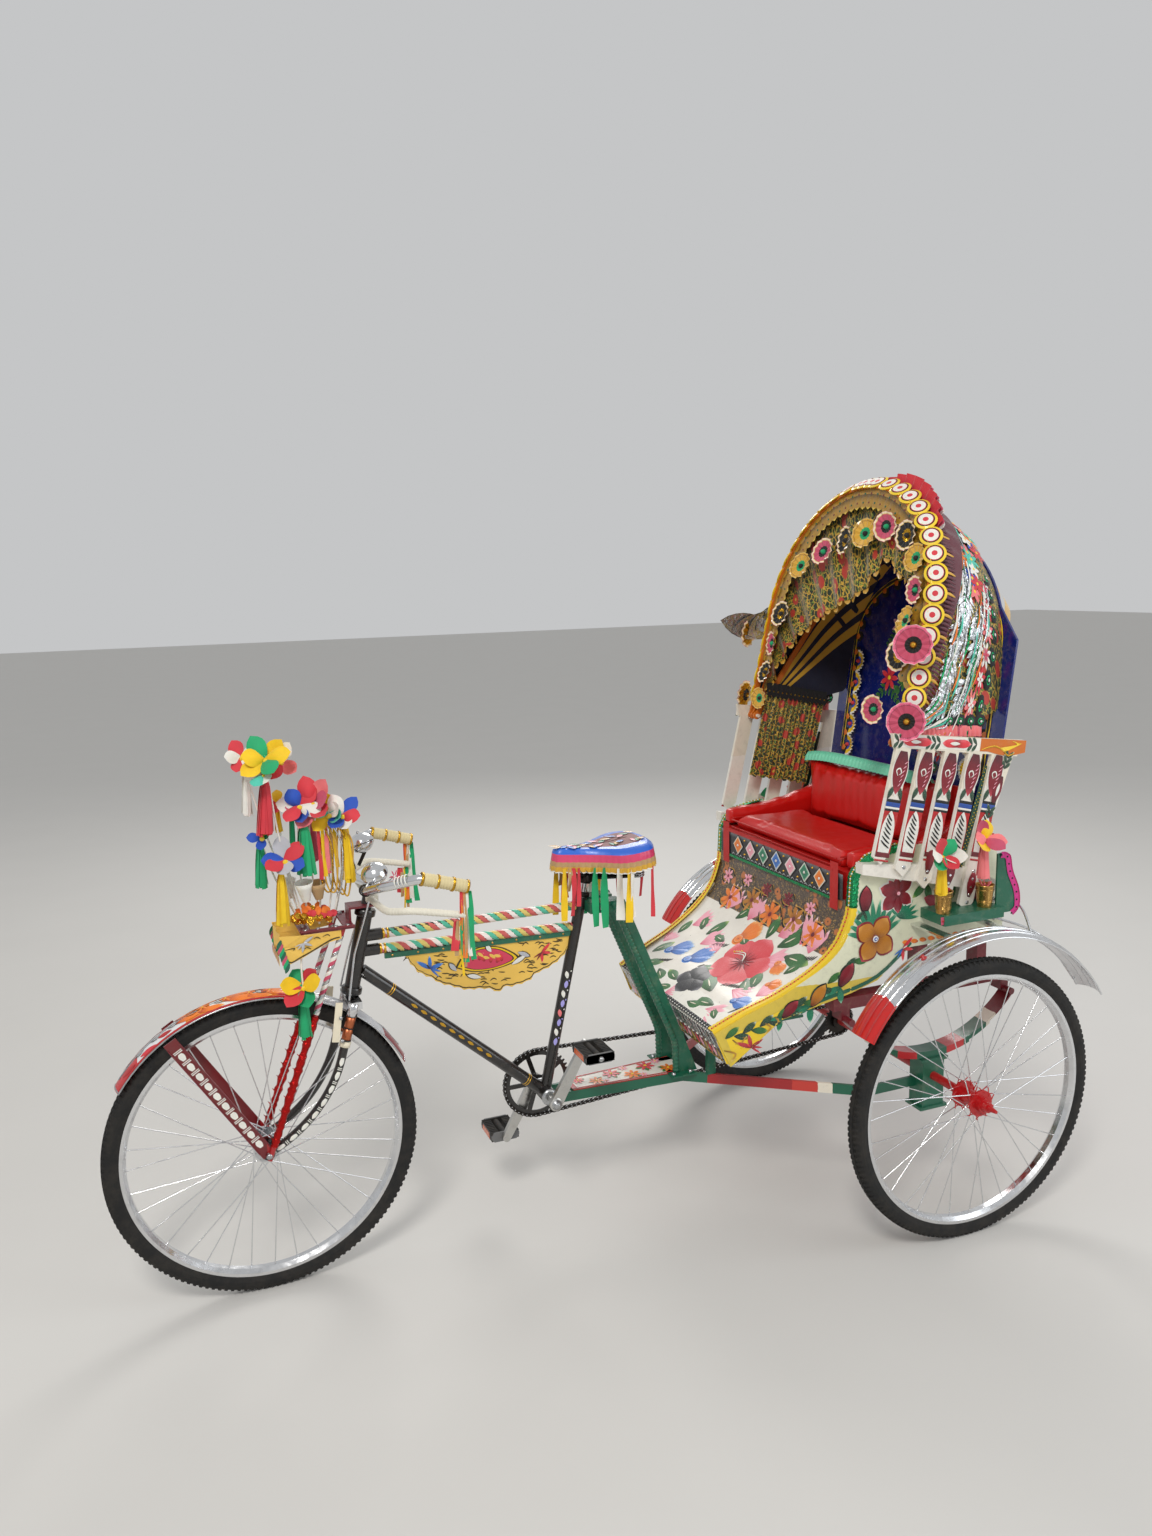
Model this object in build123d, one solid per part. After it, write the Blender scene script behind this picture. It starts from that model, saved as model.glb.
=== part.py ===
from build123d import *
import math
import os

os.makedirs("parts", exist_ok=True)

# A decorated pedal rickshaw: one steered front wheel, a long roadster frame, and a spring-carried
# passenger body with a folding hood over two rear wheels. Millimetres, +X forward, +Y to the
# rickshaw's left, +Z up. Sizes are drawn from the rear axle, and export_node moves every piece
# so that the origin lies on the ground at the middle of the outline.

# Main sizes
WHEELBASE = 1622.0
TRACK = 995.0
BODY_W = 330.0
TYRE_R = 355.5

# Wheels
TYRE_W = 40.0
TYRE_H = 37.5
RIM_R = TYRE_R - TYRE_H
RIM_W = 32.0
RIM_DEPTH = 15.0
SPOKES = 36
SPOKE_R = 1.3
SPOKE_CROSSES = 3
FLANGE_R = 27.0
FLANGE_HALF = 30.0
SPOKE_OFFSET = 2.6

# Rear axle
AXLE_R = 11.0
HUB_R = 19.0
HUB_TIP = 84.0
RUN_GAP = 0.05
BOX_Y = BODY_W
BOX_HALF_X = 33.0
BOX_HALF_Y = 26.0
BOX_TOP = TYRE_R + 48.5
BOX_BOTTOM = TYRE_R - 88.5

# Frame of the bicycle half, points in X and Z, set back from the front axle
BRACKET = (WHEELBASE - 692.0, 346.0)
SEAT_LUG = (WHEELBASE - 800.0, 823.0)
HEAD_TOP = (WHEELBASE - 262.0, 888.0)
HEAD_BOTTOM = (WHEELBASE - 216.5, 689.0)
TOP_TUBES = [(822.0, 825.0), (786.0, 772.0)]  # height at the head tube, height at the seat tube
DOWN_TUBE_TOP = (WHEELBASE - 245.0, 740.0)
HEAD_R = 18.0
STEERER_R = 12.7
TOP_TUBE_R = 11.0
DOWN_TUBE_R = 15.0
SEAT_TUBE_R = 14.0
SHELL_R = 20.0
SHELL_HALF = 34.0
POST_R = 12.0
POST_TOP = 922.0

# Stays and rails
STAY_Y = 45.0
STAY_T = 6.0
RAIL_Z = TYRE_R - 20.5
RAIL_H = 26.0
RAIL_T = 8.0
STAY_TOP = (SEAT_LUG[0] - 87.0, SEAT_LUG[1] + 1.0)
STAY_FOOT = (WHEELBASE - 1072.0, RAIL_Z + 13.0)
STAY_KNEE = (STAY_FOOT[0] + 22.0, STAY_FOOT[1] + 94.0)
RAIL_BEND_X = STAY_FOOT[0] + 10.0
RAIL_TURN_X = 180.0

# Drive
CHAIN_PITCH = 12.7
RING_TEETH = 44
SPROCKET_TEETH = 22
TOOTH_T = 3.0
CHAIN_Y = -58.0
CHAIN_H = 9.0
PLATE_T = 1.4
PLATE_GAP = 0.8
CRANK_LENGTH = 165.0
CRANK_Y = 76.0
CRANK_ANGLE = 120.0  # left crank at rest, from straight ahead towards up
PEDAL_W = 88.0
PEDAL_L = 74.0

# Steering
AXLE_HALF = 62.0
FRONT_FLANGE_HALF = 24.0
FRONT_AXLE_R = 5.0
BLADE_R = 10.0
BAR_R = 11.0
FRONT_GUARD_R = TYRE_R + 13.5
FRONT_GUARD_W = 62.0
FRONT_GUARD_FROM = 33.0
FRONT_GUARD_TO = 155.0

# Rear mudguards
REAR_GUARD_R = TYRE_R + 52.5
REAR_GUARD_X = -20.0
REAR_GUARD_Z = TYRE_R + 14.5
REAR_GUARD_W = 84.0
REAR_GUARD_FROM = 30.0
REAR_GUARD_TO = 149.0
GUARD_T = 2.0

# Passenger body
TRAY_W = BODY_W - 52.0
TRAY_FRONT_X = STAY_KNEE[0] + 20.0
TURN_X = 240.0
BODY_REAR_X = -200.0
PANEL_T = 8.0
SHEET_T = 3.0
BODY_FLOOR_Z = 700.0
SEAT_Z = 905.0
SEAT_BOARD_T = 12.0
CUSHION_T = 32.0
BACK_X = -20.0
BACK_T = 80.0
BACK_TOP = 1108.0
ARM_T = 46.0
SOFT_GAP = 0.3
TRAY_SHAPE = [(1.0, 543), (0.773, 582), (0.511, 619), (0.247, 673), (0.085, 730), (0.0, 800)]
TRAY_CURVE = [(TURN_X + share * (TRAY_FRONT_X - TURN_X), z) for share, z in TRAY_SHAPE]
APRON_FOOT = (TRAY_FRONT_X - 40.0, 455.0)
SIDE_TOP = [(235, 900), (196, 944), (100, 962), (-186, 962), (-215, 880), (-245, 760)]
SIDE_BOTTOM = [(-238, 700), (62, 700), (161, 628), (288, 594), (TRAY_CURVE[2][0], 560), APRON_FOOT]

# Springs and bearers
SPRING_EYE_X = 250.0
SPRING_EYE_Z = BOX_TOP + 132.0
LEAF_T = 6.0
LEAF_W = 45.0
LEAF_SHARES = [1.0, 0.72, 0.46]
BEARER_Z = SPRING_EYE_Z + 28.0
BEARER_H = 30.0

# Side slats and their beam
SLAT_Y = BODY_W + 28.0
SLAT_T = 10.0
SLAT_W = 44.0
SLATS = 5
SLAT_LEAN = 13.0
BEAM_FRONT = (160.0, 1236.0)
BEAM_REAR = (-240.0, 1190.0)
BEAM_H = 34.0

# Hood
PIVOT = (120.0, 1222.0)
HOOD_W = SLAT_Y - 8.0
HOOD_LEG = 300.0
HOOD_STEP = 14.0
CLOTH_T = 3.0
BOW_T = 6.0
BOW_W = 16.0
PIN_R = 5.0
EYE_R = 11.0
FRONT_LEAN = 13.0
MID_LEAN = 24.5
REAR_LEAN = 36.0
LAP = 1.5
PANEL_FOOT = (-150.0, 962.0)
PANEL_LEAN = 8.0
PANEL_W = HOOD_W + 2.0
PANEL_SHOULDER = 500.0
PANEL_SWEPT = (582.0, 762.0)  # heights on the board that the folding hood passes over
PANEL_GAP = 6.0

FRONT_END = WHEELBASE + TYRE_R
REAR_END = REAR_GUARD_X - (REAR_GUARD_R + GUARD_T) * math.cos(math.radians(180 - REAR_GUARD_TO))
ORIGIN_X = (FRONT_END + min(REAR_END, -TYRE_R)) / 2


def export_node(name, shape):
    """Writes one node, moved so that the origin is at the middle of the outline."""
    export_step(Pos(-ORIGIN_X, 0, 0) * shape, f"parts/{name}.step")


def rod(start, end, radius):
    """A round bar from one point to another."""
    axis = Vector(*end) - Vector(*start)
    ends = (Align.CENTER, Align.CENTER, Align.MIN)
    return Plane(origin=start, z_dir=axis) * Cylinder(radius, axis.length, align=ends)


def across(face, y_low, y_high):
    """A shape drawn in X and Z, as thick as from y_low to y_high."""
    plane = Plane(origin=(0, y_high, 0), x_dir=(1, 0, 0), z_dir=(0, -1, 0))
    return extrude(plane * face, amount=y_high - y_low, dir=(0, -1, 0))


def outline(points):
    """A flat face with straight edges between the points."""
    return Polygon(*points, align=None)


def block(x_low, x_high, y_low, y_high, z_low, z_high):
    """A box between two corners."""
    size = (x_high - x_low, y_high - y_low, z_high - z_low)
    middle = ((x_low + x_high) / 2, (y_low + y_high) / 2, (z_low + z_high) / 2)
    return Pos(*middle) * Box(*size)


def bent_rod(points, radius, bend):
    """A round bar along a path with rounded bends."""
    path = FilletPolyline(*points, radius=bend)
    return sweep(Plane(origin=path @ 0, z_dir=path % 0) * Circle(radius), path=path)


def both(shape):
    """A left piece with its mirror image on the right."""
    return shape + mirror(shape, about=Plane.XZ)


def along_head(height):
    """X on the steering axis at a height."""
    slope = (HEAD_TOP[0] - HEAD_BOTTOM[0]) / (HEAD_TOP[1] - HEAD_BOTTOM[1])
    return HEAD_TOP[0] + slope * (height - HEAD_TOP[1])


# Wheels
def mirrored_ring(half_section):
    """A ring about the Y axis from half a section, given as radius and half width, outermost first."""
    other_half = [(radius, -half) for radius, half in reversed(half_section)]
    return revolve(outline([*half_section, *other_half]), axis=Axis.Y)


def tyre():
    """A tyre about the Y axis, with a flat tread, sloped shoulders and its beads on the rim."""
    return mirrored_ring([
        (TYRE_R, TYRE_W * 0.2),
        (TYRE_R - TYRE_H * 0.12, TYRE_W * 0.36),
        (TYRE_R - TYRE_H * 0.42, TYRE_W * 0.5),
        (TYRE_R - TYRE_H * 0.78, TYRE_W * 0.46),
        (RIM_R, RIM_W / 2),
    ])


def rim():
    """A steel rim: a flat bed, straight walls and a narrower crown that takes the spokes."""
    return mirrored_ring([
        (RIM_R, RIM_W / 2),
        (RIM_R - RIM_DEPTH * 0.5, RIM_W / 2),
        (RIM_R - RIM_DEPTH, RIM_W * 0.22),
    ])


def hub_shell(flange, radius, half):
    """A turned hub with two flanges, drilled for the spokes' inner ends at the flange radius."""
    body = Rot(90, 0, 0) * Cylinder(radius, 2 * half + 14)
    for side in (-1, 1):
        body += Pos(0, side * half, 0) * (Rot(90, 0, 0) * Cylinder(flange + 6, 5))
    return body


def spokes(half):
    """Steel spokes laced in crosses between the rim and two flanges at half the hub's width."""
    found = []
    for index in range(SPOKES):
        side = 1 if index % 2 else -1
        turn = 1 if index % 4 < 2 else -1
        at_rim = 2 * math.pi * index / SPOKES
        at_hub = at_rim + turn * SPOKE_CROSSES * 4 * math.pi / SPOKES
        y_hub = side * half + turn * SPOKE_OFFSET
        start = (FLANGE_R * math.cos(at_hub), y_hub, FLANGE_R * math.sin(at_hub))
        reach = RIM_R - RIM_DEPTH + 2
        end = (reach * math.cos(at_rim), side * 4, reach * math.sin(at_rim))
        found.append(rod(start, end, SPOKE_R))
    return found


def laced(hub, half):
    """A hub joined to its rim by the spokes."""
    return Part() + [rim(), hub, *spokes(half)]


def rear_hub(bore_depth):
    """A rear hub whose outer end steps down to a point, bored from the inside."""
    shell = hub_shell(FLANGE_R, HUB_R, FLANGE_HALF)
    half = FLANGE_HALF + 7
    steps = [(half, HUB_R), (half + 10, HUB_R), (half + 10, 14), (half + 24, 12)]
    steps += [(half + 24, 8), (HUB_TIP, 4), (HUB_TIP, 0), (half, 0)]
    nose = revolve(Polygon(*[(r, y) for y, r in steps], align=None), axis=Axis.Y)
    bore = Pos(0, -half + bore_depth / 2, 0) * (Rot(90, 0, 0) * Cylinder(AXLE_R + RUN_GAP, bore_depth))
    return shell + nose - bore


SHAFT_END = TRACK / 2 + FLANGE_HALF - 4
BORE_DEPTH = 2 * FLANGE_HALF + 5
rear_wheel = laced(rear_hub(BORE_DEPTH), FLANGE_HALF)
left_place = Pos(0, TRACK / 2, TYRE_R)
export_node("wheel_rear_left", left_place * rear_wheel)
export_node("wheel_rear_right", mirror(left_place * rear_wheel, about=Plane.XZ))
export_node("tyre_rear_left", left_place * tyre())
export_node("tyre_rear_right", Pos(0, -TRACK / 2, TYRE_R) * tyre())
export_node("axle_shaft", rod((0, -SHAFT_END, TYRE_R), (0, SHAFT_END, TYRE_R), AXLE_R))

front_place = Pos(WHEELBASE, 0, TYRE_R)
front_hub = hub_shell(FLANGE_R, 13, FRONT_FLANGE_HALF)
front_hub -= Rot(90, 0, 0) * Cylinder(FRONT_AXLE_R + RUN_GAP, 200)
export_node("wheel_front", front_place * laced(front_hub, FRONT_FLANGE_HALF))
export_node("tyre_front", front_place * tyre())


# Main frame
def frame_tube(start, end, radius):
    """A frame tube in the middle plane between two points in X and Z."""
    return rod((start[0], 0, start[1]), (end[0], 0, end[1]), radius)


lug_slope = (SEAT_LUG[0] - BRACKET[0]) / (SEAT_LUG[1] - BRACKET[1])
tube_top = SEAT_LUG[1] + 22
seat_tube_top = (BRACKET[0] + lug_slope * (tube_top - BRACKET[1]), tube_top)
frame = frame_tube(BRACKET, seat_tube_top, SEAT_TUBE_R)
frame += frame_tube(BRACKET, DOWN_TUBE_TOP, DOWN_TUBE_R)
for at_head, at_seat in TOP_TUBES:
    seat_x = BRACKET[0] + lug_slope * (at_seat - BRACKET[1])
    frame += frame_tube((along_head(at_head), at_head), (seat_x, at_seat), TOP_TUBE_R)
    head_lug = frame_tube((along_head(at_head), at_head), (along_head(at_head) - 48, at_head), TOP_TUBE_R + 3)
    frame += head_lug
frame += frame_tube(HEAD_BOTTOM, HEAD_TOP, HEAD_R)
for low, high in ((HEAD_BOTTOM[1], HEAD_BOTTOM[1] + 16), (HEAD_TOP[1] - 16, HEAD_TOP[1])):
    frame += frame_tube((along_head(low), low), (along_head(high), high), HEAD_R + 4)
frame += Pos(BRACKET[0], 0, BRACKET[1]) * (Rot(90, 0, 0) * Cylinder(SHELL_R, 2 * SHELL_HALF))
frame -= frame_tube((along_head(600), 600), (along_head(960), 960), STEERER_R + RUN_GAP)
SPINDLE_R = 8.0
frame -= Pos(BRACKET[0], 0, BRACKET[1]) * (Rot(90, 0, 0) * Cylinder(SPINDLE_R + RUN_GAP, 200))
post_foot = (BRACKET[0] + lug_slope * (650 - BRACKET[1]), 650)
post_head = (BRACKET[0] + lug_slope * (POST_TOP - BRACKET[1]), POST_TOP)
seat_post = frame_tube(post_foot, post_head, POST_R)
export_node("main_frame", frame - seat_post)
export_node("seat_post", seat_post)


# Saddle: a wide rear and a narrow nose on a curved base
SADDLE_REAR = (644.0, 105.0)
SADDLE_NOSE = (883.0, 26.0)
SADDLE_Z = 925.0


def saddle():
    """A leather saddle, highest at the back and pinched to a nose."""
    half = [(SADDLE_REAR[0], 60), (SADDLE_REAR[0] + 24, 98), (SADDLE_REAR[0] + 70, SADDLE_REAR[1])]
    half += [(SADDLE_REAR[0] + 120, 70), (SADDLE_NOSE[0] - 60, 30), (SADDLE_NOSE[0], 18)]
    points = half + [(x, -y) for x, y in reversed(half)]
    base = extrude(Plane.XY.offset(SADDLE_Z) * outline(points), amount=50, dir=(0, 0, 1))
    return fillet(base.edges().group_by(Axis.Z)[-1], 16)


export_node("saddle", saddle())


# Green seat stays with feet, and the rails that run back to the axle boxes
def seat_stay():
    """A flat bar from the seat cluster down to the rail."""
    lug_y = SEAT_TUBE_R - 4
    low, high = SEAT_LUG[1] - 11, SEAT_LUG[1] + 15
    strap = outline([(SEAT_LUG[0] - 8, low), (SEAT_LUG[0] - 8, high), (STAY_TOP[0] - 6, high), (STAY_TOP[0] - 6, low)])
    top = across(strap, lug_y, STAY_Y + STAY_T)
    lean = [(STAY_TOP[0] - 14, high), (STAY_TOP[0] + 18, high), (STAY_KNEE[0] + 16, STAY_KNEE[1])]
    lean += [(STAY_FOOT[0] + 32, STAY_FOOT[1]), (STAY_FOOT[0] - 30, STAY_FOOT[1]), (STAY_KNEE[0] - 16, STAY_KNEE[1])]
    return top + across(outline(lean), STAY_Y, STAY_Y + STAY_T)


stays = both(seat_stay()) - frame - seat_post
export_node("seat_stays", stays)


def rail(side):
    """A rail from the bottom bracket back to one axle box, drawn in plan."""
    rail_y = side * (BOX_Y - 8)
    path = Polyline(
        (BRACKET[0], side * 24),
        (RAIL_BEND_X, side * STAY_Y),
        (RAIL_TURN_X, rail_y),
        (BOX_HALF_X, rail_y),
    )
    plan_of_bar = Plane.XY.offset(RAIL_Z - RAIL_H / 2) * trace(path, line_width=RAIL_T)
    bar = extrude(plan_of_bar, amount=RAIL_H, dir=(0, 0, 1))
    bracket_shell = Pos(BRACKET[0], 0, BRACKET[1]) * (Rot(90, 0, 0) * Cylinder(SHELL_R, 2 * SHELL_HALF + 20))
    ahead = block(BRACKET[0], BRACKET[0] + 60, -100, 100, 200, 500)
    return bar - bracket_shell - ahead


export_node("rail_left", rail(1))
export_node("rail_right", rail(-1))


# Axle boxes and leaf springs
def axle_box(side):
    """A clamp block that holds the axle's bearing under a spring."""
    y = side * BOX_Y
    body = block(-BOX_HALF_X, BOX_HALF_X, y - BOX_HALF_Y, y + BOX_HALF_Y, BOX_BOTTOM + 8, BOX_TOP - 8)
    for low in (BOX_BOTTOM, BOX_TOP - 8):
        body += block(-BOX_HALF_X - 8, BOX_HALF_X + 8, y - BOX_HALF_Y - 5, y + BOX_HALF_Y + 5, low, low + 8)
    bore = Pos(0, y, TYRE_R) * (Rot(90, 0, 0) * Cylinder(AXLE_R + RUN_GAP, 120))
    return body - bore


export_node("axle_box_left", axle_box(1))
export_node("axle_box_right", axle_box(-1))


def leaf(share, under):
    """One leaf of a spring: an arc of a share of the full length."""
    low = BOX_TOP + under
    rise = SPRING_EYE_Z - BOX_TOP - LEAF_T * len(LEAF_SHARES)
    radius = (SPRING_EYE_X**2 + rise**2) / (2 * rise)
    reach = SPRING_EYE_X * share
    lift = radius - math.sqrt(radius**2 - reach**2)
    lower = ThreePointArc((-reach, low + lift), (0, low), (reach, low + lift))
    upper = ThreePointArc((-reach, low + lift + LEAF_T), (0, low + LEAF_T), (reach, low + lift + LEAF_T))
    sides = [Line(lower @ 0, upper @ 0), Line(lower @ 1, upper @ 1)]
    return make_face([lower, upper, *sides])


def spring(side):
    """A pack of leaves with an eye at each end of the longest."""
    y = side * BOX_Y
    pack = None
    for index, share in enumerate(reversed(LEAF_SHARES)):
        one = across(leaf(share, index * LEAF_T), y - LEAF_W / 2, y + LEAF_W / 2)
        pack = one if pack is None else pack + one
    for end in (-1, 1):
        eye = Pos(end * SPRING_EYE_X, y, SPRING_EYE_Z + 3) * (Rot(90, 0, 0) * Cylinder(9, LEAF_W))
        pack += eye
    return pack


export_node("spring_left", spring(1))
export_node("spring_right", spring(-1))


def bearer(side):
    """A bar that joins a spring's eyes to the body, with lugs below and posts above."""
    y = side * (BODY_W - 25)
    bar = block(-SPRING_EYE_X - 25, SPRING_EYE_X + 35, y - 20, y + 20, BEARER_Z, BEARER_Z + BEARER_H)
    for end in (-1, 1):
        x = end * SPRING_EYE_X
        bar += block(x - 12, x + 12, y - 20, y + 20, SPRING_EYE_Z, BEARER_Z)
    for x in (-170, 20):
        bar += block(x - 15, x + 15, y - 20, y + 20, BEARER_Z + BEARER_H, BODY_FLOOR_Z)
    return bar - spring(side)


export_node("bearer_left", bearer(1))
export_node("bearer_right", bearer(-1))


# Drive: chainring, cranks, pedals, sprocket and chain
def pitch_radius(teeth):
    """Radius of the chain's rollers about a wheel of so many teeth."""
    return CHAIN_PITCH / (2 * math.sin(math.pi / teeth))


TIP = 3.2
ROOT = 4.2


def toothed(teeth):
    """The outline of a toothed wheel: four points for each tooth."""
    points = []
    for index in range(teeth):
        for share, lift in ((-0.32, -ROOT), (-0.1, TIP), (0.1, TIP), (0.32, -ROOT)):
            angle = 2 * math.pi * (index + share) / teeth
            radius = pitch_radius(teeth) + lift
            points.append((radius * math.cos(angle), radius * math.sin(angle)))
    return outline(points)


def chainring():
    """A toothed ring on five spider arms."""
    outer = pitch_radius(RING_TEETH) - 14
    ring = toothed(RING_TEETH) - Circle(outer)
    for index in range(5):
        ring += Rot(0, 0, 72 * index) * (Pos(outer / 2, 0) * Rectangle(outer + 8, 12))
    ring += Circle(22)
    ring -= Circle(SPINDLE_R)
    return Pos(BRACKET[0], 0, BRACKET[1]) * across(ring, CHAIN_Y - TOOTH_T / 2, CHAIN_Y + TOOTH_T / 2)


ring = chainring()
left_angle = math.radians(CRANK_ANGLE)
pedal_left = (
    BRACKET[0] + CRANK_LENGTH * math.cos(left_angle),
    BRACKET[1] + CRANK_LENGTH * math.sin(left_angle),
)
pedal_right = (2 * BRACKET[0] - pedal_left[0], 2 * BRACKET[1] - pedal_left[1])
ARM_THICK = 12.0
PEDAL_PIN_R = 5.0


def crank_arm(end, side):
    """A tapered arm from the spindle to one pedal, with the pedal's pin."""
    arm = make_hull((Pos(*BRACKET) * Circle(16)).edges() + (Pos(*end) * Circle(11)).edges())
    inner, outer = CRANK_Y - ARM_THICK / 2, CRANK_Y + ARM_THICK / 2
    y_low, y_high = sorted((side * inner, side * outer))
    solid = across(arm, y_low, y_high)
    return solid + rod((end[0], side * outer, end[1]), (end[0], side * (outer + PEDAL_W + 6), end[1]), PEDAL_PIN_R)


cranks = crank_arm(pedal_left, 1) + crank_arm(pedal_right, -1)
cranks += rod((BRACKET[0], -CRANK_Y, BRACKET[1]), (BRACKET[0], CRANK_Y, BRACKET[1]), SPINDLE_R)
export_node("cranks", cranks)
export_node("chainring", ring)


def pedal(end, side):
    """A pedal: two rubber treads between end plates on a sleeve that turns on the crank's pin."""
    inner = CRANK_Y + ARM_THICK / 2 + 3
    sleeve = rod((0, inner, 0), (0, inner + PEDAL_W, 0), 9)
    body = sleeve
    for y in (inner, inner + PEDAL_W - 4):
        body += block(-PEDAL_L / 2, PEDAL_L / 2, y, y + 4, -11, 11)
    for x in (-PEDAL_L / 2 + 11, PEDAL_L / 2 - 11):
        body += block(x - 11, x + 11, inner, inner + PEDAL_W, -10, 10)
    body -= rod((0, 0, 0), (0, inner + PEDAL_W + 20, 0), PEDAL_PIN_R + RUN_GAP)
    if side < 0:
        body = mirror(body, about=Plane.XZ)
    return Pos(end[0], 0, end[1]) * body


export_node("pedal_left", pedal(pedal_left, 1))
export_node("pedal_right", pedal(pedal_right, -1))

sprocket_disc = toothed(SPROCKET_TEETH) - Circle(AXLE_R + RUN_GAP)
sprocket = across(sprocket_disc, CHAIN_Y - TOOTH_T / 2, CHAIN_Y + TOOTH_T / 2)
sprocket += across(Circle(24) - Circle(AXLE_R + RUN_GAP), CHAIN_Y - 12, CHAIN_Y + 12)
export_node("sprocket", Pos(0, 0, TYRE_R) * sprocket)


def chain_hull(extra):
    """The chain's outline around both toothed wheels, with its edge moved out by extra."""
    large = Pos(*BRACKET) * Circle(pitch_radius(RING_TEETH) + TIP + 4 + extra)
    small = Pos(0, TYRE_R) * Circle(pitch_radius(SPROCKET_TEETH) + TIP + 4 + extra)
    return make_hull(large.edges() + small.edges())


def chain():
    """Two side bands either side of the teeth."""
    band = chain_hull(CHAIN_H / 2) - chain_hull(-CHAIN_H / 2)
    found = []
    for side in (-1, 1):
        near = CHAIN_Y + side * (TOOTH_T / 2 + PLATE_GAP)
        y_low, y_high = sorted((near, near + side * PLATE_T))
        found.append(across(band, y_low, y_high))
    return Compound(children=found)


export_node("chain", chain())

# Steering: fork, struts, mudguard, handlebar, brake bars and carrier
CROWN_Z = 683.0
STEM_Z = 945.0
blade_top = (along_head(CROWN_Z), CROWN_Z)
blade_knee = (along_head(CROWN_Z) + 36, 556.0)
BLADE_Y = 46.0


def blade(side):
    """A fork blade: straight below the crown, then swept forward to the axle."""
    y = side * BLADE_Y
    straight = Line((blade_top[0], y, blade_top[1]), (blade_knee[0], y, blade_knee[1]))
    sweep_arc = TangentArc(straight @ 1, (WHEELBASE, y, TYRE_R), tangent=straight % 1)
    path = Wire([straight, sweep_arc])
    return sweep(Plane(origin=path @ 0, z_dir=path % 0) * Circle(BLADE_R), path=path)


fork = frame_tube(blade_top, (along_head(STEM_Z - 15), STEM_Z - 15), STEERER_R)
crown = block(blade_top[0] - 15, blade_top[0] + 13, -BLADE_Y - 10, BLADE_Y + 10, CROWN_Z - 16, CROWN_Z)
fork += crown
for side in (-1, 1):
    fork += blade(side)
    eye = Pos(WHEELBASE, side * (BLADE_Y + 4), TYRE_R) * (Rot(90, 0, 0) * Cylinder(14, 8))
    fork += eye
fork += rod((WHEELBASE, -AXLE_HALF, TYRE_R), (WHEELBASE, AXLE_HALF, TYRE_R), FRONT_AXLE_R)
export_node("fork", fork)


def guard(radius, width, rise, start, stop):
    """A mudguard: a crowned strip turned about the Y axis between two angles above straight ahead."""
    outer = ThreePointArc((radius, -width / 2), (radius + rise, 0), (radius, width / 2))
    inner = ThreePointArc((radius - GUARD_T, -width / 2), (radius + rise - GUARD_T, 0), (radius - GUARD_T, width / 2))
    ends = [Line(outer @ 0, inner @ 0), Line(outer @ 1, inner @ 1)]
    section = make_face([outer, inner, *ends])
    return revolve(Rot(0, -stop, 0) * section, axis=Axis.Y, revolution_arc=stop - start)


STRUT_ANGLE = 58.0
front_guard = front_place * guard(FRONT_GUARD_R - 6, FRONT_GUARD_W, 8, FRONT_GUARD_FROM, FRONT_GUARD_TO)
export_node("mudguard_front", front_guard)


def guard_strut(side):
    """A flat strut from the front axle to the mudguard."""
    reach = FRONT_GUARD_R - 8
    flat = Rot(0, 0, STRUT_ANGLE) * (Pos(reach / 2, 0) * Rectangle(reach, 30))
    y_low, y_high = sorted((side * (BLADE_Y + 8), side * (BLADE_Y + 11)))
    plate = Pos(WHEELBASE, 0, TYRE_R) * across(flat, y_low, y_high)
    return plate - fork


CARRIER_Z = 868.0
CARRIER_T = 5.0
STRUT_FOOT_Y = BLADE_Y + 8


TANG_Z = 896.0
TANG_X = (WHEELBASE - 292.0, WHEELBASE - 218.0)
DECK_X = (WHEELBASE - 223.0, WHEELBASE - 102.0)
DECK_HALF = 62.0
DECK_BORDER = 18.0
BOLT_X = (WHEELBASE - 182.0, WHEELBASE - 142.0)
BOLT_R = 3.2
carrier = block(*TANG_X, -24, 24, TANG_Z, TANG_Z + CARRIER_T)
carrier += block(DECK_X[0], DECK_X[0] + CARRIER_T, -24, 24, CARRIER_Z - CARRIER_T, TANG_Z)
carrier += block(*DECK_X, -DECK_HALF, DECK_HALF, CARRIER_Z - CARRIER_T, CARRIER_Z)
carrier -= block(
    DECK_X[0] + 23, DECK_X[1] - 24, DECK_BORDER - DECK_HALF, DECK_HALF - DECK_BORDER, CARRIER_Z - 10, CARRIER_Z + 10
)
bolt_y = DECK_HALF - DECK_BORDER / 2
for x in BOLT_X:
    for y in (-bolt_y, bolt_y):
        carrier -= rod((x, y, CARRIER_Z - 10), (x, y, CARRIER_Z + 10), BOLT_R)
export_node("carrier", carrier - fork)


def carrier_strut(side):
    """A round strut from the axle's end up to the carrier."""
    y = side * (STRUT_FOOT_Y + 8)
    head = (DECK_X[0] + 25, side * (STRUT_FOOT_Y - 2), CARRIER_Z - CARRIER_T)
    return rod((WHEELBASE, y, TYRE_R - 10), head, 6) - fork - carrier


struts = [guard_strut(1), guard_strut(-1), carrier_strut(1), carrier_strut(-1)]
export_node("guard_struts", Compound(children=struts))

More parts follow.
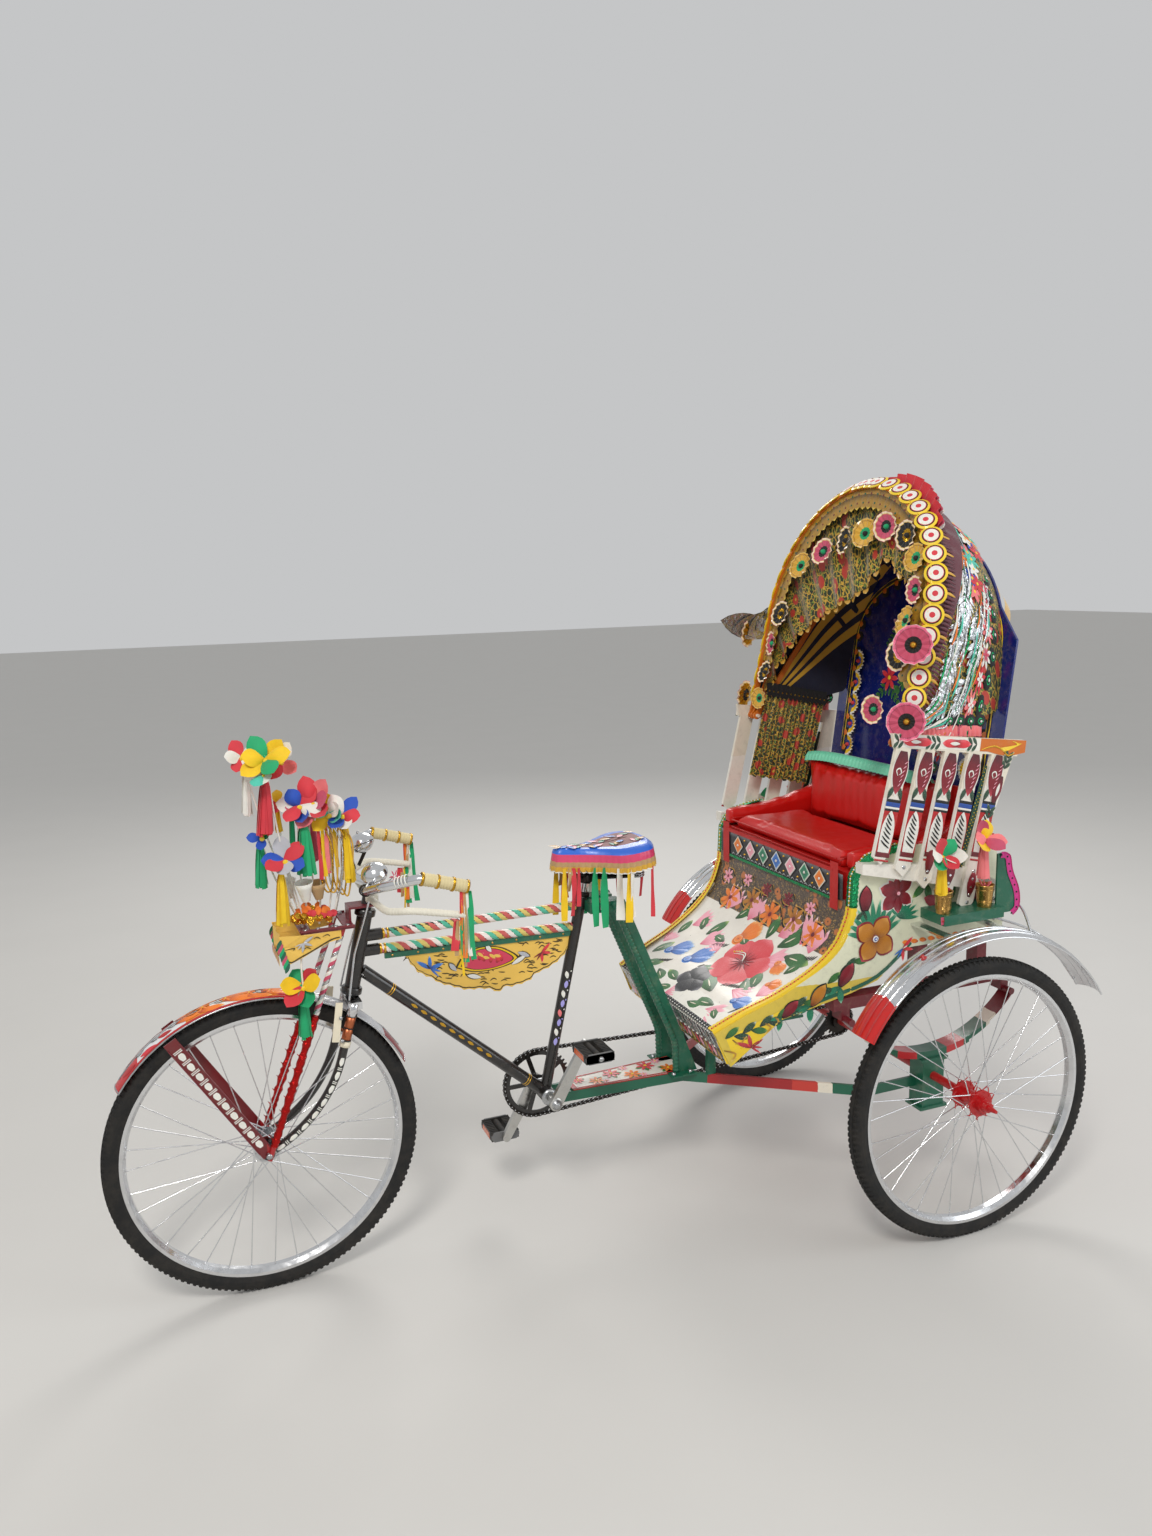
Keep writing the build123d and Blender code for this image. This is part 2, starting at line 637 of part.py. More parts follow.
BAR_SHAPE = [(277, 0, 945), (250, 70, 948), (262, 190, 985), (332, 250, 1010), (435, 252, 981)]
bar_half = [(WHEELBASE - back, y, z) for back, y, z in BAR_SHAPE]
bar_points = [(x, -y, z) for x, y, z in reversed(bar_half[1:])] + bar_half
handlebar = bent_rod(bar_points, BAR_R, 30)
handlebar += frame_tube((along_head(STEM_Z - 15), STEM_Z - 15), (along_head(STEM_Z + 14), STEM_Z + 14), 16)
export_node("handlebar", handlebar)

BRAKE_SHAPE = [(270, 20, 915), (270, 190, 930), (322, 246, 938), (428, 250, 917)]
brake_half = [(WHEELBASE - back, y, z) for back, y, z in BRAKE_SHAPE]
brake_left = bent_rod(brake_half, 6, 20)
brake_clamp = block(WHEELBASE - 288, WHEELBASE - 260, -24, 24, 908, 922)
export_node("brake_bars", both(brake_left) + brake_clamp - fork)


# Passenger body
def plan_half(x):
    """Half width of the body at a place along it: the tray narrows forward."""
    share = min(1.0, max(0.0, (x - TURN_X) / (TRAY_FRONT_X - TURN_X)))
    return BODY_W + share * (TRAY_W - BODY_W)


def plan(inset):
    """The body's plan, set in by a distance, as a tall prism."""
    half = [(TRAY_FRONT_X + 30, plan_half(TRAY_FRONT_X) - 4 - inset), (TURN_X, BODY_W - inset)]
    half += [(BODY_REAR_X - 30, BODY_W - inset)]
    points = half + [(x, -y) for x, y in reversed(half)]
    return extrude(Plane.XY.offset(400) * outline(points), amount=700, dir=(0, 0, 1))


def tray_face():
    """The bent sheet of the footboard, in X and Z."""
    upper = Spline(*TRAY_CURVE)
    lower = Spline(*[(x - SHEET_T * 0.6, z - SHEET_T) for x, z in TRAY_CURVE])
    ends = [Line(upper @ 0, lower @ 0), Line(upper @ 1, lower @ 1)]
    return make_face([upper, lower, *ends])


tray = across(tray_face(), -BODY_W, BODY_W) & plan(PANEL_T)
export_node("footboard", tray)

side_face = outline(TRAY_CURVE + SIDE_TOP + SIDE_BOTTOM)
side_band = across(side_face, -BODY_W - 10, BODY_W + 10) & (plan(0) - plan(PANEL_T))
side_left = side_band & block(-300, 800, 0, 400, 400, 1100)
export_node("side_panel_left", side_left)
export_node("side_panel_right", mirror(side_left, about=Plane.XZ))

# Apron: the painted plate under the front edge of the footboard
APRON_T = 6.0
apron_top = TRAY_CURVE[0][1]
apron_face = outline([
    (TRAY_FRONT_X, apron_top),
    APRON_FOOT,
    (APRON_FOOT[0] - APRON_T, APRON_FOOT[1] + 3),
    (TRAY_FRONT_X - APRON_T - 2, apron_top - 2),
])
apron = across(apron_face, -BODY_W, BODY_W) & plan(0)
export_node("apron", apron - side_left - mirror(side_left, about=Plane.XZ) - tray)


def foot_post(side):
    """A post that carries the footboard on its rail."""
    x = RAIL_BEND_X - 60
    y = side * (STAY_Y + (RAIL_BEND_X - x) * (BOX_Y - 8 - STAY_Y) / (RAIL_BEND_X - RAIL_TURN_X))
    post = block(x - 12, x + 12, y - 6, y + 6, RAIL_Z + RAIL_H / 2, 640)
    return (post - tray).solids().sort_by(Axis.Z)[0]


export_node("foot_posts", Compound(children=[foot_post(1), foot_post(-1)]))

# Seat box: kick wall, seat board, rear wall, floor and shelf behind the seat, hollow inside
inner_half = BODY_W - PANEL_T
FRONT_WALL_X = 222.0
WALL_T = 12.0
BACK_BOARD_X = BACK_X - BACK_T
KICK_TOP = TRAY_CURVE[-1][1] + 12
box_walls = block(FRONT_WALL_X, FRONT_WALL_X + WALL_T, -inner_half, inner_half, KICK_TOP, SEAT_Z)
box_walls += block(BACK_BOARD_X - WALL_T, FRONT_WALL_X, -inner_half, inner_half, SEAT_Z - SEAT_BOARD_T, SEAT_Z)
box_walls += block(BODY_REAR_X, BODY_REAR_X + WALL_T, -inner_half, inner_half, BODY_FLOOR_Z, PANEL_FOOT[1] - 14)
box_walls += block(BODY_REAR_X, 75, -inner_half, inner_half, BODY_FLOOR_Z, BODY_FLOOR_Z + WALL_T)
box_walls += block(BODY_REAR_X, BACK_BOARD_X, -inner_half, inner_half, PANEL_FOOT[1] - 14, PANEL_FOOT[1])
box_walls += block(BACK_BOARD_X - WALL_T, BACK_BOARD_X, -inner_half, inner_half, SEAT_Z - SEAT_BOARD_T, BACK_TOP - 20)
export_node("seat_box", box_walls)


def cushion(x_low, x_high, half, z_low, z_high, radius):
    """A soft block with rounded edges, a little clear of what it rests on."""
    soft = block(x_low, x_high, -half, half, z_low, z_high)
    return fillet(soft.edges(), radius)


arm_inner = BODY_W - PANEL_T - SOFT_GAP - ARM_T
seat_front = FRONT_WALL_X + WALL_T
cushion_half = arm_inner - SOFT_GAP
seat_low = SEAT_Z + SOFT_GAP
seat_cushion = cushion(BACK_X + SOFT_GAP, seat_front, cushion_half, seat_low, seat_low + CUSHION_T, 9)
export_node("seat_cushion", seat_cushion)
back_cushion = cushion(BACK_BOARD_X + SOFT_GAP, BACK_X, cushion_half, seat_low, BACK_TOP, 24)
export_node("back_cushion", back_cushion)


ARM_FRONT_TOP = SEAT_Z + 47
ARM_REAR_TOP = SEAT_Z + 105


def arm_pad(side):
    """A padded arm that rises towards the back."""
    arm_rear = BACK_BOARD_X + 8
    shape = outline([(seat_front, seat_low), (seat_front, ARM_FRONT_TOP), (arm_rear, ARM_REAR_TOP), (arm_rear, seat_low)])
    y_low, y_high = sorted((side * arm_inner, side * (arm_inner + ARM_T)))
    return fillet(across(shape, y_low, y_high).edges(), 8)


export_node("arm_pad_left", arm_pad(1))
export_node("arm_pad_right", arm_pad(-1))


# Rear mudguards on two arms from the body
def rear_guard(side):
    """A rear mudguard with a lip on each edge, and arms that reach the body's side."""
    y = side * TRACK / 2
    place = Pos(REAR_GUARD_X, y, REAR_GUARD_Z)
    shell = place * guard(REAR_GUARD_R - 8, REAR_GUARD_W, 10, REAR_GUARD_FROM, REAR_GUARD_TO)
    for x in (-130, 50):
        edge = math.sqrt((REAR_GUARD_R - 9) ** 2 - (x - REAR_GUARD_X) ** 2) + REAR_GUARD_Z
        y_low, y_high = sorted((side * BODY_W, y - side * (REAR_GUARD_W / 2 - 1)))
        shell += block(x - 14, x + 14, y_low, y_high, edge - 5, edge)
    return shell


export_node("mudguard_rear_left", rear_guard(1))
export_node("mudguard_rear_right", rear_guard(-1))


# Painted slats at each side of the seat, with their top beam, brace and lower cleat
SLAT_FOOT_Z = 948.0
SLAT_FOOT_STEP = 38.0
BRACE = [(-212, 1180), (-178, 1180), (-108, 1000), (-142, 1000)]
CLEAT = [(232, 940), (232, 914), (-180, 820), (-180, 850), (-60, 905)]


def slats(side):
    """Leaning slats between a cleat on the body and the beam that carries the hood's pivot."""
    lean = math.tan(math.radians(SLAT_LEAN))
    y_low, y_high = sorted((side * SLAT_Y, side * (SLAT_Y + SLAT_T)))
    beam_z = BEAM_FRONT[1]
    beam = outline([
        (BEAM_FRONT[0], BEAM_FRONT[1] + BEAM_H / 2),
        (BEAM_FRONT[0] - 6, BEAM_FRONT[1] - BEAM_H / 2),
        (BEAM_REAR[0] + 60, BEAM_REAR[1] - BEAM_H / 2),
        (BEAM_REAR[0] + 20, BEAM_REAR[1] - BEAM_H / 2 - 6),
        (BEAM_REAR[0], BEAM_REAR[1] + BEAM_H / 2),
    ])
    node = across(beam, y_low, y_high)
    pitch = (BEAM_FRONT[0] - 40 - BEAM_REAR[0] - 70) / (SLATS - 1)
    for index in range(SLATS):
        top_x = BEAM_FRONT[0] - 34 - pitch * index
        top_z = beam_z - 20 - (BEAM_FRONT[0] - top_x) * 0.115
        low_z = SLAT_FOOT_Z - SLAT_FOOT_STEP * index
        low_x = top_x + (top_z - low_z) * lean
        slat = outline([
            (top_x - SLAT_W / 2, top_z + 8),
            (top_x + SLAT_W / 2, top_z + 8),
            (low_x + SLAT_W / 2, low_z + 10),
            (low_x, low_z - 12),
            (low_x - SLAT_W / 2, low_z + 10),
        ])
        node += across(slat, y_low, y_high)
    node += across(outline(BRACE), y_low, y_high)
    c_low, c_high = sorted((side * BODY_W, side * SLAT_Y))
    node += across(outline(CLEAT), c_low, c_high)
    pin_low, pin_high = sorted((side * (HOOD_W - 3 * HOOD_STEP - CLOTH_T), side * (SLAT_Y + 1)))
    node += rod((PIVOT[0], pin_low, PIVOT[1]), (PIVOT[0], pin_high, PIVOT[1]), PIN_R)
    return node


export_node("side_slats_left", slats(1))
export_node("side_slats_right", slats(-1))


# Hood: three hoops and three cloth shells, each inside the last, about one pivot
def arch(half_width, thickness, start):
    """An upright arch with straight legs, drawn with X as the distance from the pivot."""
    outer = Pos(HOOD_LEG / 2, 0) * Rectangle(HOOD_LEG, 2 * half_width) + Pos(HOOD_LEG, 0) * Circle(half_width)
    inside = half_width - thickness
    inner = Pos(HOOD_LEG / 2, 0) * Rectangle(HOOD_LEG + 1, 2 * inside) + Pos(HOOD_LEG, 0) * Circle(inside)
    return outer - inner - Pos(start - HOOD_W, 0) * Rectangle(2 * HOOD_W, 3 * HOOD_W)


def leaned(shape, lean):
    """A shape drawn along +X from the pivot, turned to lean back from upright."""
    return Pos(PIVOT[0], 0, PIVOT[1]) * (Rot(0, -90 - lean, 0) * shape)


def hood_cloth(level, start_lean, stop_lean):
    """A shell of cloth between two leans."""
    face = arch(HOOD_W - level * HOOD_STEP, CLOTH_T, 60)
    return leaned(revolve(face, axis=Axis.Y, revolution_arc=stop_lean - start_lean), stop_lean)


def bow(level, lean):
    """A flat steel hoop with an eye at each foot, just under its cloth."""
    outer = HOOD_W - level * HOOD_STEP - CLOTH_T - SOFT_GAP
    hoop = extrude(arch(outer, BOW_T, 0), amount=BOW_W / 2, both=True)
    for side in (-1, 1):
        y_low, y_high = sorted((side * outer, side * (outer - BOW_T)))
        hoop += rod((0, y_low, 0), (0, y_high, 0), EYE_R)
    hoop -= rod((0, -500, 0), (0, 500, 0), PIN_R + RUN_GAP)
    return leaned(hoop, lean)


rear_outer = HOOD_W - 2 * HOOD_STEP
export_node("bow_front", bow(0, FRONT_LEAN))
export_node("bow_mid", bow(1, MID_LEAN))
export_node("bow_rear", bow(2, REAR_LEAN))
export_node("hood_front", hood_cloth(0, FRONT_LEAN, MID_LEAN + LAP))
export_node("hood_mid", hood_cloth(1, MID_LEAN, REAR_LEAN + LAP))

# Back panel: a painted board that leans back behind the seat, rounded to clear the folding hood
panel_sin = math.sin(math.radians(PANEL_LEAN))
panel_cos = math.cos(math.radians(PANEL_LEAN))


def panel_half(height):
    """The board's half width that stays inside the middle cloth, at a height along the board."""
    back = PIVOT[0] - PANEL_FOOT[0] + height * panel_sin
    up = PANEL_FOOT[1] + height * panel_cos - PIVOT[1]
    inside = HOOD_W - HOOD_STEP - CLOTH_T - PANEL_GAP
    return math.sqrt(max(0.0, inside**2 - (math.hypot(back, up) - HOOD_LEG) ** 2))


PANEL_STEPS = 8
half_panel = [(0, -20), (PANEL_W, -20), (PANEL_W, PANEL_SHOULDER)]
for step in range(PANEL_STEPS + 1):
    height = PANEL_SWEPT[0] + (PANEL_SWEPT[1] - PANEL_SWEPT[0]) * step / PANEL_STEPS
    half_panel.append((panel_half(height), height))
panel_face = outline(half_panel + [(-y, height) for y, height in reversed(half_panel[1:])])
panel_plane = Plane(
    origin=(PANEL_FOOT[0], 0, PANEL_FOOT[1]), x_dir=(0, 1, 0), z_dir=(panel_cos, 0, panel_sin)
)
PANEL_BOARD_T = 6.0
back_panel = extrude(panel_plane * panel_face, amount=PANEL_BOARD_T, dir=(-panel_cos, 0, -panel_sin))
back_panel -= block(-400, 100, -500, 500, 500, PANEL_FOOT[1])
export_node("back_panel", back_panel)
HOOD_HEM_Z = BEAM_REAR[1] + 6
REAR_CLOTH_END = 62.0
hood_room = block(-600, 600, -HOOD_W, HOOD_W, HOOD_HEM_Z, HOOD_HEM_Z + 2 * HOOD_W)
ahead_of_panel = extrude(panel_plane * Rectangle(6 * HOOD_W, 6 * HOOD_W), amount=2 * HOOD_W)
hood_rear = hood_cloth(2, REAR_LEAN, REAR_CLOTH_END) & ahead_of_panel & hood_room
export_node("hood_rear", hood_rear)

# Flower cups on side shelves
SHELF_Z = 800.0
SHELF_W = 90.0
CUP_Y = SLAT_Y + SLAT_T + 26


def shelf(side):
    """A box shelf outside the body with brackets for two cups."""
    y_low, y_high = sorted((side * BODY_W, side * (BODY_W + SHELF_W)))
    node = block(-150, 34, y_low, y_high, SHELF_Z - 26, SHELF_Z)
    return node


CUPS = [(18.0, 800.0), (-110.0, 800.0)]
CUP_R = 22.0
CUP_H = 56.0


def cup():
    """A brass cup, wider at its mouth, open at the top."""
    wall = [(0, 0), (14, 0), (CUP_R, CUP_H), (CUP_R - 1.5, CUP_H), (12.5, 1.5), (0, 1.5)]
    return revolve(Plane.XZ * outline(wall), axis=Axis.Z)


cups = []
for side in (-1, 1):
    for x, z in CUPS:
        cups.append(Pos(x, side * CUP_Y, z) * cup())
export_node("shelves", Compound(children=[shelf(1) - slats(1), shelf(-1) - slats(-1)]))
export_node("flower_cups", Compound(children=cups))
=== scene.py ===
"""A decorated cycle rickshaw: the visual model over its CAD frame, an add-on that runs as a script."""
import math
import random

import bpy
from bpy.props import FloatProperty, FloatVectorProperty, IntProperty, PointerProperty
from mathutils import Matrix, Vector
from mathutils.bvhtree import BVHTree


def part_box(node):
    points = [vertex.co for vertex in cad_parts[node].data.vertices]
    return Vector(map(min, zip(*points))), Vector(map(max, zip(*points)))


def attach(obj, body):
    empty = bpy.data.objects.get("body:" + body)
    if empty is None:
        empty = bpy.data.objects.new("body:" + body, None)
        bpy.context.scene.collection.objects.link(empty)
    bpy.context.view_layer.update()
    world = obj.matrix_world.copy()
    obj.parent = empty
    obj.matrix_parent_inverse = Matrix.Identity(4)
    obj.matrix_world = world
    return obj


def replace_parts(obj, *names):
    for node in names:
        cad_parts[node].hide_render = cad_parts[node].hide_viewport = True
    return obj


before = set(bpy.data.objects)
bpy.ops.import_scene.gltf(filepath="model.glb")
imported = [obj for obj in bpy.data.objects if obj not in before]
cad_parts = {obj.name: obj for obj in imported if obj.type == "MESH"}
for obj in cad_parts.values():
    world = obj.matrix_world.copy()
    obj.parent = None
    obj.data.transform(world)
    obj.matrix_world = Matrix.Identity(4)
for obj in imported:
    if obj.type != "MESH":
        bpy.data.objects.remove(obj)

bl_info = {
    "name": "Cycle rickshaw",
    "version": (1, 0, 0),
    "blender": (4, 5, 0),
    "location": "3D View > Sidebar > Rickshaw",
    "description": "Dresses the CAD frame of a decorated cycle rickshaw",
    "category": "Add Mesh",
}

# The frame's own sizes in millimetres, from the rear axle, floor at 0
WHEELBASE = 1622
TRACK = 995
TYRE_R = 355.5
BODY_W = 330
TAPER_FROM = 240
BODY_TAPER = 0.168
TRAY_CURVE = [(592, 543), (512, 582), (420, 619), (327, 673), (270, 730), (240, 800)]
APRON_FOOT = (552, 455)
SEAT_FRONT_X = 247
PIVOT = (120, 1222)
HOOD_R = (350, 336, 322)
HOOD_LEG = 300
HOOD_START = 60
HOOD_LEAN = 13.0
PANEL_FOOT = (-150, 962)
PANEL_LEAN = math.radians(8)
SLAT_Y = 358
SLAT_T = 10
SLAT_LEAN = math.radians(13)
REAR_GUARD = (-20, 370, 408)
FRONT_GUARD = (1622, 355.5, 369)
GUARD_DEGREE = 6.4
FORK_Y = 46
STAY_Y = 57
HEAD_TOP = (1360, 888)
HEAD_BOTTOM = (1405.5, 689)
BRACKET = (930, 346)
CRANK_ARM = 165
CRANK_ANGLE = math.radians(120)
CHAINRING_R = 89.0
SPROCKET_R = 44.6
CHAIN_Y = -58
SEAT_LUG = (822, 823)

# The photograph's viewpoint: lens, place, and yaw, pitch and roll in degrees
CAMERA_LENS = 26.70
CAMERA_PLACE = (1860, 2563, 1642)
CAMERA_TURN = (-22.02, 9.63, -1.37)

# How the pads are blown up, in metres and Blender's units of pressure
PAD_PRESSURE = 4.0
PAD_VOXEL = 0.006
PAD_SHRINK = 0.012
PAD_FRAMES = 20

AXLE_X = sum(corner.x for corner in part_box("axle_shaft")) / 2
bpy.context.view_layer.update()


def at(x, y, z):
    """A point in metres in the row frame, from millimetres from the rear axle."""
    return Vector((x / 1000 + AXLE_X, y / 1000, z / 1000))


def rgb(code):
    """Linear colour from a six digit code."""
    parts = [int(code[i:i + 2], 16) / 255 for i in (0, 2, 4)]
    return tuple(p / 12.92 if p <= 0.04045 else ((p + 0.055) / 1.055) ** 2.4 for p in parts)


def shade(colour, amount):
    """A darker or lighter colour."""
    return tuple(min(1.0, channel * amount) for channel in colour)


def body_edge(x):
    """Half the body's width at a place along it; it narrows towards the front."""
    return BODY_W - max(0, x - TAPER_FROM) * BODY_TAPER


def ring_point(centre, radius, degrees, y):
    """A point at an angle round a wheel's or guard's centre, given as X and Z."""
    turn = math.radians(degrees)
    return at(centre[0] + radius * math.cos(turn), y, centre[1] + radius * math.sin(turn))


# Finishes
class Graph:
    """A material's node tree, built in few words."""

    def __init__(self, name):
        self.material = bpy.data.materials.new(name)
        self.material.use_nodes = True
        self.tree = self.material.node_tree
        self.tree.nodes.clear()
        self.shader = self.tree.nodes.new("ShaderNodeBsdfPrincipled")
        output = self.tree.nodes.new("ShaderNodeOutputMaterial")
        self.tree.links.new(self.shader.outputs[0], output.inputs[0])
        self.where = self.tree.nodes.new("ShaderNodeTexCoord")

    def add(self, kind, values=(), **settings):
        """A node with its settings, and its inputs by name: a number, a colour or another node's socket."""
        node = self.tree.nodes.new("ShaderNode" + kind)
        for key, value in settings.items():
            setattr(node, key, value)
        for key, value in dict(values).items():
            self.put(node.inputs[key], value)
        return node

    def put(self, socket, value):
        """Links a socket or sets its value."""
        if isinstance(value, bpy.types.NodeSocket):
            self.tree.links.new(value, socket)
        elif isinstance(value, tuple) and len(value) == 3 and socket.type == "RGBA":
            socket.default_value = (*value, 1)
        else:
            socket.default_value = value

    def set(self, **values):
        """Sets the shader's inputs; underscores stand for spaces."""
        for key, value in values.items():
            self.put(self.shader.inputs[key.replace("_", " ")], value)

    def mix(self, share, first, second):
        """Two colours mixed by a share."""
        node = self.tree.nodes.new("ShaderNodeMix")
        node.data_type = "RGBA"
        for socket, value in zip((node.inputs[0], node.inputs[6], node.inputs[7]), (share, first, second)):
            self.put(socket, value)
        return node.outputs[2]

    def math(self, how, first, second=0.0):
        """One sum."""
        node = self.tree.nodes.new("ShaderNodeMath")
        node.operation = how
        for socket, value in zip(node.inputs, (first, second)):
            self.put(socket, value)
        return node.outputs[0]

    def noise(self, scale, detail=3.0, rough=0.5, vector=None, stretch=None):
        """Noise over the object, 0 to 1."""
        vector = vector or self.where.outputs["Object"]
        if stretch:
            vector = self.add("Mapping", {"Vector": vector, "Scale": stretch}).outputs[0]
        values = {"Vector": vector, "Scale": scale, "Detail": detail, "Roughness": rough}
        return self.add("TexNoise", values).outputs[0]

    def ramp(self, value, stops, how="LINEAR"):
        """Colours along a value."""
        node = self.add("ValToRGB", {"Fac": value})
        node.color_ramp.interpolation = how
        elements = node.color_ramp.elements
        while len(elements) < len(stops):
            elements.new(1.0)
        for element, (place, colour) in zip(elements, stops):
            element.position = place
            element.color = (*colour, 1) if isinstance(colour, tuple) else (colour, colour, colour, 1)
        return node.outputs[0]

    def bump(self, height, strength, distance=0.001, under=None):
        """Bumps on the shader's normal."""
        values = {"Height": height, "Strength": strength, "Distance": distance}
        if under is not None:
            values["Normal"] = under
        node = self.add("Bump", values)
        self.put(self.shader.inputs["Normal"], node.outputs[0])
        return node.outputs[0]


FINISHES = {}


def finish(name):
    """The material of that name."""
    return FINISHES[name]


def keep(name, graph):
    """Keeps a material under its name."""
    FINISHES[name] = graph.material
    return graph.material


def enamel(name, colour, rough=0.32, wear=0.06, coat=0.35, dirt=0.32):
    """Brushed gloss paint: faint tone changes, brush marks, dust, and a few worn spots."""
    g = Graph(name)
    tone = g.mix(g.noise(14, 4), shade(colour, 0.82), shade(colour, 1.12))
    dust = g.ramp(g.noise(46, 6, 0.65), [(0.52, 0.0), (0.78, dirt)])
    tone = g.mix(dust, tone, g.mix(0.55, colour, rgb("b8a68c")))
    chips = g.ramp(g.noise(120, 5, 0.7), [(0.70 - wear, 0.0), (0.74 - wear, 1.0)])
    g.set(Base_Color=g.mix(chips, tone, rgb("3a3330")), Coat_Weight=coat, Coat_Roughness=0.12)
    g.set(Roughness=g.ramp(g.noise(60, 3), [(0.3, rough), (0.75, min(1.0, rough + 0.22))]))
    brush = g.noise(260, 3, 0.5, stretch=(1, 0.25, 1))
    g.bump(g.math("ADD", brush, g.math("MULTIPLY", chips, -0.8)), 0.10)
    return keep(name, g)


def metal(name, colour, rough=0.14, grime=0.25):
    """Plated or plain metal with pitting and a film of grime."""
    g = Graph(name)
    film = g.ramp(g.noise(38, 6, 0.7), [(0.50, 0.0), (0.80, grime)])
    g.set(Base_Color=g.mix(film, colour, rgb("4a3a2c")), Metallic=1.0)
    g.set(Roughness=g.ramp(g.noise(90, 4), [(0.3, rough), (0.8, min(1.0, rough + 0.2))]))
    g.bump(g.noise(420, 2), 0.05, 0.0005)
    return keep(name, g)


def rubber(name, colour, dust=0.35):
    """Matt rubber with dry dust in its texture."""
    g = Graph(name)
    film = g.ramp(g.noise(30, 6, 0.7), [(0.42, 0.0), (0.85, dust)])
    g.set(Base_Color=g.mix(film, colour, rgb("8d7f6c")), Roughness=0.78)
    g.bump(g.noise(700, 2), 0.25, 0.0006)
    return keep(name, g)


def sheeting(name, colour, rough=0.38, grain=900, depth=0.16, sheen=0.0, coat=0.0):
    """Coated cloth or plastic sheet with a fine grain."""
    g = Graph(name)
    tone = g.mix(g.noise(9, 4), shade(colour, 0.80), shade(colour, 1.10))
    g.set(Base_Color=tone, Roughness=g.ramp(g.noise(24, 4), [(0.3, rough), (0.8, min(1.0, rough + 0.18))]))
    g.set(Sheen_Weight=sheen, Coat_Weight=coat, Coat_Roughness=0.2)
    cells = g.add("TexVoronoi", {"Vector": g.where.outputs["Object"], "Scale": grain}).outputs["Distance"]
    wrinkle = g.bump(g.noise(34, 5, 0.6), 0.22, 0.004)
    g.bump(cells, depth, 0.0004, wrinkle)
    return keep(name, g)


def foil(name, colour, rough=0.2, crease=60):
    """Crinkled metal foil."""
    g = Graph(name)
    facets = g.add("TexVoronoi", {"Vector": g.where.outputs["Object"], "Scale": crease, "Randomness": 1.0})
    tone = g.mix(g.noise(25, 4), shade(colour, 0.6), shade(colour, 1.15))
    g.set(Base_Color=tone, Metallic=0.92, Roughness=rough)
    height = g.math("ADD", facets.outputs["Distance"], g.noise(crease * 1.6, 4, 0.6))
    g.bump(height, 0.7, 0.004)
    return keep(name, g)


def paper(name, colour):
    """Thin foam or crepe paper with fibres and faint folds."""
    g = Graph(name)
    tone = g.mix(g.noise(30, 4), shade(colour, 0.78), shade(colour, 1.12))
    g.set(Base_Color=tone, Roughness=0.7, Sheen_Weight=0.15, Subsurface_Weight=0.05)
    fibre = g.noise(340, 3, 0.6, stretch=(1, 1, 0.12))
    g.bump(fibre, 0.22, 0.0006)
    return keep(name, g)


def brushed(name, root, body, edge, rough=0.42, coat=0.3, spread=0.55):
    """Hand painted strokes: a tone at the root, one on the body, a light edge, streaks along them."""
    g = Graph(name)
    uv = g.where.outputs["UV"]
    parts = g.add("SeparateXYZ", {"Vector": uv})
    streak = g.noise(6, 3, 0.6, vector=uv, stretch=(0.6, 9, 1))
    along = g.math("ADD", parts.outputs[0], g.math("MULTIPLY", g.math("SUBTRACT", streak, 0.5), spread))
    tone = g.ramp(along, [(0.02, root), (0.42, body), (0.80, body), (1.0, edge)])
    fleck = g.ramp(g.noise(8, 2, 0.5, vector=uv, stretch=(0.8, 16, 1)), [(0.58, 0.0), (0.70, 0.45)])
    g.set(Base_Color=g.mix(fleck, tone, edge), Roughness=rough, Coat_Weight=coat, Coat_Roughness=0.15)
    g.bump(streak, 0.12, 0.0005)
    return keep(name, g)


def brocade(name, ground, print_a, print_b, print_c, glint=0.35):
    """Printed shiny cloth: leaves and dots all over, a few larger flowers. UV is in centimetres."""
    g = Graph(name)
    uv = g.where.outputs["UV"]
    bent = g.add("VectorMath", {0: uv, 1: g.add("TexNoise", {"Vector": uv, "Scale": 0.9}).outputs["Color"]})
    small = g.add("TexVoronoi", {"Vector": bent.outputs[0], "Scale": 1.5}, distance="CHEBYCHEV")
    twig = g.add("TexVoronoi", {"Vector": bent.outputs[0], "Scale": 0.85}, feature="DISTANCE_TO_EDGE")
    flower = g.add("TexVoronoi", {"Vector": uv, "Scale": 0.26}).outputs["Distance"]
    tone = g.mix(g.ramp(small.outputs["Distance"], [(0.25, 1.0), (0.33, 0.0)]), ground, print_a)
    tone = g.mix(g.ramp(twig.outputs["Distance"], [(0.04, 1.0), (0.09, 0.0)]), tone, print_b)
    petal = g.ramp(flower, [(0.0, 1.0), (0.30, 1.0), (0.36, 0.0)])
    tone = g.mix(petal, tone, g.ramp(flower, [(0.0, print_b), (0.10, print_b), (0.12, print_c),
                                              (0.30, print_c)]))
    g.set(Base_Color=tone, Roughness=0.34, Metallic=g.math("MULTIPLY", g.noise(3, 2, vector=uv), glint))
    g.set(Sheen_Weight=0.3)
    weave = g.add("TexWave", {"Vector": uv, "Scale": 9.0, "Distortion": 0.6}).outputs["Fac"]
    fold = g.bump(g.noise(22, 4, 0.55), 0.25, 0.004)
    g.bump(weave, 0.15, 0.0006, fold)
    return keep(name, g)


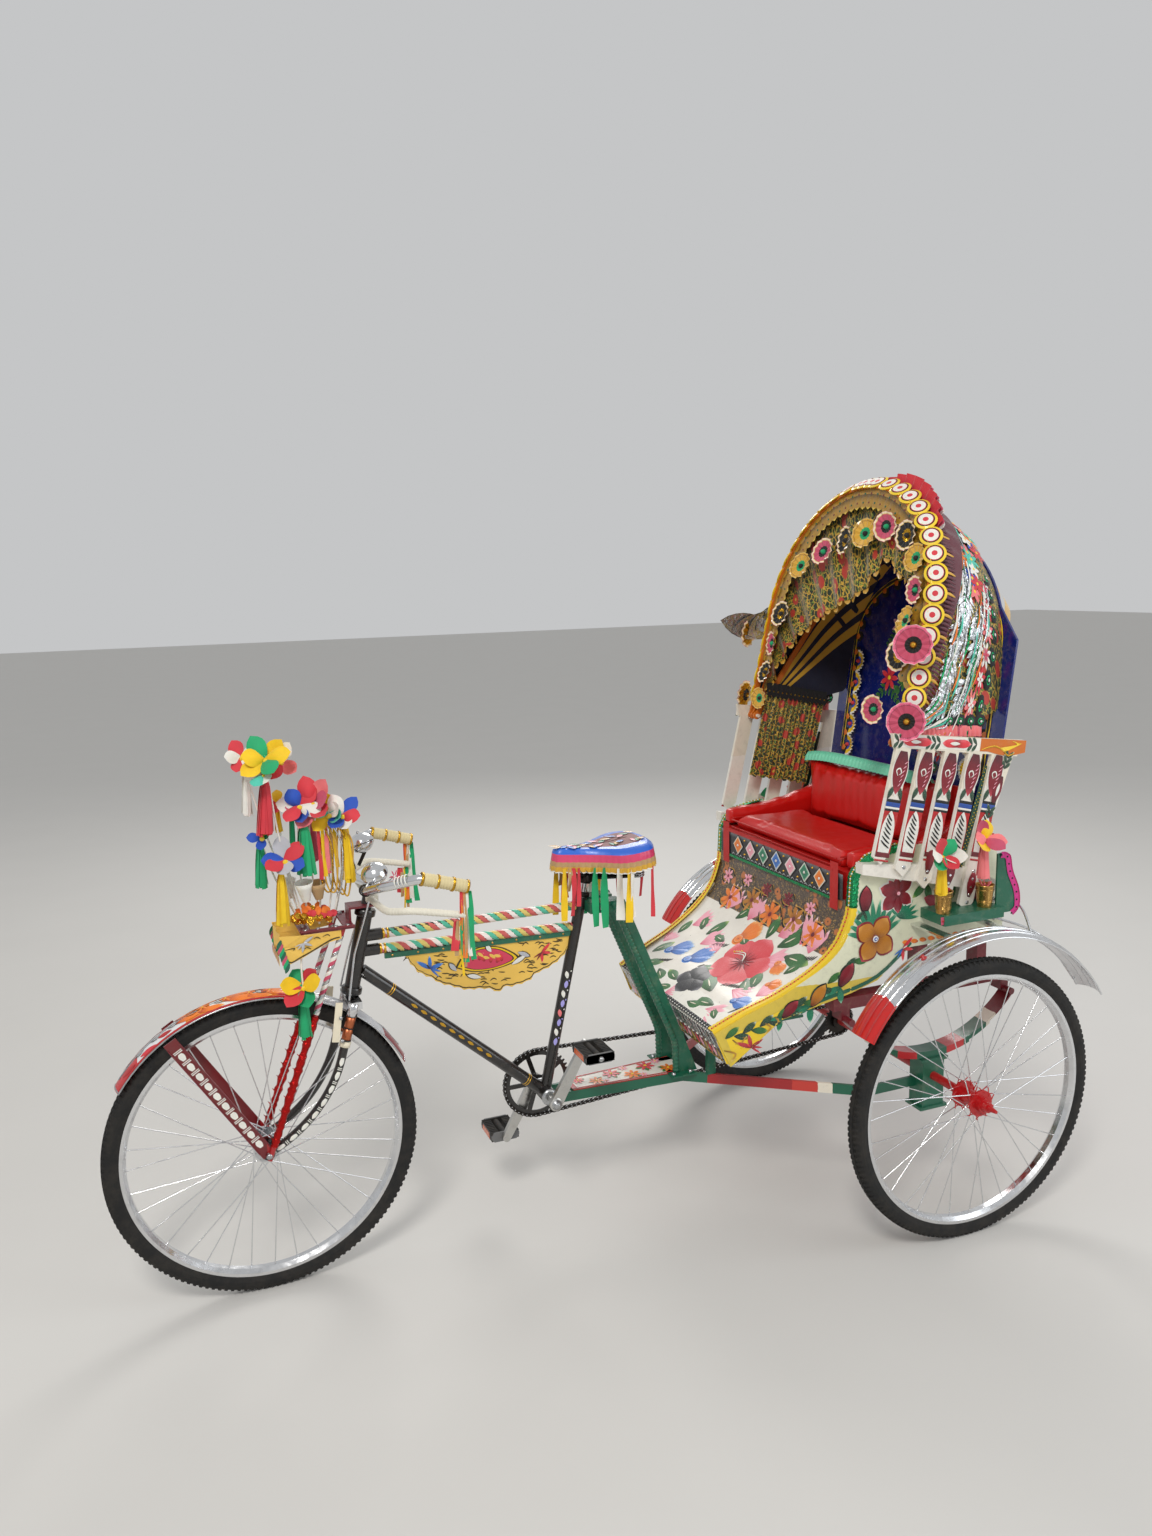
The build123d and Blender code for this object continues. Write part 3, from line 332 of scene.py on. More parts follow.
def woven(name, colour, rough=0.7):
    """Plain woven cloth."""
    g = Graph(name)
    where = g.where.outputs["Object"]
    tone = g.mix(g.noise(16, 5, 0.6), shade(colour, 0.75), shade(colour, 1.15))
    g.set(Base_Color=tone, Roughness=rough, Sheen_Weight=0.25)
    warp = g.add("TexWave", {"Vector": where, "Scale": 250.0, "Distortion": 0.4}, bands_direction="X")
    weft = g.add("TexWave", {"Vector": where, "Scale": 250.0, "Distortion": 0.4}, bands_direction="Z")
    under = g.bump(g.noise(28, 4, 0.55), 0.3, 0.005)
    g.bump(g.math("MAXIMUM", warp.outputs["Fac"], weft.outputs["Fac"]), 0.25, 0.0005, under)
    return keep(name, g)


def floor_finish(name, colour):
    """A plain pale studio floor."""
    g = Graph(name)
    g.set(Base_Color=g.mix(g.noise(3, 5), shade(colour, 0.96), colour), Roughness=0.8)
    g.bump(g.noise(90, 4), 0.05, 0.002)
    return keep(name, g)


def by_height(name, stops, axis=2, rough=0.3):
    """Gloss paint whose colour changes in bands along one axis of the frame, in metres."""
    g = Graph(name)
    parts = g.add("SeparateXYZ", {"Vector": g.where.outputs["Object"]})
    low, high = stops[0][0], stops[-1][0]
    wobble = g.math("MULTIPLY", g.math("SUBTRACT", g.noise(60, 2), 0.5), 0.004)
    value = g.math("DIVIDE", g.math("SUBTRACT", g.math("ADD", parts.outputs[axis], wobble), low),
                   high - low)
    tone = g.ramp(value, [((place - low) / (high - low), colour) for place, colour in stops], "CONSTANT")
    worn = g.ramp(g.noise(70, 6, 0.7), [(0.62, 0.0), (0.72, 0.5)])
    g.set(Base_Color=g.mix(worn, tone, g.mix(0.5, tone, rgb("2a2422"))), Coat_Weight=0.4,
          Coat_Roughness=0.12)
    g.set(Roughness=g.ramp(g.noise(50, 3), [(0.3, rough), (0.8, rough + 0.2)]))
    g.bump(g.noise(300, 3), 0.08)
    return keep(name, g)


# Shapes
class Shape:
    """Collects faces with their finishes and UVs, and makes one piece of them."""

    def __init__(self, name):
        self.name = name
        self.points = []
        self.faces = []
        self.uvs = []
        self.marks = []
        self.soft = []
        self.names = []

    def mark(self, name):
        """The slot number of a finish."""
        if name not in self.names:
            self.names.append(name)
        return self.names.index(name)

    def grid(self, rows, name, closed=False, size=(1, 1), smooth=True, flip=False, loop=False):
        """Quads between rows of points; UV runs along the rows' order and across each row."""
        first = len(self.points)
        width = len(rows[0])
        for row in rows:
            self.points.extend(row)
        slot = self.mark(name)
        span = width if closed else width - 1
        count = len(rows) if loop else len(rows) - 1
        for i in range(count):
            for j in range(span):
                a = first + i * width + j
                b = first + i * width + (j + 1) % width
                c = first + ((i + 1) % len(rows)) * width + (j + 1) % width
                d = first + ((i + 1) % len(rows)) * width + j
                u0, u1 = i / count * size[0], (i + 1) / count * size[0]
                v0, v1 = j / span * size[1], (j + 1) / span * size[1]
                ids, uv = (a, b, c, d), ((u0, v0), (u0, v1), (u1, v1), (u1, v0))
                self.faces.append(ids[::-1] if flip else ids)
                self.uvs.append(uv[::-1] if flip else uv)
                self.marks.append(slot)
                self.soft.append(smooth)

    def fan(self, ring, centre, name, smooth=False, flip=False):
        """Triangles from a centre to a closed ring; UV runs outwards."""
        first = len(self.points)
        self.points.append(centre)
        self.points.extend(ring)
        slot = self.mark(name)
        count = len(ring)
        for i in range(count):
            ids = (first, first + 1 + i, first + 1 + (i + 1) % count)
            uv = ((0, 0.5), (1, i / count), (1, (i + 1) / count))
            self.faces.append(ids[::-1] if flip else ids)
            self.uvs.append(uv[::-1] if flip else uv)
            self.marks.append(slot)
            self.soft.append(smooth)

    def tube(self, path, radius, name, sides=8):
        """A round rod along a path; the radius is a number or a function of the share along it."""
        frames = along(path)
        rows = []
        for index, (point, side, up) in enumerate(frames):
            r = radius(index / (len(frames) - 1)) if callable(radius) else radius
            rows.append([
                point + side * math.cos(math.tau * k / sides) * r + up * math.sin(math.tau * k / sides) * r
                for k in range(sides)
            ])
        self.grid(rows, name, closed=True)
        self.fan(rows[0], frames[0][0], name)
        self.fan(rows[-1], frames[-1][0], name, flip=True)

    def lathe(self, profile, origin, axis, name, sides=20):
        """A profile of radius and height pairs, in millimetres, turned about an axis."""
        axis = Vector(axis).normalized()
        side = axis.orthogonal().normalized()
        other = axis.cross(side)
        spokes = [side * math.cos(math.tau * k / sides) + other * math.sin(math.tau * k / sides)
                  for k in range(sides)]
        rows = [[origin + axis * height / 1000 + spoke * radius / 1000 for spoke in spokes] for radius,
                height in profile]
        self.grid(rows, name, closed=True)

    def plate(self, outline, place, depth, name, edge=None):
        """A flat plate: an outline of pairs, a function from pair and height to a point, a thickness."""
        top = [place(a, b, depth) for a, b in outline]
        low = [place(a, b, 0) for a, b in outline]
        count = len(outline)
        first = len(self.points)
        self.points.extend(top)
        self.points.extend(low)
        slot = self.mark(name)
        side = self.mark(edge or name)
        flat = [(a / 100, b / 100) for a, b in outline]
        self.faces.append(tuple(range(first, first + count)))
        self.uvs.append(tuple(flat))
        self.marks.append(slot)
        self.soft.append(False)
        self.faces.append(tuple(range(first + 2 * count - 1, first + count - 1, -1)))
        self.uvs.append(tuple(reversed(flat)))
        self.marks.append(side)
        self.soft.append(False)
        for i in range(count):
            j = (i + 1) % count
            self.faces.append((first + i, first + count + i, first + count + j, first + j))
            self.uvs.append((flat[i], flat[i], flat[j], flat[j]))
            self.marks.append(side)
            self.soft.append(False)

    def ribbon(self, path, across, name):
        """A strip along a path; across gives the half width vector at each share along it."""
        rows = []
        for index, point in enumerate(path):
            half = across(index / (len(path) - 1))
            rows.append([point - half, point, point + half])
        self.grid(rows, name)

    def make(self, body):
        """The finished object, riding on a body."""
        mesh = bpy.data.meshes.new(self.name)
        mesh.from_pydata([tuple(point) for point in self.points], [], self.faces)
        layer = mesh.uv_layers.new(name="UVMap")
        flat = [value for face in self.uvs for pair in face for value in pair]
        layer.data.foreach_set("uv", flat)
        mesh.polygons.foreach_set("material_index", self.marks)
        mesh.polygons.foreach_set("use_smooth", self.soft)
        for name in self.names:
            mesh.materials.append(finish(name))
        mesh.validate()
        mesh.update()
        piece = bpy.data.objects.new(self.name, mesh)
        bpy.context.scene.collection.objects.link(piece)
        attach(piece, body)
        return piece


def along(path):
    """Points with two directions across the path that turn as little as they can."""
    frames = []
    side = None
    for index, point in enumerate(path):
        ahead = path[min(index + 1, len(path) - 1)] - path[max(index - 1, 0)]
        ahead = ahead.normalized()
        if side is None:
            side = ahead.orthogonal()
        side = (side - ahead * side.dot(ahead)).normalized()
        frames.append((point, side, ahead.cross(side).normalized()))
    return frames


def smooth_path(points, steps=6):
    """A smooth line through the points."""
    found = []
    for i in range(len(points) - 1):
        a = points[max(i - 1, 0)]
        b, c = points[i], points[i + 1]
        d = points[min(i + 2, len(points) - 1)]
        for k in range(steps):
            t = k / steps
            found.append(
                0.5 * ((2 * b) + (c - a) * t + (2 * a - 5 * b + 4 * c - d) * t * t
                       + (3 * b - a - 3 * c + d) * t ** 3)
            )
    found.append(points[-1].copy())
    return found


def smooth_pairs(points, steps):
    """A smooth line through pairs, as pairs."""
    return [(p.x, p.y) for p in smooth_path([Vector((*pair, 0)) for pair in points], steps)]


def run_lengths(points):
    """The length of a line up to each of its points."""
    lengths = [0.0]
    for a, b in zip(points, points[1:]):
        lengths.append(lengths[-1] + (b - a).length)
    return lengths


def place_along(points, lengths, reach):
    """The place at a length along a line, and the line's direction there."""
    reach = min(max(reach, 0.0), lengths[-1] - 0.01)
    k = next(i for i in range(len(lengths) - 1) if lengths[i + 1] >= reach)
    share = (reach - lengths[k]) / (lengths[k + 1] - lengths[k])
    return points[k].lerp(points[k + 1], share), (points[k + 1] - points[k]).normalized()


def resample(points, count):
    """The same line with points at even distances."""
    lengths = run_lengths(points)
    found = []
    index = 0
    for k in range(count):
        want = lengths[-1] * k / (count - 1)
        while index < len(points) - 2 and lengths[index + 1] < want:
            index += 1
        span = lengths[index + 1] - lengths[index]
        share = (want - lengths[index]) / span if span else 0
        found.append(points[index].lerp(points[index + 1], share))
    return found


class Skin:
    """A surface to paint on: two lengths in millimetres give a point in metres, and a lift moves it out."""

    def __init__(self, point, out=1):
        self.point = point
        self.out = out

    def __call__(self, a, b, lift=0.0):
        here = self.point(a, b)
        across = self.point(a + 1, b) - self.point(a - 1, b)
        upward = self.point(a, b + 1) - self.point(a, b - 1)
        normal = across.cross(upward).normalized() * self.out
        return here + normal * lift / 1000


# Painted and cut motifs, drawn on a skin
def turned(points, angle, origin):
    """Pairs turned by an angle and moved."""
    c, s = math.cos(angle), math.sin(angle)
    return [(origin[0] + x * c - y * s, origin[1] + x * s + y * c) for x, y in points]


def petal(shape, skin, origin, angle, length, width, name, lift=0.6, point=0.5, rows=6, root=0.25,
          dome=0.5):
    """A petal or leaf from its root outwards; point is where it is widest, root its share of that width."""
    grid = []
    for i in range(rows + 1):
        t = i / rows
        if t < point:
            half = root + (1 - root) * math.sin(math.pi / 2 * t / point)
        else:
            half = math.cos(math.pi / 2 * (t - point) / (1 - point)) ** 0.75 if t < 1 else 0.0
        half *= width / 2
        line = []
        for k in (-1, -0.5, 0, 0.5, 1):
            x, y = turned([(t * length, k * half)], angle, origin)[0]
            line.append(skin(x, y, lift + dome * (1 - k * k) * math.sin(math.pi * min(1, t + 0.1))))
        grid.append(line)
    shape.grid(grid, name)


def dot(shape, skin, origin, radius, name, lift=0.8, dome=0.6, sides=12):
    """A domed round spot."""
    inner = []
    outer = []
    for k in range(sides):
        x = math.cos(math.tau * k / sides) * radius
        y = math.sin(math.tau * k / sides) * radius
        outer.append(skin(origin[0] + x, origin[1] + y, lift * 0.3))
        inner.append(skin(origin[0] + x * 0.6, origin[1] + y * 0.6, lift + dome * 0.7))
    shape.grid([inner, outer], name, closed=True)
    shape.fan(inner, skin(*origin, lift + dome), name, smooth=True)


def flower(shape, skin, origin, radius, petals, name, eye=None, lift=0.6, width=1.15, point=0.62):
    """Petals about an eye."""
    for k in range(petals):
        angle = math.tau * k / petals
        petal(
            shape, skin, origin, angle, radius, radius * width * 2.2 / max(petals, 3), name,
            lift + 0.25 * (k % 2), point, rows=5, root=0.3,
        )
    if eye:
        dot(shape, skin, origin, radius * 0.2, eye, lift + 1.0)


def stroke(shape, skin, points, width, name, lift=0.7, taper=True, dome=0.3):
    """A brush line through pairs on the skin."""
    flat = smooth_path([Vector((a, b, 0)) for a, b in points], 4)
    rows = []
    for i, p in enumerate(flat):
        ahead = (flat[min(i + 1, len(flat) - 1)] - flat[max(i - 1, 0)]).normalized()
        t = i / (len(flat) - 1)
        half = width / 2 * (math.sin(math.pi * (0.12 + 0.8 * t)) if taper else 1)
        rows.append([
            skin(p.x - ahead.y * half * k, p.y + ahead.x * half * k, lift + dome * (1 - abs(k)))
            for k in (-1, 0, 1)
        ])
    shape.grid(rows, name)


def spray(shape, skin, origin, angle, length, name, leaves=5, size=0.42, width=0.16, vein=None, lift=0.5):
    """A feathery spray: narrow leaves along a stalk."""
    end = turned([(length, 0)], angle, origin)[0]
    stroke(shape, skin, [origin, end], length * 0.05, vein or name, lift)
    for k in range(leaves):
        t = 0.2 + 0.8 * k / max(1, leaves - 1)
        base = (origin[0] + (end[0] - origin[0]) * t, origin[1] + (end[1] - origin[1]) * t)
        for side in (-1, 1):
            petal(
                shape, skin, base, angle + side * (0.95 - 0.45 * t), length * size * (1.15 - 0.6 * t),
                length * width, name, lift, 0.45, rows=4, root=0.2,
            )


def blot(shape, skin, outline, name, lift=0.4, rings=3):
    """A filled outline, laid on the skin in rings so that it follows a curve."""
    centre = (sum(a for a, b in outline) / len(outline), sum(b for a, b in outline) / len(outline))
    rows = []
    for ring in range(rings + 1):
        share = max(0.02, ring / rings)
        rows.append([
            skin(centre[0] + (a - centre[0]) * share, centre[1] + (b - centre[1]) * share, lift) for a,
            b in outline
        ])
    shape.grid(rows, name, closed=True)


def beads(shape, skin, points, pitch, radius, names, lift=0.2):
    """Small studs in a row along a line of pairs."""
    length = sum(math.dist(a, b) for a, b in zip(points, points[1:]))
    count = max(2, int(length / pitch))
    flat = resample([Vector((a, b, 0)) for a, b in points], count)
    for k, p in enumerate(flat):
        dot(shape, skin, (p.x, p.y), radius, names[k % len(names)], lift, radius * 0.7, 6)


def band(shape, skin, points, width, name, lift=0.6, edge=0.0, steps=0):
    """A trim of even width along a line of pairs; its edge can be scalloped by a share of the width."""
    line = [Vector((a, b, 0)) for a, b in points]
    if steps:
        line = resample(line, steps)
    rows = []
    for i, p in enumerate(line):
        ahead = (line[min(i + 1, len(line) - 1)] - line[max(i - 1, 0)]).normalized()
        half = width / 2 * (1 + edge * (1 if i % 2 else -1))
        rows.append([
            skin(p.x - ahead.y * half * k, p.y + ahead.x * half * k, lift + 0.8 * (1 - k * k))
            for k in (-1, -0.4, 0.4, 1)
        ])
    shape.grid(rows, name, size=(len(rows) * 0.5, 1))


# User settings
class RickshawSizes(bpy.types.PropertyGroup):
    """Sizes of the dressing that a user may change."""

    tread_depth: FloatProperty(
        name="Tread depth", description="Height of the tyre's blocks", default=0.0032, min=0.001, max=0.006,
        unit="LENGTH",
    )
    tassel_strips: IntProperty(
        name="Tassel strips", description="Strips cut in each paper tassel", default=22, min=6, max=40,
    )
    pad_swell: FloatProperty(
        name="Pad swell", description="How far the seat's padding swells", default=0.014, min=0.0, max=0.03,
        unit="LENGTH",
    )


def colour_setting(label, description, code):
    """A colour that a user may change."""
    return FloatVectorProperty(
        name=label, description=description, default=rgb(code), subtype="COLOR", size=3, min=0.0, max=1.0
    )


class RickshawColours(bpy.types.PropertyGroup):
    """Main colours that a user may change."""

    frame_black: colour_setting("Frame", "Enamel of the bicycle frame and fork", "15110f")
    green: colour_setting("Green", "Paint of the stays, axle blocks and shelves", "0e6046")
    red: colour_setting("Red", "Paint of the rails and mudguard tips", "b3161a")
    seat_red: colour_setting("Seat", "Cover of the seat and its back", "d01510")
    board_blue: colour_setting("Back board", "Paint of the board behind the seat", "0b1e6e")
    cloth_navy: colour_setting("Hood lining", "Cloth inside the hood", "10142f")


def make_finishes(colours):
    """Makes every material once."""
    black, green, red = tuple(colours.frame_black), tuple(colours.green), tuple(colours.red)
    white, cream, maroon = rgb("ece7dc"), rgb("e9dfc6"), rgb("6f1320")
    enamel("black", black, 0.22, 0.02, 0.6, dirt=0.08)
    enamel("green", green, 0.34, 0.05)
    enamel("dark_green", shade(green, 0.45), 0.4, 0.04)
    enamel("red", red, 0.3, 0.05)
    enamel("maroon", maroon, 0.32, 0.05)
    enamel("white", white, 0.36, 0.03)
    enamel("cream", cream, 0.36, 0.03)
    enamel("blue", rgb("16489c"), 0.3, 0.03)
    enamel("yellow", rgb("f1cd24"), 0.35, 0.02)
    enamel("orange", rgb("cf6c14"), 0.4, 0.04)
    enamel("board_blue", tuple(colours.board_blue), 0.12, 0.0, 0.7)
    metal("chrome", rgb("dfe0e2"), 0.08, 0.22)
    metal("steel", rgb("b9bbbd"), 0.22, 0.35)
    metal("alloy", rgb("c9c8c4"), 0.26, 0.2)
    metal("dark_steel", rgb("3b3836"), 0.38, 0.4)
    metal("brass", rgb("c79c58"), 0.22, 0.35)
    metal("copper", rgb("c2714d"), 0.28, 0.25)
    metal("gold", rgb("d9a93e"), 0.26, 0.15)
    rubber("tyre", rgb("111111"), 0.10)
    rubber("rubber", rgb("171717"), 0.2)
    rubber("grey_rubber", rgb("6a6b6c"), 0.2)
    sheeting("seat_red", tuple(colours.seat_red), 0.30, 1300, 0.10, 0.0, 0.25)
    sheeting("trim_red", rgb("bf1713"), 0.36, 1300, 0.12)
    sheeting("aqua", rgb("74d3ae"), 0.35, 1200, 0.2, 0.3)
    sheeting("gold_cloth", rgb("d7a531"), 0.35, 900, 0.3, 0.3)
    sheeting("cord_white", rgb("e4dfcf"), 0.6, 1600, 0.5)
    sheeting("cord_cream", rgb("d9c99a"), 0.55, 1600, 0.4)
    foil("silver_foil", rgb("d4d6d9"), 0.18, 70)
    foil("red_foil", rgb("c4211f"), 0.25, 90)
    foil("gold_foil", rgb("d9a733"), 0.2, 80)
    foil("green_foil", rgb("2fa86a"), 0.22, 90)
    for name, code in {
        "paper_white": "ece9e0", "paper_red": "d43440", "paper_green": "10a468", "paper_yellow": "f3c711",
        "paper_pink": "f27d80", "paper_blue": "1b4fb8", "paper_teal": "4fc4ac", "paper_rose": "c8506c",
        "paper_orange": "ef7d2a", "paper_black": "141414", "paper_tan": "b99668", "paper_magenta": "d22f86",
    }.items():
        paper(name, rgb(code))
    brushed("hibiscus", rgb("8e0f1c"), rgb("d9303c"), rgb("f48a92"))
    brushed("bluebell", rgb("0e2f7c"), rgb("2f6fc4"), rgb("a9cdf0"))
    brushed("marigold", rgb("a8380c"), rgb("ee7c1e"), rgb("fbc57c"))
    brushed("amber", rgb("6d2d12"), rgb("b9761f"), rgb("dba34a"))
    brushed("blush", rgb("d8607c"), rgb("f2a6b6"), rgb("fbe6e6"))
    brushed("night", rgb("101012"), rgb("1d1c20"), rgb("8a8a90"))
    brushed("tulip", rgb("4a0c18"), rgb("7b1524"), rgb("c0404e"))
    brushed("foliage", rgb("1c3a1c"), rgb("2c6a33"), rgb("a9c46a"))
    brushed("dark_leaf", rgb("0c1c12"), rgb("14402a"), rgb("d8e0c8"))
    brushed("jade", rgb("0c4a38"), rgb("167a58"), rgb("9fdcb8"))
    brushed("gilt", rgb("5c3b10"), rgb("c08f2e"), rgb("f2d98c"), 0.34)
    brushed("scale", rgb("4a3416"), rgb("a87e2c"), rgb("f0cf4c"), 0.3)
    brushed("fan_cream", rgb("d9b04a"), rgb("efe2c0"), rgb("e05a78"), 0.3, 0.5, 0.4)
    brushed("fan_gold", rgb("7a4a14"), rgb("d8a63c"), rgb("f4e3a4"), 0.28, 0.5, 0.5)
    brushed("fan_pink", rgb("7c1430"), rgb("e8688c"), rgb("fbe2dc"), 0.3, 0.5, 0.5)
    brushed("swallow", rgb("7e1620"), rgb("b8353c"), rgb("e07a70"))
    brocade("brocade", rgb("1c2a10"), rgb("7f8f2c"), rgb("c79c32"), rgb("b2301c"))
    brocade("kick_print", rgb("57452f"), rgb("a5823a"), rgb("2b1d13"), rgb("bd6c2a"), 0.0)
    for name, code in {
        "tape_green": "4fb595", "tape_white": "efe3dd", "tape_red": "c95a55", "tape_gold": "d9c169",
        "saddle_pink": "d9446e",
        "saddle_blue": "2c66cf",
    }.items():
        sheeting(name, rgb(code), 0.28, 1500, 0.2, 0.0, 0.3)
    sheeting("banner_yellow", rgb("eec25a"), 0.5, 700, 0.08)
    sheeting("banner_pink", rgb("d3405c"), 0.45, 700, 0.08)
    sheeting("reflector", rgb("e2600c"), 0.1, 260, 0.5, 0.0, 0.9)
    enamel("umber", rgb("3a3014"), 0.5, 0.0, 0.1)
    enamel("lilac", rgb("a9a2e6"), 0.35, 0.02)
    paper("paper_grey", rgb("b9bac0"))
    brushed("flame", rgb("a8260e"), rgb("ec7a1a"), rgb("f6c06a"))
    woven("navy", tuple(colours.cloth_navy))
    woven("plum", rgb("5c1428"), 0.45)
    woven("multi_cloth", rgb("8a5a58"))
    floor_finish("floor", rgb("cfcdc9"))


# The finish of each node that stays
NODE_FINISHES = {
    "main_frame": "black", "seat_post": "chrome", "seat_stays": "green", "axle_box_left": "green",
    "axle_box_right": "green", "bearer_left": "maroon", "bearer_right": "maroon", "foot_posts": "green",
    "bow_rear": "orange", "bow_mid": "orange", "bow_front": "orange", "back_panel": "board_blue",
    "shelves": "green", "flower_cups": "brass", "fork": "black", "handlebar": "chrome",
    "brake_bars": "cord_white", "carrier": "maroon", "sprocket": "dark_steel", "cranks": "alloy",
    "chainring": "black", "pedal_left": "rubber", "pedal_right": "rubber", "axle_shaft": "red",
    "footboard": "tray_white", "side_panel_left": "panel_paint", "side_panel_right": "panel_paint",
    "apron": "silver_foil", "seat_box": "trim_red", "side_slats_left": "slat_white",
    "side_slats_right": "slat_white", "rail_left": "rail_paint", "rail_right": "rail_paint",
    "spring_left": "spring_paint", "spring_right": "spring_paint", "mudguard_rear_left": "guard_chrome",
    "mudguard_rear_right": "guard_chrome", "mudguard_front": "front_guard_paint",
    "guard_struts": "strut_paint",
    "wheel_front": "wheel_bright", "wheel_rear_left": "wheel_red_hub", "wheel_rear_right": "wheel_red_hub",
}


def split_finish(name, mask, low, high, rough=0.3, metallic=(0, 0), coat=0.4):
    """Two paints or platings on one node, parted by a mask worked out from the place on the frame."""
    g = Graph(name)
    parts = g.add("SeparateXYZ", {"Vector": g.where.outputs["Object"]})
    wobble = g.math("MULTIPLY", g.math("SUBTRACT", g.noise(45, 2), 0.5), 0.006)
    share = mask(g, parts.outputs, wobble)
    worn = g.ramp(g.noise(50, 6, 0.7), [(0.50, 0.0), (0.78, 0.35)])
    tone = g.mix(share, low, high)
    g.set(Base_Color=g.mix(worn, tone, g.mix(0.6, tone, rgb("4c4038"))), Coat_Weight=coat,
          Coat_Roughness=0.12)
    g.set(Roughness=g.ramp(g.noise(60, 4), [(0.3, rough), (0.8, min(1, rough + 0.2))]))
    if metallic != (0, 0):
        g.set(Metallic=g.ramp(share, [(0.0, float(metallic[0])), (1.0, float(metallic[1]))]))
    g.bump(g.noise(320, 3), 0.07)
    return keep(name, g)


def above(axis, place):
    """A mask that is 1 beyond a place along an axis of the frame."""
    def mask(g, parts, wobble):
        return g.math("GREATER_THAN", g.math("ADD", parts[axis], wobble), place)
    return mask


def near_axle(centre, radius):
    """A mask that is 1 within a radius of a wheel's axle, with a clean edge."""
    def mask(g, parts, _wobble):
        dx = g.math("SUBTRACT", parts[0], centre.x)
        dz = g.math("SUBTRACT", parts[2], centre.z)
        squares = g.math("ADD", g.math("MULTIPLY", dx, dx), g.math("MULTIPLY", dz, dz))
        return g.math("LESS_THAN", squares, radius * radius)
    return mask


def make_node_finishes():
    """The finishes that depend on a place on the frame."""
    hub = at(0, 0, TYRE_R)
    front_hub = at(WHEELBASE, 0, TYRE_R)
    bright, steel = rgb("dcdddf"), rgb("c3c5c8")
    split_finish("wheel_bright", near_axle(front_hub, 0.03), bright, steel, 0.12, (1, 1), 0.0)
    split_finish("wheel_red_hub", near_axle(hub, 0.043), bright, rgb("b5171b"), 0.14, (1, 0), 0.1)
    tip = at(268, 0, 0).x
    split_finish("guard_chrome", above(0, tip), rgb("e2e3e5"), rgb("c81c19"), 0.09, (1, 0), 0.2)
    green, red = rgb("0e6046"), rgb("a3161b")
    x = at(0, 0, 0).x
    by_height("rail_paint", [(x - 0.3, green), (x + 0.245, rgb("e8e0cf")), (x + 0.275, rgb("c8362a")),
                             (x + 0.33, red), (x + 0.505, green), (x + 1.2, green)], 0)
    by_height("spring_paint", [(x - 0.3, rgb("6e1520")), (x - 0.20, rgb("e6dccb")), (x - 0.17, green),
                               (x - 0.10, rgb("c4262a")), (x - 0.045, green), (x + 0.05, rgb("c4262a")),
                               (x + 0.11, green), (x + 0.17, rgb("e6dccb")), (x + 0.20, rgb("6e1520")),
                               (x + 0.4, rgb("6e1520"))], 0)
    by_height("front_guard_paint", [(x + 1.2, rgb("7c161c")), (x + 1.335, rgb("b9bbbf")),
                                    (x + 1.52, rgb("e07a1e")),
                                    (x + 1.60, rgb("e9e6e0")), (x + 1.72, rgb("dd7f2a")),
                                    (x + 1.775, rgb("dfe0e2")),
                                    (x + 1.88, rgb("c21d22")), (x + 2.0, rgb("c21d22"))], 0, 0.2)
    split_finish("strut_paint", above(0, at(WHEELBASE + 4, 0, 0).x), rgb("a51b1e"), rgb("6d1218"), 0.3)
    split_finish("tray_white", above(2, at(0, 0, 735).z), rgb("efece2"), rgb("7a5a34"), 0.3)
    split_finish("panel_paint", above(2, at(0, 0, 640).z), rgb("d8bd45"), rgb("dfe0c4"), 0.34)
    split_finish("slat_white", above(2, at(0, 0, 1100).z), rgb("e8e3d8"), rgb("e2dac8"), 0.34)


def dress_nodes():
    """Gives every kept node its finish."""
    for node, name in NODE_FINISHES.items():
        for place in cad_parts[node].material_slots:
            place.material = finish(name)


class RickshawFinishes(bpy.types.Operator):
    """Makes the materials and dresses the CAD nodes that stay."""

    bl_idname = "rickshaw.finishes"
    bl_label = "Finishes"

    def execute(self, context):
        make_finishes(context.scene.rickshaw_colours)
        make_node_finishes()
        dress_nodes()
        return {"FINISHED"}


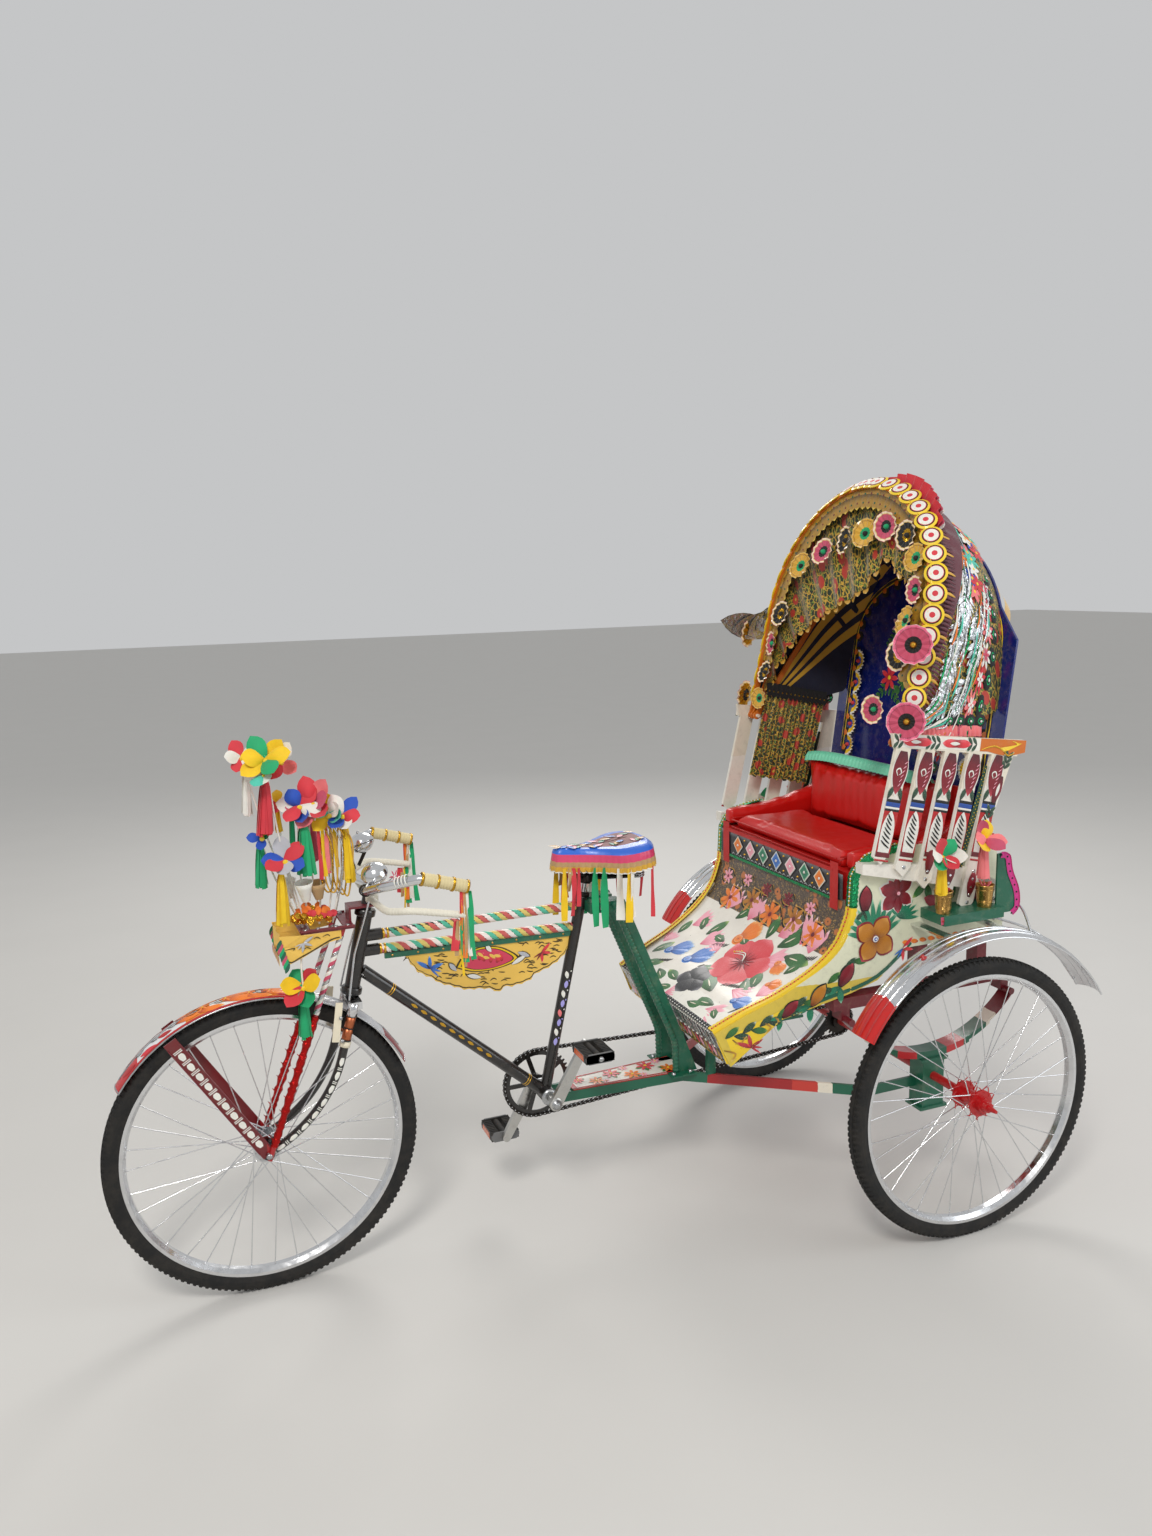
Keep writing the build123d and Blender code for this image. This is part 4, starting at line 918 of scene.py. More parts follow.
class RickshawTyres(bpy.types.Operator):
    """Tyres with a centre rib and blocks on both shoulders."""

    bl_idname = "rickshaw.tyres"
    bl_label = "Tyres"

    def execute(self, context):
        depth = context.scene.rickshaw_sizes.tread_depth * 1000
        base = TYRE_R - depth
        # Radius, distance from the middle plane, kind: 0 plain, 1 and 3 blocks in turn, 2 the rib
        profile = [
            (317, -14.5, 0), (321, -16.5, 0), (330, -19.6, 0), (338, -20, 0), (344, -18.6, 0),
            (347, -16.8, 1), (base - 1.2, -13.2, 1), (base - 0.3, -8.4, 1), (base, -6.2, 0),
            (base, -4.6, 0), (base, -3.2, 2), (base, 3.2, 2), (base, 4.6, 0), (base, 6.2, 0),
            (base - 0.3, 8.4, 3), (base - 1.2, 13.2, 3), (347, 16.8, 3), (344, 18.6, 0), (338, 20, 0),
            (330, 19.6, 0), (321, 16.5, 0), (317, 14.5, 0),
        ]
        knobs = 148
        steps = [0.0, 0.08, 0.52, 0.60]
        for name, body, node, x, y in (
            ("front_tyre", "front_wheel", "tyre_front", WHEELBASE, 0),
            ("left_tyre", "rear_wheel_left", "tyre_rear_left", 0, TRACK / 2),
            ("right_tyre", "rear_axle", "tyre_rear_right", 0, -TRACK / 2),
        ):
            shape = Shape(name)
            rows = []
            for k in range(knobs):
                for index, step in enumerate(steps):
                    angle = math.tau * (k + step) / knobs
                    raised = index in (1, 2)
                    row = []
                    for radius, side, kind in profile:
                        lift = {0: 0, 1: depth * raised, 2: depth, 3: depth * (not raised)}[kind]
                        wave = 0.9 * math.sin(angle * knobs) if kind == 2 else 0
                        r = min(radius + lift, TYRE_R)
                        row.append(at(x + r * math.cos(angle), y + side + wave,
                                      TYRE_R + r * math.sin(angle)))
                    rows.append(row)
            shape.grid(rows, "tyre", smooth=False, loop=True)
            piece = shape.make(body)
            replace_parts(piece, node)
        return {"FINISHED"}


class RickshawStage(bpy.types.Operator):
    """A pale floor, soft lamps and the camera at the photograph's place."""

    bl_idname = "rickshaw.stage"
    bl_label = "Stage"

    def execute(self, context):
        scene = context.scene
        mesh = bpy.data.meshes.new("studio_floor")
        half = 30
        mesh.from_pydata([(-half, -half, 0), (half, -half, 0), (half, half, 0), (-half, half, 0)], [],
                         [(0, 1, 2, 3)])
        mesh.materials.append(finish("floor"))
        floor = bpy.data.objects.new("studio_floor", mesh)
        scene.collection.objects.link(floor)
        for name, place, aim, size, power, tint in (
            ("key_lamp", (2.2, 3.4, 4.8), (0, 0, 0.7), 1.4, 150, (1.0, 0.97, 0.93)),
            ("fill_lamp", (-3.6, 3.2, 2.6), (0, 0, 0.8), 3.0, 60, (0.92, 0.96, 1.0)),
            ("rim_lamp", (-1.8, -3.8, 3.8), (0, 0, 0.9), 2.4, 90, (1.0, 0.98, 0.95)),
        ):
            lamp = bpy.data.lights.new(name, "AREA")
            lamp.shape = "DISK"
            lamp.size = size
            lamp.energy = power
            lamp.color = tint
            holder = bpy.data.objects.new(name, lamp)
            holder.location = place
            holder.rotation_euler = (Vector(aim) - Vector(place)).to_track_quat("-Z", "Y").to_euler()
            scene.collection.objects.link(holder)
        world = bpy.data.worlds.new("studio")
        world.use_nodes = True
        world.node_tree.nodes["Background"].inputs[0].default_value = (0.90, 0.91, 0.92, 1)
        world.node_tree.nodes["Background"].inputs[1].default_value = 0.62
        scene.world = world
        scene.view_settings.view_transform = "Standard"
        camera = bpy.data.cameras.new("photo_camera")
        camera.lens = CAMERA_LENS
        camera.sensor_width = 36
        camera.clip_end = 100
        holder = bpy.data.objects.new("photo_camera", camera)
        yaw, pitch, roll = (math.radians(value) for value in CAMERA_TURN)
        ahead = Vector((math.sin(yaw) * math.cos(pitch), -math.cos(yaw) * math.cos(pitch),
                        -math.sin(pitch)))
        right = ahead.cross(Vector((0, 0, 1))).normalized()
        up = right.cross(ahead)
        tilted_right = right * math.cos(roll) + up * math.sin(roll)
        tilted_up = up * math.cos(roll) - right * math.sin(roll)
        turn = Matrix((tilted_right, tilted_up, -ahead)).transposed()
        holder.matrix_world = Matrix.Translation(at(*CAMERA_PLACE)) @ turn.to_4x4()
        scene.collection.objects.link(holder)
        scene.camera = holder
        return {"FINISHED"}


# Hood
HOOD_LEG_RUN = HOOD_LEG - HOOD_START
HOOD_RUN = 2 * HOOD_LEG_RUN + math.pi * HOOD_R[0]


def hoop(a, radius=HOOD_R[0]):
    """Distance from the pivots and Y at a length along a hoop from its near foot."""
    arc = math.pi * HOOD_R[0]
    if a < HOOD_LEG_RUN:
        return HOOD_START + a, radius
    if a > HOOD_LEG_RUN + arc:
        return HOOD_LEG - (a - HOOD_LEG_RUN - arc), -radius
    turn = (a - HOOD_LEG_RUN) / HOOD_R[0]
    return HOOD_LEG + radius * math.sin(turn), radius * math.cos(turn)


def swung(r, y, lean):
    """A point at a distance from the pivots, leant back."""
    t = math.radians(lean)
    return at(PIVOT[0] - r * math.sin(t), y, PIVOT[1] + r * math.cos(t))


def hood_skin(radius):
    """The hood's outside: a along a hoop, b back from the front edge."""
    def point(a, b):
        r, y = hoop(a, radius)
        return swung(r, y, HOOD_LEAN + math.degrees(b / max(r, 150)))
    return Skin(point, -1)


FRONT_PLANE = Skin(lambda a, b: swung(b, a, HOOD_LEAN), 1)


def hood_cloth(name, body, radius, low, high, outside, node, steps, wave):
    """One shell of the hood with its lining; low and high are leans, and the rear one ends at the board."""
    count = 132
    outer, inner = [], []
    for i in range(count + 1):
        a = HOOD_RUN * i / count
        r, y = hoop(a, radius)
        end = high
        if high > 60:
            end = min(high, 8 + math.degrees(math.asin(303.5 / max(r, 304))))
        for side, inset in ((outer, 0), (inner, 2.6)):
            row = []
            for k in range(steps + 1):
                lean = low + (end - low) * k / steps
                fold = wave * math.sin(a / 9.5) * math.sin(math.pi * k / steps)
                scale = (radius + fold - inset) / radius
                if r > HOOD_LEG:
                    row.append(swung(r * scale, y * scale, lean))
                else:
                    # The legs' cloth is cut off level above the slats
                    clear = min(42 / math.cos(math.radians(lean)), 240) if r < HOOD_LEG else 0
                    row.append(swung(max(r, clear), y * scale, lean))
            side.append(row)
    shell = Shape(name)
    shell.grid(outer, outside, size=(HOOD_RUN / 10, 14), flip=True)
    shell.grid([[cloth[0], lining[0]] for cloth, lining in zip(outer, inner)], "gold_cloth")
    piece = shell.make(body)
    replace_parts(piece, node)
    lining = Shape(name + "_lining")
    lining.grid(inner, "navy", size=(HOOD_RUN / 10, 14))
    piece = lining.make(body)


def rosette(shape, centre, normal, radius, names, pleats=14, arc=360, start=0):
    """A pleated paper fan: folded round its centre, with rings of colour, an eye and a notched edge."""
    normal = Vector(normal).normalized()
    side = Vector((0, 0, 1)).cross(normal)
    side = (side if side.length > 0.1 else Vector((1, 0, 0)).cross(normal)).normalized()
    other = normal.cross(side)
    count = pleats * 2
    rings = [(0.16, names[0]), (0.42, names[1]), (0.80, names[2]), (1.0, names[2])]
    rows = []
    for share, _ in rings:
        row = []
        for k in range(count + (0 if arc >= 360 else 1)):
            turn = math.radians(start + arc * k / count)
            fold = radius * 0.07 * (1 if k % 2 else -1) * share
            reach = radius * share * (0.95 if share == 1.0 and k % 2 else 1)
            lift = fold + radius * 0.25 * share
            row.append(centre + (side * math.cos(turn) + other * math.sin(turn)) * reach / 1000
                       + normal * lift / 1000)
        rows.append(row)
    for (_, name), low, high in zip(rings, rows, rows[1:]):
        shape.grid([low, high], name, closed=arc >= 360, smooth=False, flip=True)
    ball = [(0, 0.30), (0.10, 0.26), (0.17, 0.14), (0.19, 0.0)]
    shape.lathe([(r * radius, h * radius) for r, h in ball], centre, normal, names[3], sides=10)


def ring_disc(shape, skin, origin, radius, colours, lift=1.0, sides=14):
    """A stack of round card rings, each smaller and higher."""
    for k, (share, name) in enumerate(colours):
        dot(shape, skin, origin, radius * share, name, lift + k * 0.9, 0.5, sides)


class RickshawHood(bpy.types.Operator):
    """The hood's cloth shells with their lining."""

    bl_idname = "rickshaw.hood"
    bl_label = "Hood"

    def execute(self, context):
        hood_cloth("hood_cloth_front", "hood_fore", HOOD_R[0], 12.4, 25.6, "plum", "hood_front", 5, 2.6)
        hood_cloth("hood_cloth_middle", "hood_middle", HOOD_R[1], 24.0, 37.2, "brocade", "hood_mid", 5, 1.6)
        hood_cloth("hood_cloth_rear", "chassis", HOOD_R[2], 35.6, 80.0, "brocade", "hood_rear", 10, 1.6)
        return {"FINISHED"}


class RickshawHoodTrim(bpy.types.Operator):
    """The front arch: scales, fans, rings, the comb, and the printed valance."""

    bl_idname = "rickshaw.hood_trim"
    bl_label = "Hood trim"

    def execute(self, context):
        rng = random.Random(5)
        trim = Shape("hood_front_trim")
        skin = hood_skin(HOOD_R[0] + 3)
        # Scales under the arch, two rows, on the plane of the front hoop
        for row, (radius, length, width) in enumerate(((352, 44, 34), (326, 40, 31))):
            count = int((math.pi * radius + 300) / (width * 0.86))
            for k in range(count):
                a = (k + 0.5 * row) / count * (math.pi * radius + 300) - 150
                if a < 0:
                    origin, angle = (radius, HOOD_LEG + a), math.pi
                elif a > math.pi * radius:
                    origin, angle = (-radius, HOOD_LEG - (a - math.pi * radius)), 0.0
                else:
                    turn = a / radius
                    origin = (radius * math.cos(turn), HOOD_LEG + radius * math.sin(turn))
                    angle = turn + math.pi
                petal(trim, FRONT_PLANE, origin, angle, length, width, "scale",
                      1.5 + row * 1.2 + 0.4 * (k % 2), 0.62, rows=6, root=0.8, dome=1.6)
                spot = (origin[0] + math.cos(angle) * length * 0.55,
                        origin[1] + math.sin(angle) * length * 0.55)
                dot(trim, FRONT_PLANE, spot, 4.2, "maroon" if k % 2 else "green", 3.4 + row, 0.8, 8)
        edge = [(a, 0) for a in range(0, int(HOOD_RUN), 9)]
        band(trim, skin, edge, 15, "yellow", 1.0, 0.28)
        band(trim, skin, [(a, 9) for a, _ in edge], 5, "green", 1.8)
        # Fans along the arch, in the plane of the front hoop
        fans = [
            (-280, 300, 38), (-228, 438, 39), (-131, 476, 39), (-37, 504, 40), (43, 519, 40),
            (126, 534, 39), (217, 508, 39), (269, 450, 37), (-296, 214, 36), (-302, 128, 34),
            (-306, 52, 32), (228, 72, 38), (281, 210, 40), (280, 296, 38), (292, 372, 36),
        ]
        forward = Vector((math.cos(math.radians(HOOD_LEAN)), 0, math.sin(math.radians(HOOD_LEAN))))
        styles = [
            ("gold_foil", "paper_black", "fan_cream", "paper_black"),
            ("paper_green", "gold_cloth", "fan_gold", "paper_black"),
            ("paper_black", "paper_rose", "fan_cream", "paper_green"),
        ]
        for index, (y, r, radius) in enumerate(fans):
            aim = forward + Vector((0, 0.25 * rng.uniform(-1, 1), 0.2 * rng.uniform(-1, 1)))
            rosette(trim, swung(r, y, HOOD_LEAN) + forward * 0.006, aim, radius, styles[index % 3], 12)
        # Rings down the near front edge and over the shoulder, and down the far edge
        ring = [(0, 4.6, "paper_red"), (7, 4.6, "paper_white"), (17.5, 4.2, "paper_red"),
                (19, 3.8, "paper_black"), (22, 3.2, "yellow"), (28, 0.5, "yellow")]
        for k in range(17):
            for a in (4 + 50 * k, HOOD_RUN - 4 - 50 * k):
                here = skin(a, 3, 5)
                out = (skin(a, 3, 15) - here).normalized()
                aim = (out + forward * 0.9).normalized()
                for (inner, low, name), (outer, high, _) in zip(ring, ring[1:]):
                    trim.lathe([(inner, low), (outer, high)], here, aim, name, 22)
                trim.lathe([(28, 0.5), (27, -2), (0, -2)], here, aim, "yellow", 22)
        # Maroon pleats behind the rings
        for k in range(150):
            a = 6 + 10.3 * k
            stroke(trim, skin, [(a, 34), (a + 2, 52), (a, 68)], 7, "plum" if k % 5 else "gold_cloth",
                   1.6, True, 2.2)
        # Larger fans that stand out from the rings
        near = ("paper_black", "paper_rose", "fan_pink", "gold")
        far = ("paper_black", "gold_foil", "fan_cream", "gold")
        for a, b in ((-4, -34), (178, -40)):
            for along, radius, tilt, names, pleats in (
                (a, 48, 1.2, near, 13), (HOOD_RUN - a, 43.2, 0.6, far, 12),
            ):
                here = skin(along, b, 14)
                out = (skin(along, b, 24) - here).normalized()
                rosette(trim, here, out + forward * tilt, radius, names, pleats)
        # A ruffled comb on the crown
        for lift, start, end, name in ((0, 470, 760, "paper_red"), (5, 480, 750, "paper_rose"),
                                       (9, 490, 740, "paper_white")):
            rows = []
            for a in range(start, end, 4):
                wave = 7 * math.sin(a / 5.2)
                tall = (48 - lift) * math.sin(math.pi * (a - start) / (end - start)) ** 0.5
                rows.append([skin(a, 30 + lift, 2), skin(a, 30 + lift + wave * 0.5, tall * 0.5 + 2),
                             skin(a, 28 + lift * 2 + wave, tall + 2)])
            trim.grid(rows, name, size=(24, 1))
        trim.make("hood_fore")

        # The valance between the arch and its peaked opening
        lower = [(322, 64), (304, 200), (292, 330), (266, 389), (201, 407), (150, 446), (112, 458),
                 (84, 428), (44, 375),
                 (-33, 344), (-100, 312), (-159, 284), (-236, 224), (-296, 130), (-322, 60)]
        line = resample(smooth_path([Vector((y, r, 0)) for y, r in lower], 8), 121)
        rows, hem = [], []
        for k, low in enumerate(line):
            r, y = hoop(HOOD_RUN * k / 120, 337)
            inner = Vector((y, r, 0))
            row = []
            for j in range(7):
                t = j / 6
                p = inner.lerp(low, t)
                fold = (3 + 5 * t) * math.sin(k * 0.9 + 0.4 * math.sin(k * 0.31))
                row.append(FRONT_PLANE(p.x, p.y, -17 - fold))
            rows.append(row)
            hem.append(row[-1])
        valance = Shape("hood_valance")
        valance.grid(rows, "brocade", size=(150, 14))
        piece = valance.make("hood_fore")
        edging = Shape("valance_edging")
        for k in range(1, 120, 2):
            up = (rows[k][-2] - rows[k][-1]).normalized()
            side = (hem[k + 1] - hem[k - 1]).normalized()
            flat = Skin(lambda a, b, o=hem[k], s=side, u=up: o + (s * a + u * b) / 1000, 1)
            petal(edging, flat, (0, 7), -math.pi / 2, 20, 17, "gilt", 1.2, 0.6, 4, 0.9, 1.0)
            dot(edging, flat, (0, 2), 2.6, "red", 2.6, 0.8, 6)
        edging.make("hood_fore")
        return {"FINISHED"}


class RickshawHoodSides(bpy.types.Operator):
    """Leaf sprays, flower columns, discs and cloth flowers over the hood's middle and rear."""

    bl_idname = "rickshaw.hood_sides"
    bl_label = "Hood sides"

    def execute(self, context):
        rng = random.Random(11)
        eye = [(1.0, "paper_black"), (0.72, "green_foil"), (0.5, "paper_black"), (0.26, "paper_white")]
        for name, body, radius, column in (
            ("hood_middle_trim", "hood_middle", HOOD_R[1] + 2.5, 112),
            ("hood_rear_trim", "chassis", HOOD_R[2] + 2.5, 190),
        ):
            shape = Shape(name)
            skin = hood_skin(radius)
            for side in (1, -1):
                for k in range(9 if body == "chassis" else 8):
                    a = 40 + 84 * k
                    place = a if side > 0 else HOOD_RUN - a
                    down = math.pi if side > 0 else 0.0
                    spray(shape, skin, (place, column), down + rng.uniform(-0.15, 0.15), 92,
                          "silver_foil", 6, 0.5, 0.13, "paper_green", 2.0)
                    for strip in range(6):
                        start = (place + rng.uniform(-30, 30), column + rng.uniform(-32, 32))
                        tone = ("silver_foil", "green_foil", "paper_orange", "silver_foil", "paper_teal",
                                "paper_white")[strip]
                        run = rng.uniform(52, 96) * (-1 if side > 0 else 1)
                        stroke(shape, skin, [start, (start[0] + run * 0.5, start[1] + 4),
                                             (start[0] + run, start[1] - 2)],
                               6, tone, 3.2 + strip * 0.5, True, 1.6)
            if body == "hood_middle":
                # Cloth flowers and stars over the shoulders and the crown
                for k in range(44):
                    a = 372 + (HOOD_RUN - 744) * k / 43 + rng.uniform(-8, 8)
                    r, _ = hoop(a, radius)
                    b = math.radians(rng.uniform(15.5, 21.5)) * r
                    tone = ("paper_pink", "paper_red", "paper_blue", "paper_white", "paper_orange",
                            "paper_teal")[k % 6]
                    flower(shape, skin, (a, b), rng.uniform(24, 33), 7 if k % 3 else 5, tone, "yellow",
                           2.6 + 1.0 * (k % 2), point=0.4 if k % 3 == 0 else 0.62)
            if body == "chassis":
                for side in (1, -1):
                    def along_side(a):
                        return a if side > 0 else HOOD_RUN - a

                    for k in range(13):
                        a = 26 + 50 * k
                        b = 238 - max(0, a - 240) * 0.14
                        tone = ("paper_pink", "paper_red", "paper_white")[k % 3]
                        flower(shape, skin, (along_side(a), b), 28, 8, tone, "yellow", 2.5)
                        small = "paper_white" if k % 3 < 2 else "paper_rose"
                        flower(shape, skin, (along_side(a), b), 15, 6, small, "paper_red", 5.0)
                    for k in range(12):
                        a = 30 + 44 * k
                        b = 284 - max(0, a - 200) * 0.2
                        ring_disc(shape, skin, (along_side(a), b), 18, eye, 3.0, 12)
            shape.make(body)
        stripes = Shape("lining_stripes")
        for side in (1, -1):
            for k, lean in enumerate((41, 47.5, 54)):
                rows = []
                for i in range(34):
                    r, y = hoop(14 + 17 * i, HOOD_R[2] - 4.6)
                    rows.append([swung(max(r, 66), side * y, lean + d * 1.9) for d in (-1, 0, 1)])
                stripes.grid(rows, "gold_cloth", size=(30, 1), flip=side < 0)
        stripes.make("chassis")
        hem = Shape("hood_hem_trim")
        for side in (1, -1):
            wall = Skin(lambda a, b, s=side: at(a, s * (HOOD_R[2] + 4), b), -side)
            for k in range(7):
                x = 56 - 32 * k
                z = 1272 - 2.4 * k
                ring_disc(hem, wall, (x, z), 18, eye, 3.0, 12)
            rows = []
            for k in range(76):
                x = 70 - 2.8 * k
                z = 1262 - 0.075 * 2.8 * k
                wave = 4 * math.sin(k * 1.25)
                rows.append([wall(x, z, 2), wall(x, z - 13, 4 + wave * 0.6), wall(x, z - 27, 5 + wave)])
            hem.grid(rows, "paper_pink", size=(30, 1))
        hem.make("chassis")
        # A foil wing on the far side
        wing = Shape("foil_wing")
        far = Skin(lambda a, b: at(a, -HOOD_R[0] - 8, b), 1)
        base = (30, 1462)
        for k in range(7):
            petal(wing, far, (base[0] - 6 * k, base[1] + 14 * k), math.radians(12 - 10 * k),
                  190 - 14 * k, 74, "silver_foil", 2 + 2.5 * (k % 2), 0.5, 8, 0.5, 9)
        wing.make("hood_fore")
        return {"FINISHED"}


class RickshawCurtains(bpy.types.Operator):
    """The gathered curtain on the far side, and the trim on the back board."""

    bl_idname = "rickshaw.curtains"
    bl_label = "Curtains and board"

    def execute(self, context):
        rows = []
        for k in range(100):
            t = k / 99
            row = []
            for j in range(12):
                s = j / 11
                x = (88 - 200 * t) * (1 - s) + (150 - 196 * t) * s
                z = (1306 - 40 * t) * (1 - s) + (1048 - 42 * t) * s
                gather = (3 + 6 * s) * math.sin(k * 0.82
                                                + 0.5 * math.sin(k * 0.21)) + 2 * math.sin(k * 0.37 + s * 4)
                row.append(at(x, -306 + gather * 0.5, z + 3 * math.sin(k * 0.5) * s))
            rows.append(row)
        curtain = Shape("side_curtain")
        curtain.grid(rows, "brocade", size=(26, 26), flip=True)
        piece = curtain.make("chassis")
        top = Shape("curtain_heading")
        wall = Skin(lambda a, b: at(a, -301, b), -1)
        for k in range(14):
            x = 86 - 14.6 * k
            z = 1306 - 3.0 * k
            petal(top, wall, (x, z + 12), -math.pi / 2, 44, 19, "paper_black", 1.5, 0.6, 5, 0.9, 1.2)
            dot(top, wall, (x, z - 12), 3.6, "gold", 3.0, 0.8, 8)
        top.make("chassis")
        # Trim on the board
        board = Shape("board_trim")
        slope = math.tan(PANEL_LEAN)
        face = Skin(lambda a, b: at(PANEL_FOOT[0] - (b - PANEL_FOOT[1]) * slope, a, b), 1)
        line = [(-300, 1110)] + [(-300, z) for z in range(1130, 1440, 24)]
        arc = [(300 * math.cos(math.radians(t)), 1440 + 190 * math.sin(math.radians(t)))
               for t in range(180, -1, -6)]
        line += arc + [(300, z) for z in range(1430, 1110, -24)]
        band(board, face, line, 14, "yellow", 1.6)
        band(board, face, line, 8, "paper_black", 2.6, 0.3)
        for k, (y, z) in enumerate(line[::2]):
            inward = math.atan2(1400 - z, -y) if z > 1440 else (0.0 if y < 0 else math.pi)
            petal(board, face, (y, z), inward, 34, 30, "paper_black", 1.2, 0.55, 5, 0.9, 1.0)
            petal(board, face, (y, z), inward, 20, 17, "marigold", 2.4, 0.55, 4, 0.8, 0.8)
        normal = Vector((math.cos(PANEL_LEAN), 0, math.sin(PANEL_LEAN)))
        for side in (-1, 1):
            for k in range(5):
                y, z = side * 262, 1120 + 62 * k
                centre = face(y, z, 8)
                names = ("paper_blue", "paper_yellow", "paper_white", "paper_red")
                rosette(board, centre, normal, 34, names, 10, arc=190, start=-95 if side < 0 else 85)
        # Plain ornament where the board is painted: a spray of flowers in the middle
        for y, z, size, tone in ((0, 1400, 62, "marigold"), (-120, 1330, 40, "hibiscus"),
                                 (120, 1330, 40, "hibiscus"),
                                 (-105, 1480, 34, "blush"), (105, 1480, 34, "blush")):
            for side in (-0.5, 0.5):
                spray(board, face, (y, z - size * 0.4), -math.pi / 2 + side * 1.6, size * 1.6, "foliage",
                      4, 0.42, 0.16, None, 1.0)
            flower(board, face, (y, z), size, 7, tone, "yellow", 1.4)
        board.make("chassis")
        return {"FINISHED"}


# Passenger body
def tray_skin():
    """The footboard's top: a across, b along the curve from its front edge."""
    line = smooth_path([Vector((x, 0, z)) for x, z in TRAY_CURVE], 12)
    runs = run_lengths(line)

    def point(a, b):
        p, _ = place_along(line, runs, b)
        return at(p.x, a, p.z)
    return Skin(point, 1)


def cast_skin(node, side):
    """A node's outer side wall: a is X and b is Z in millimetres; points are found on the node itself."""
    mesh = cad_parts[node]
    tree = BVHTree.FromObject(mesh, bpy.context.evaluated_depsgraph_get())
    inverse = mesh.matrix_world.inverted()

    def point(a, b):
        start = inverse @ at(a, side * 460, b)
        hit = tree.ray_cast(start, inverse.to_3x3() @ Vector((0, -side, 0)))[0]
        if hit is None or abs((mesh.matrix_world @ hit).y) < 0.24:
            return at(a, side * body_edge(a), b)
        return mesh.matrix_world @ hit
    return Skin(point, -side)


def leaf_pair(shape, skin, origin, angle, size, name="foliage"):
    """Two leaves from one place."""
    for side in (-1, 1):
        petal(shape, skin, origin, angle + side * 0.6, size, size * 0.42, name, 0.8, 0.45, 5, 0.15, 0.8)


def swallow(shape, skin, origin, size, names, turn=0.0, lift=1.6):
    """A small bird with forked tail and two raised wings."""
    for angle, length, width, name in (
        (0, 1.0, 0.26, names[0]), (2.3, 0.85, 0.26, names[0]), (0.95, 0.8, 0.24, names[0]),
        (2.95, 0.75, 0.14, names[1]), (3.4, 0.8, 0.12, names[1]), (0.2, 0.45, 0.16, names[2]),
    ):
        petal(shape, skin, origin, angle + turn, size * length, size * width, name, lift, 0.4, 5, 0.4, 0.8)


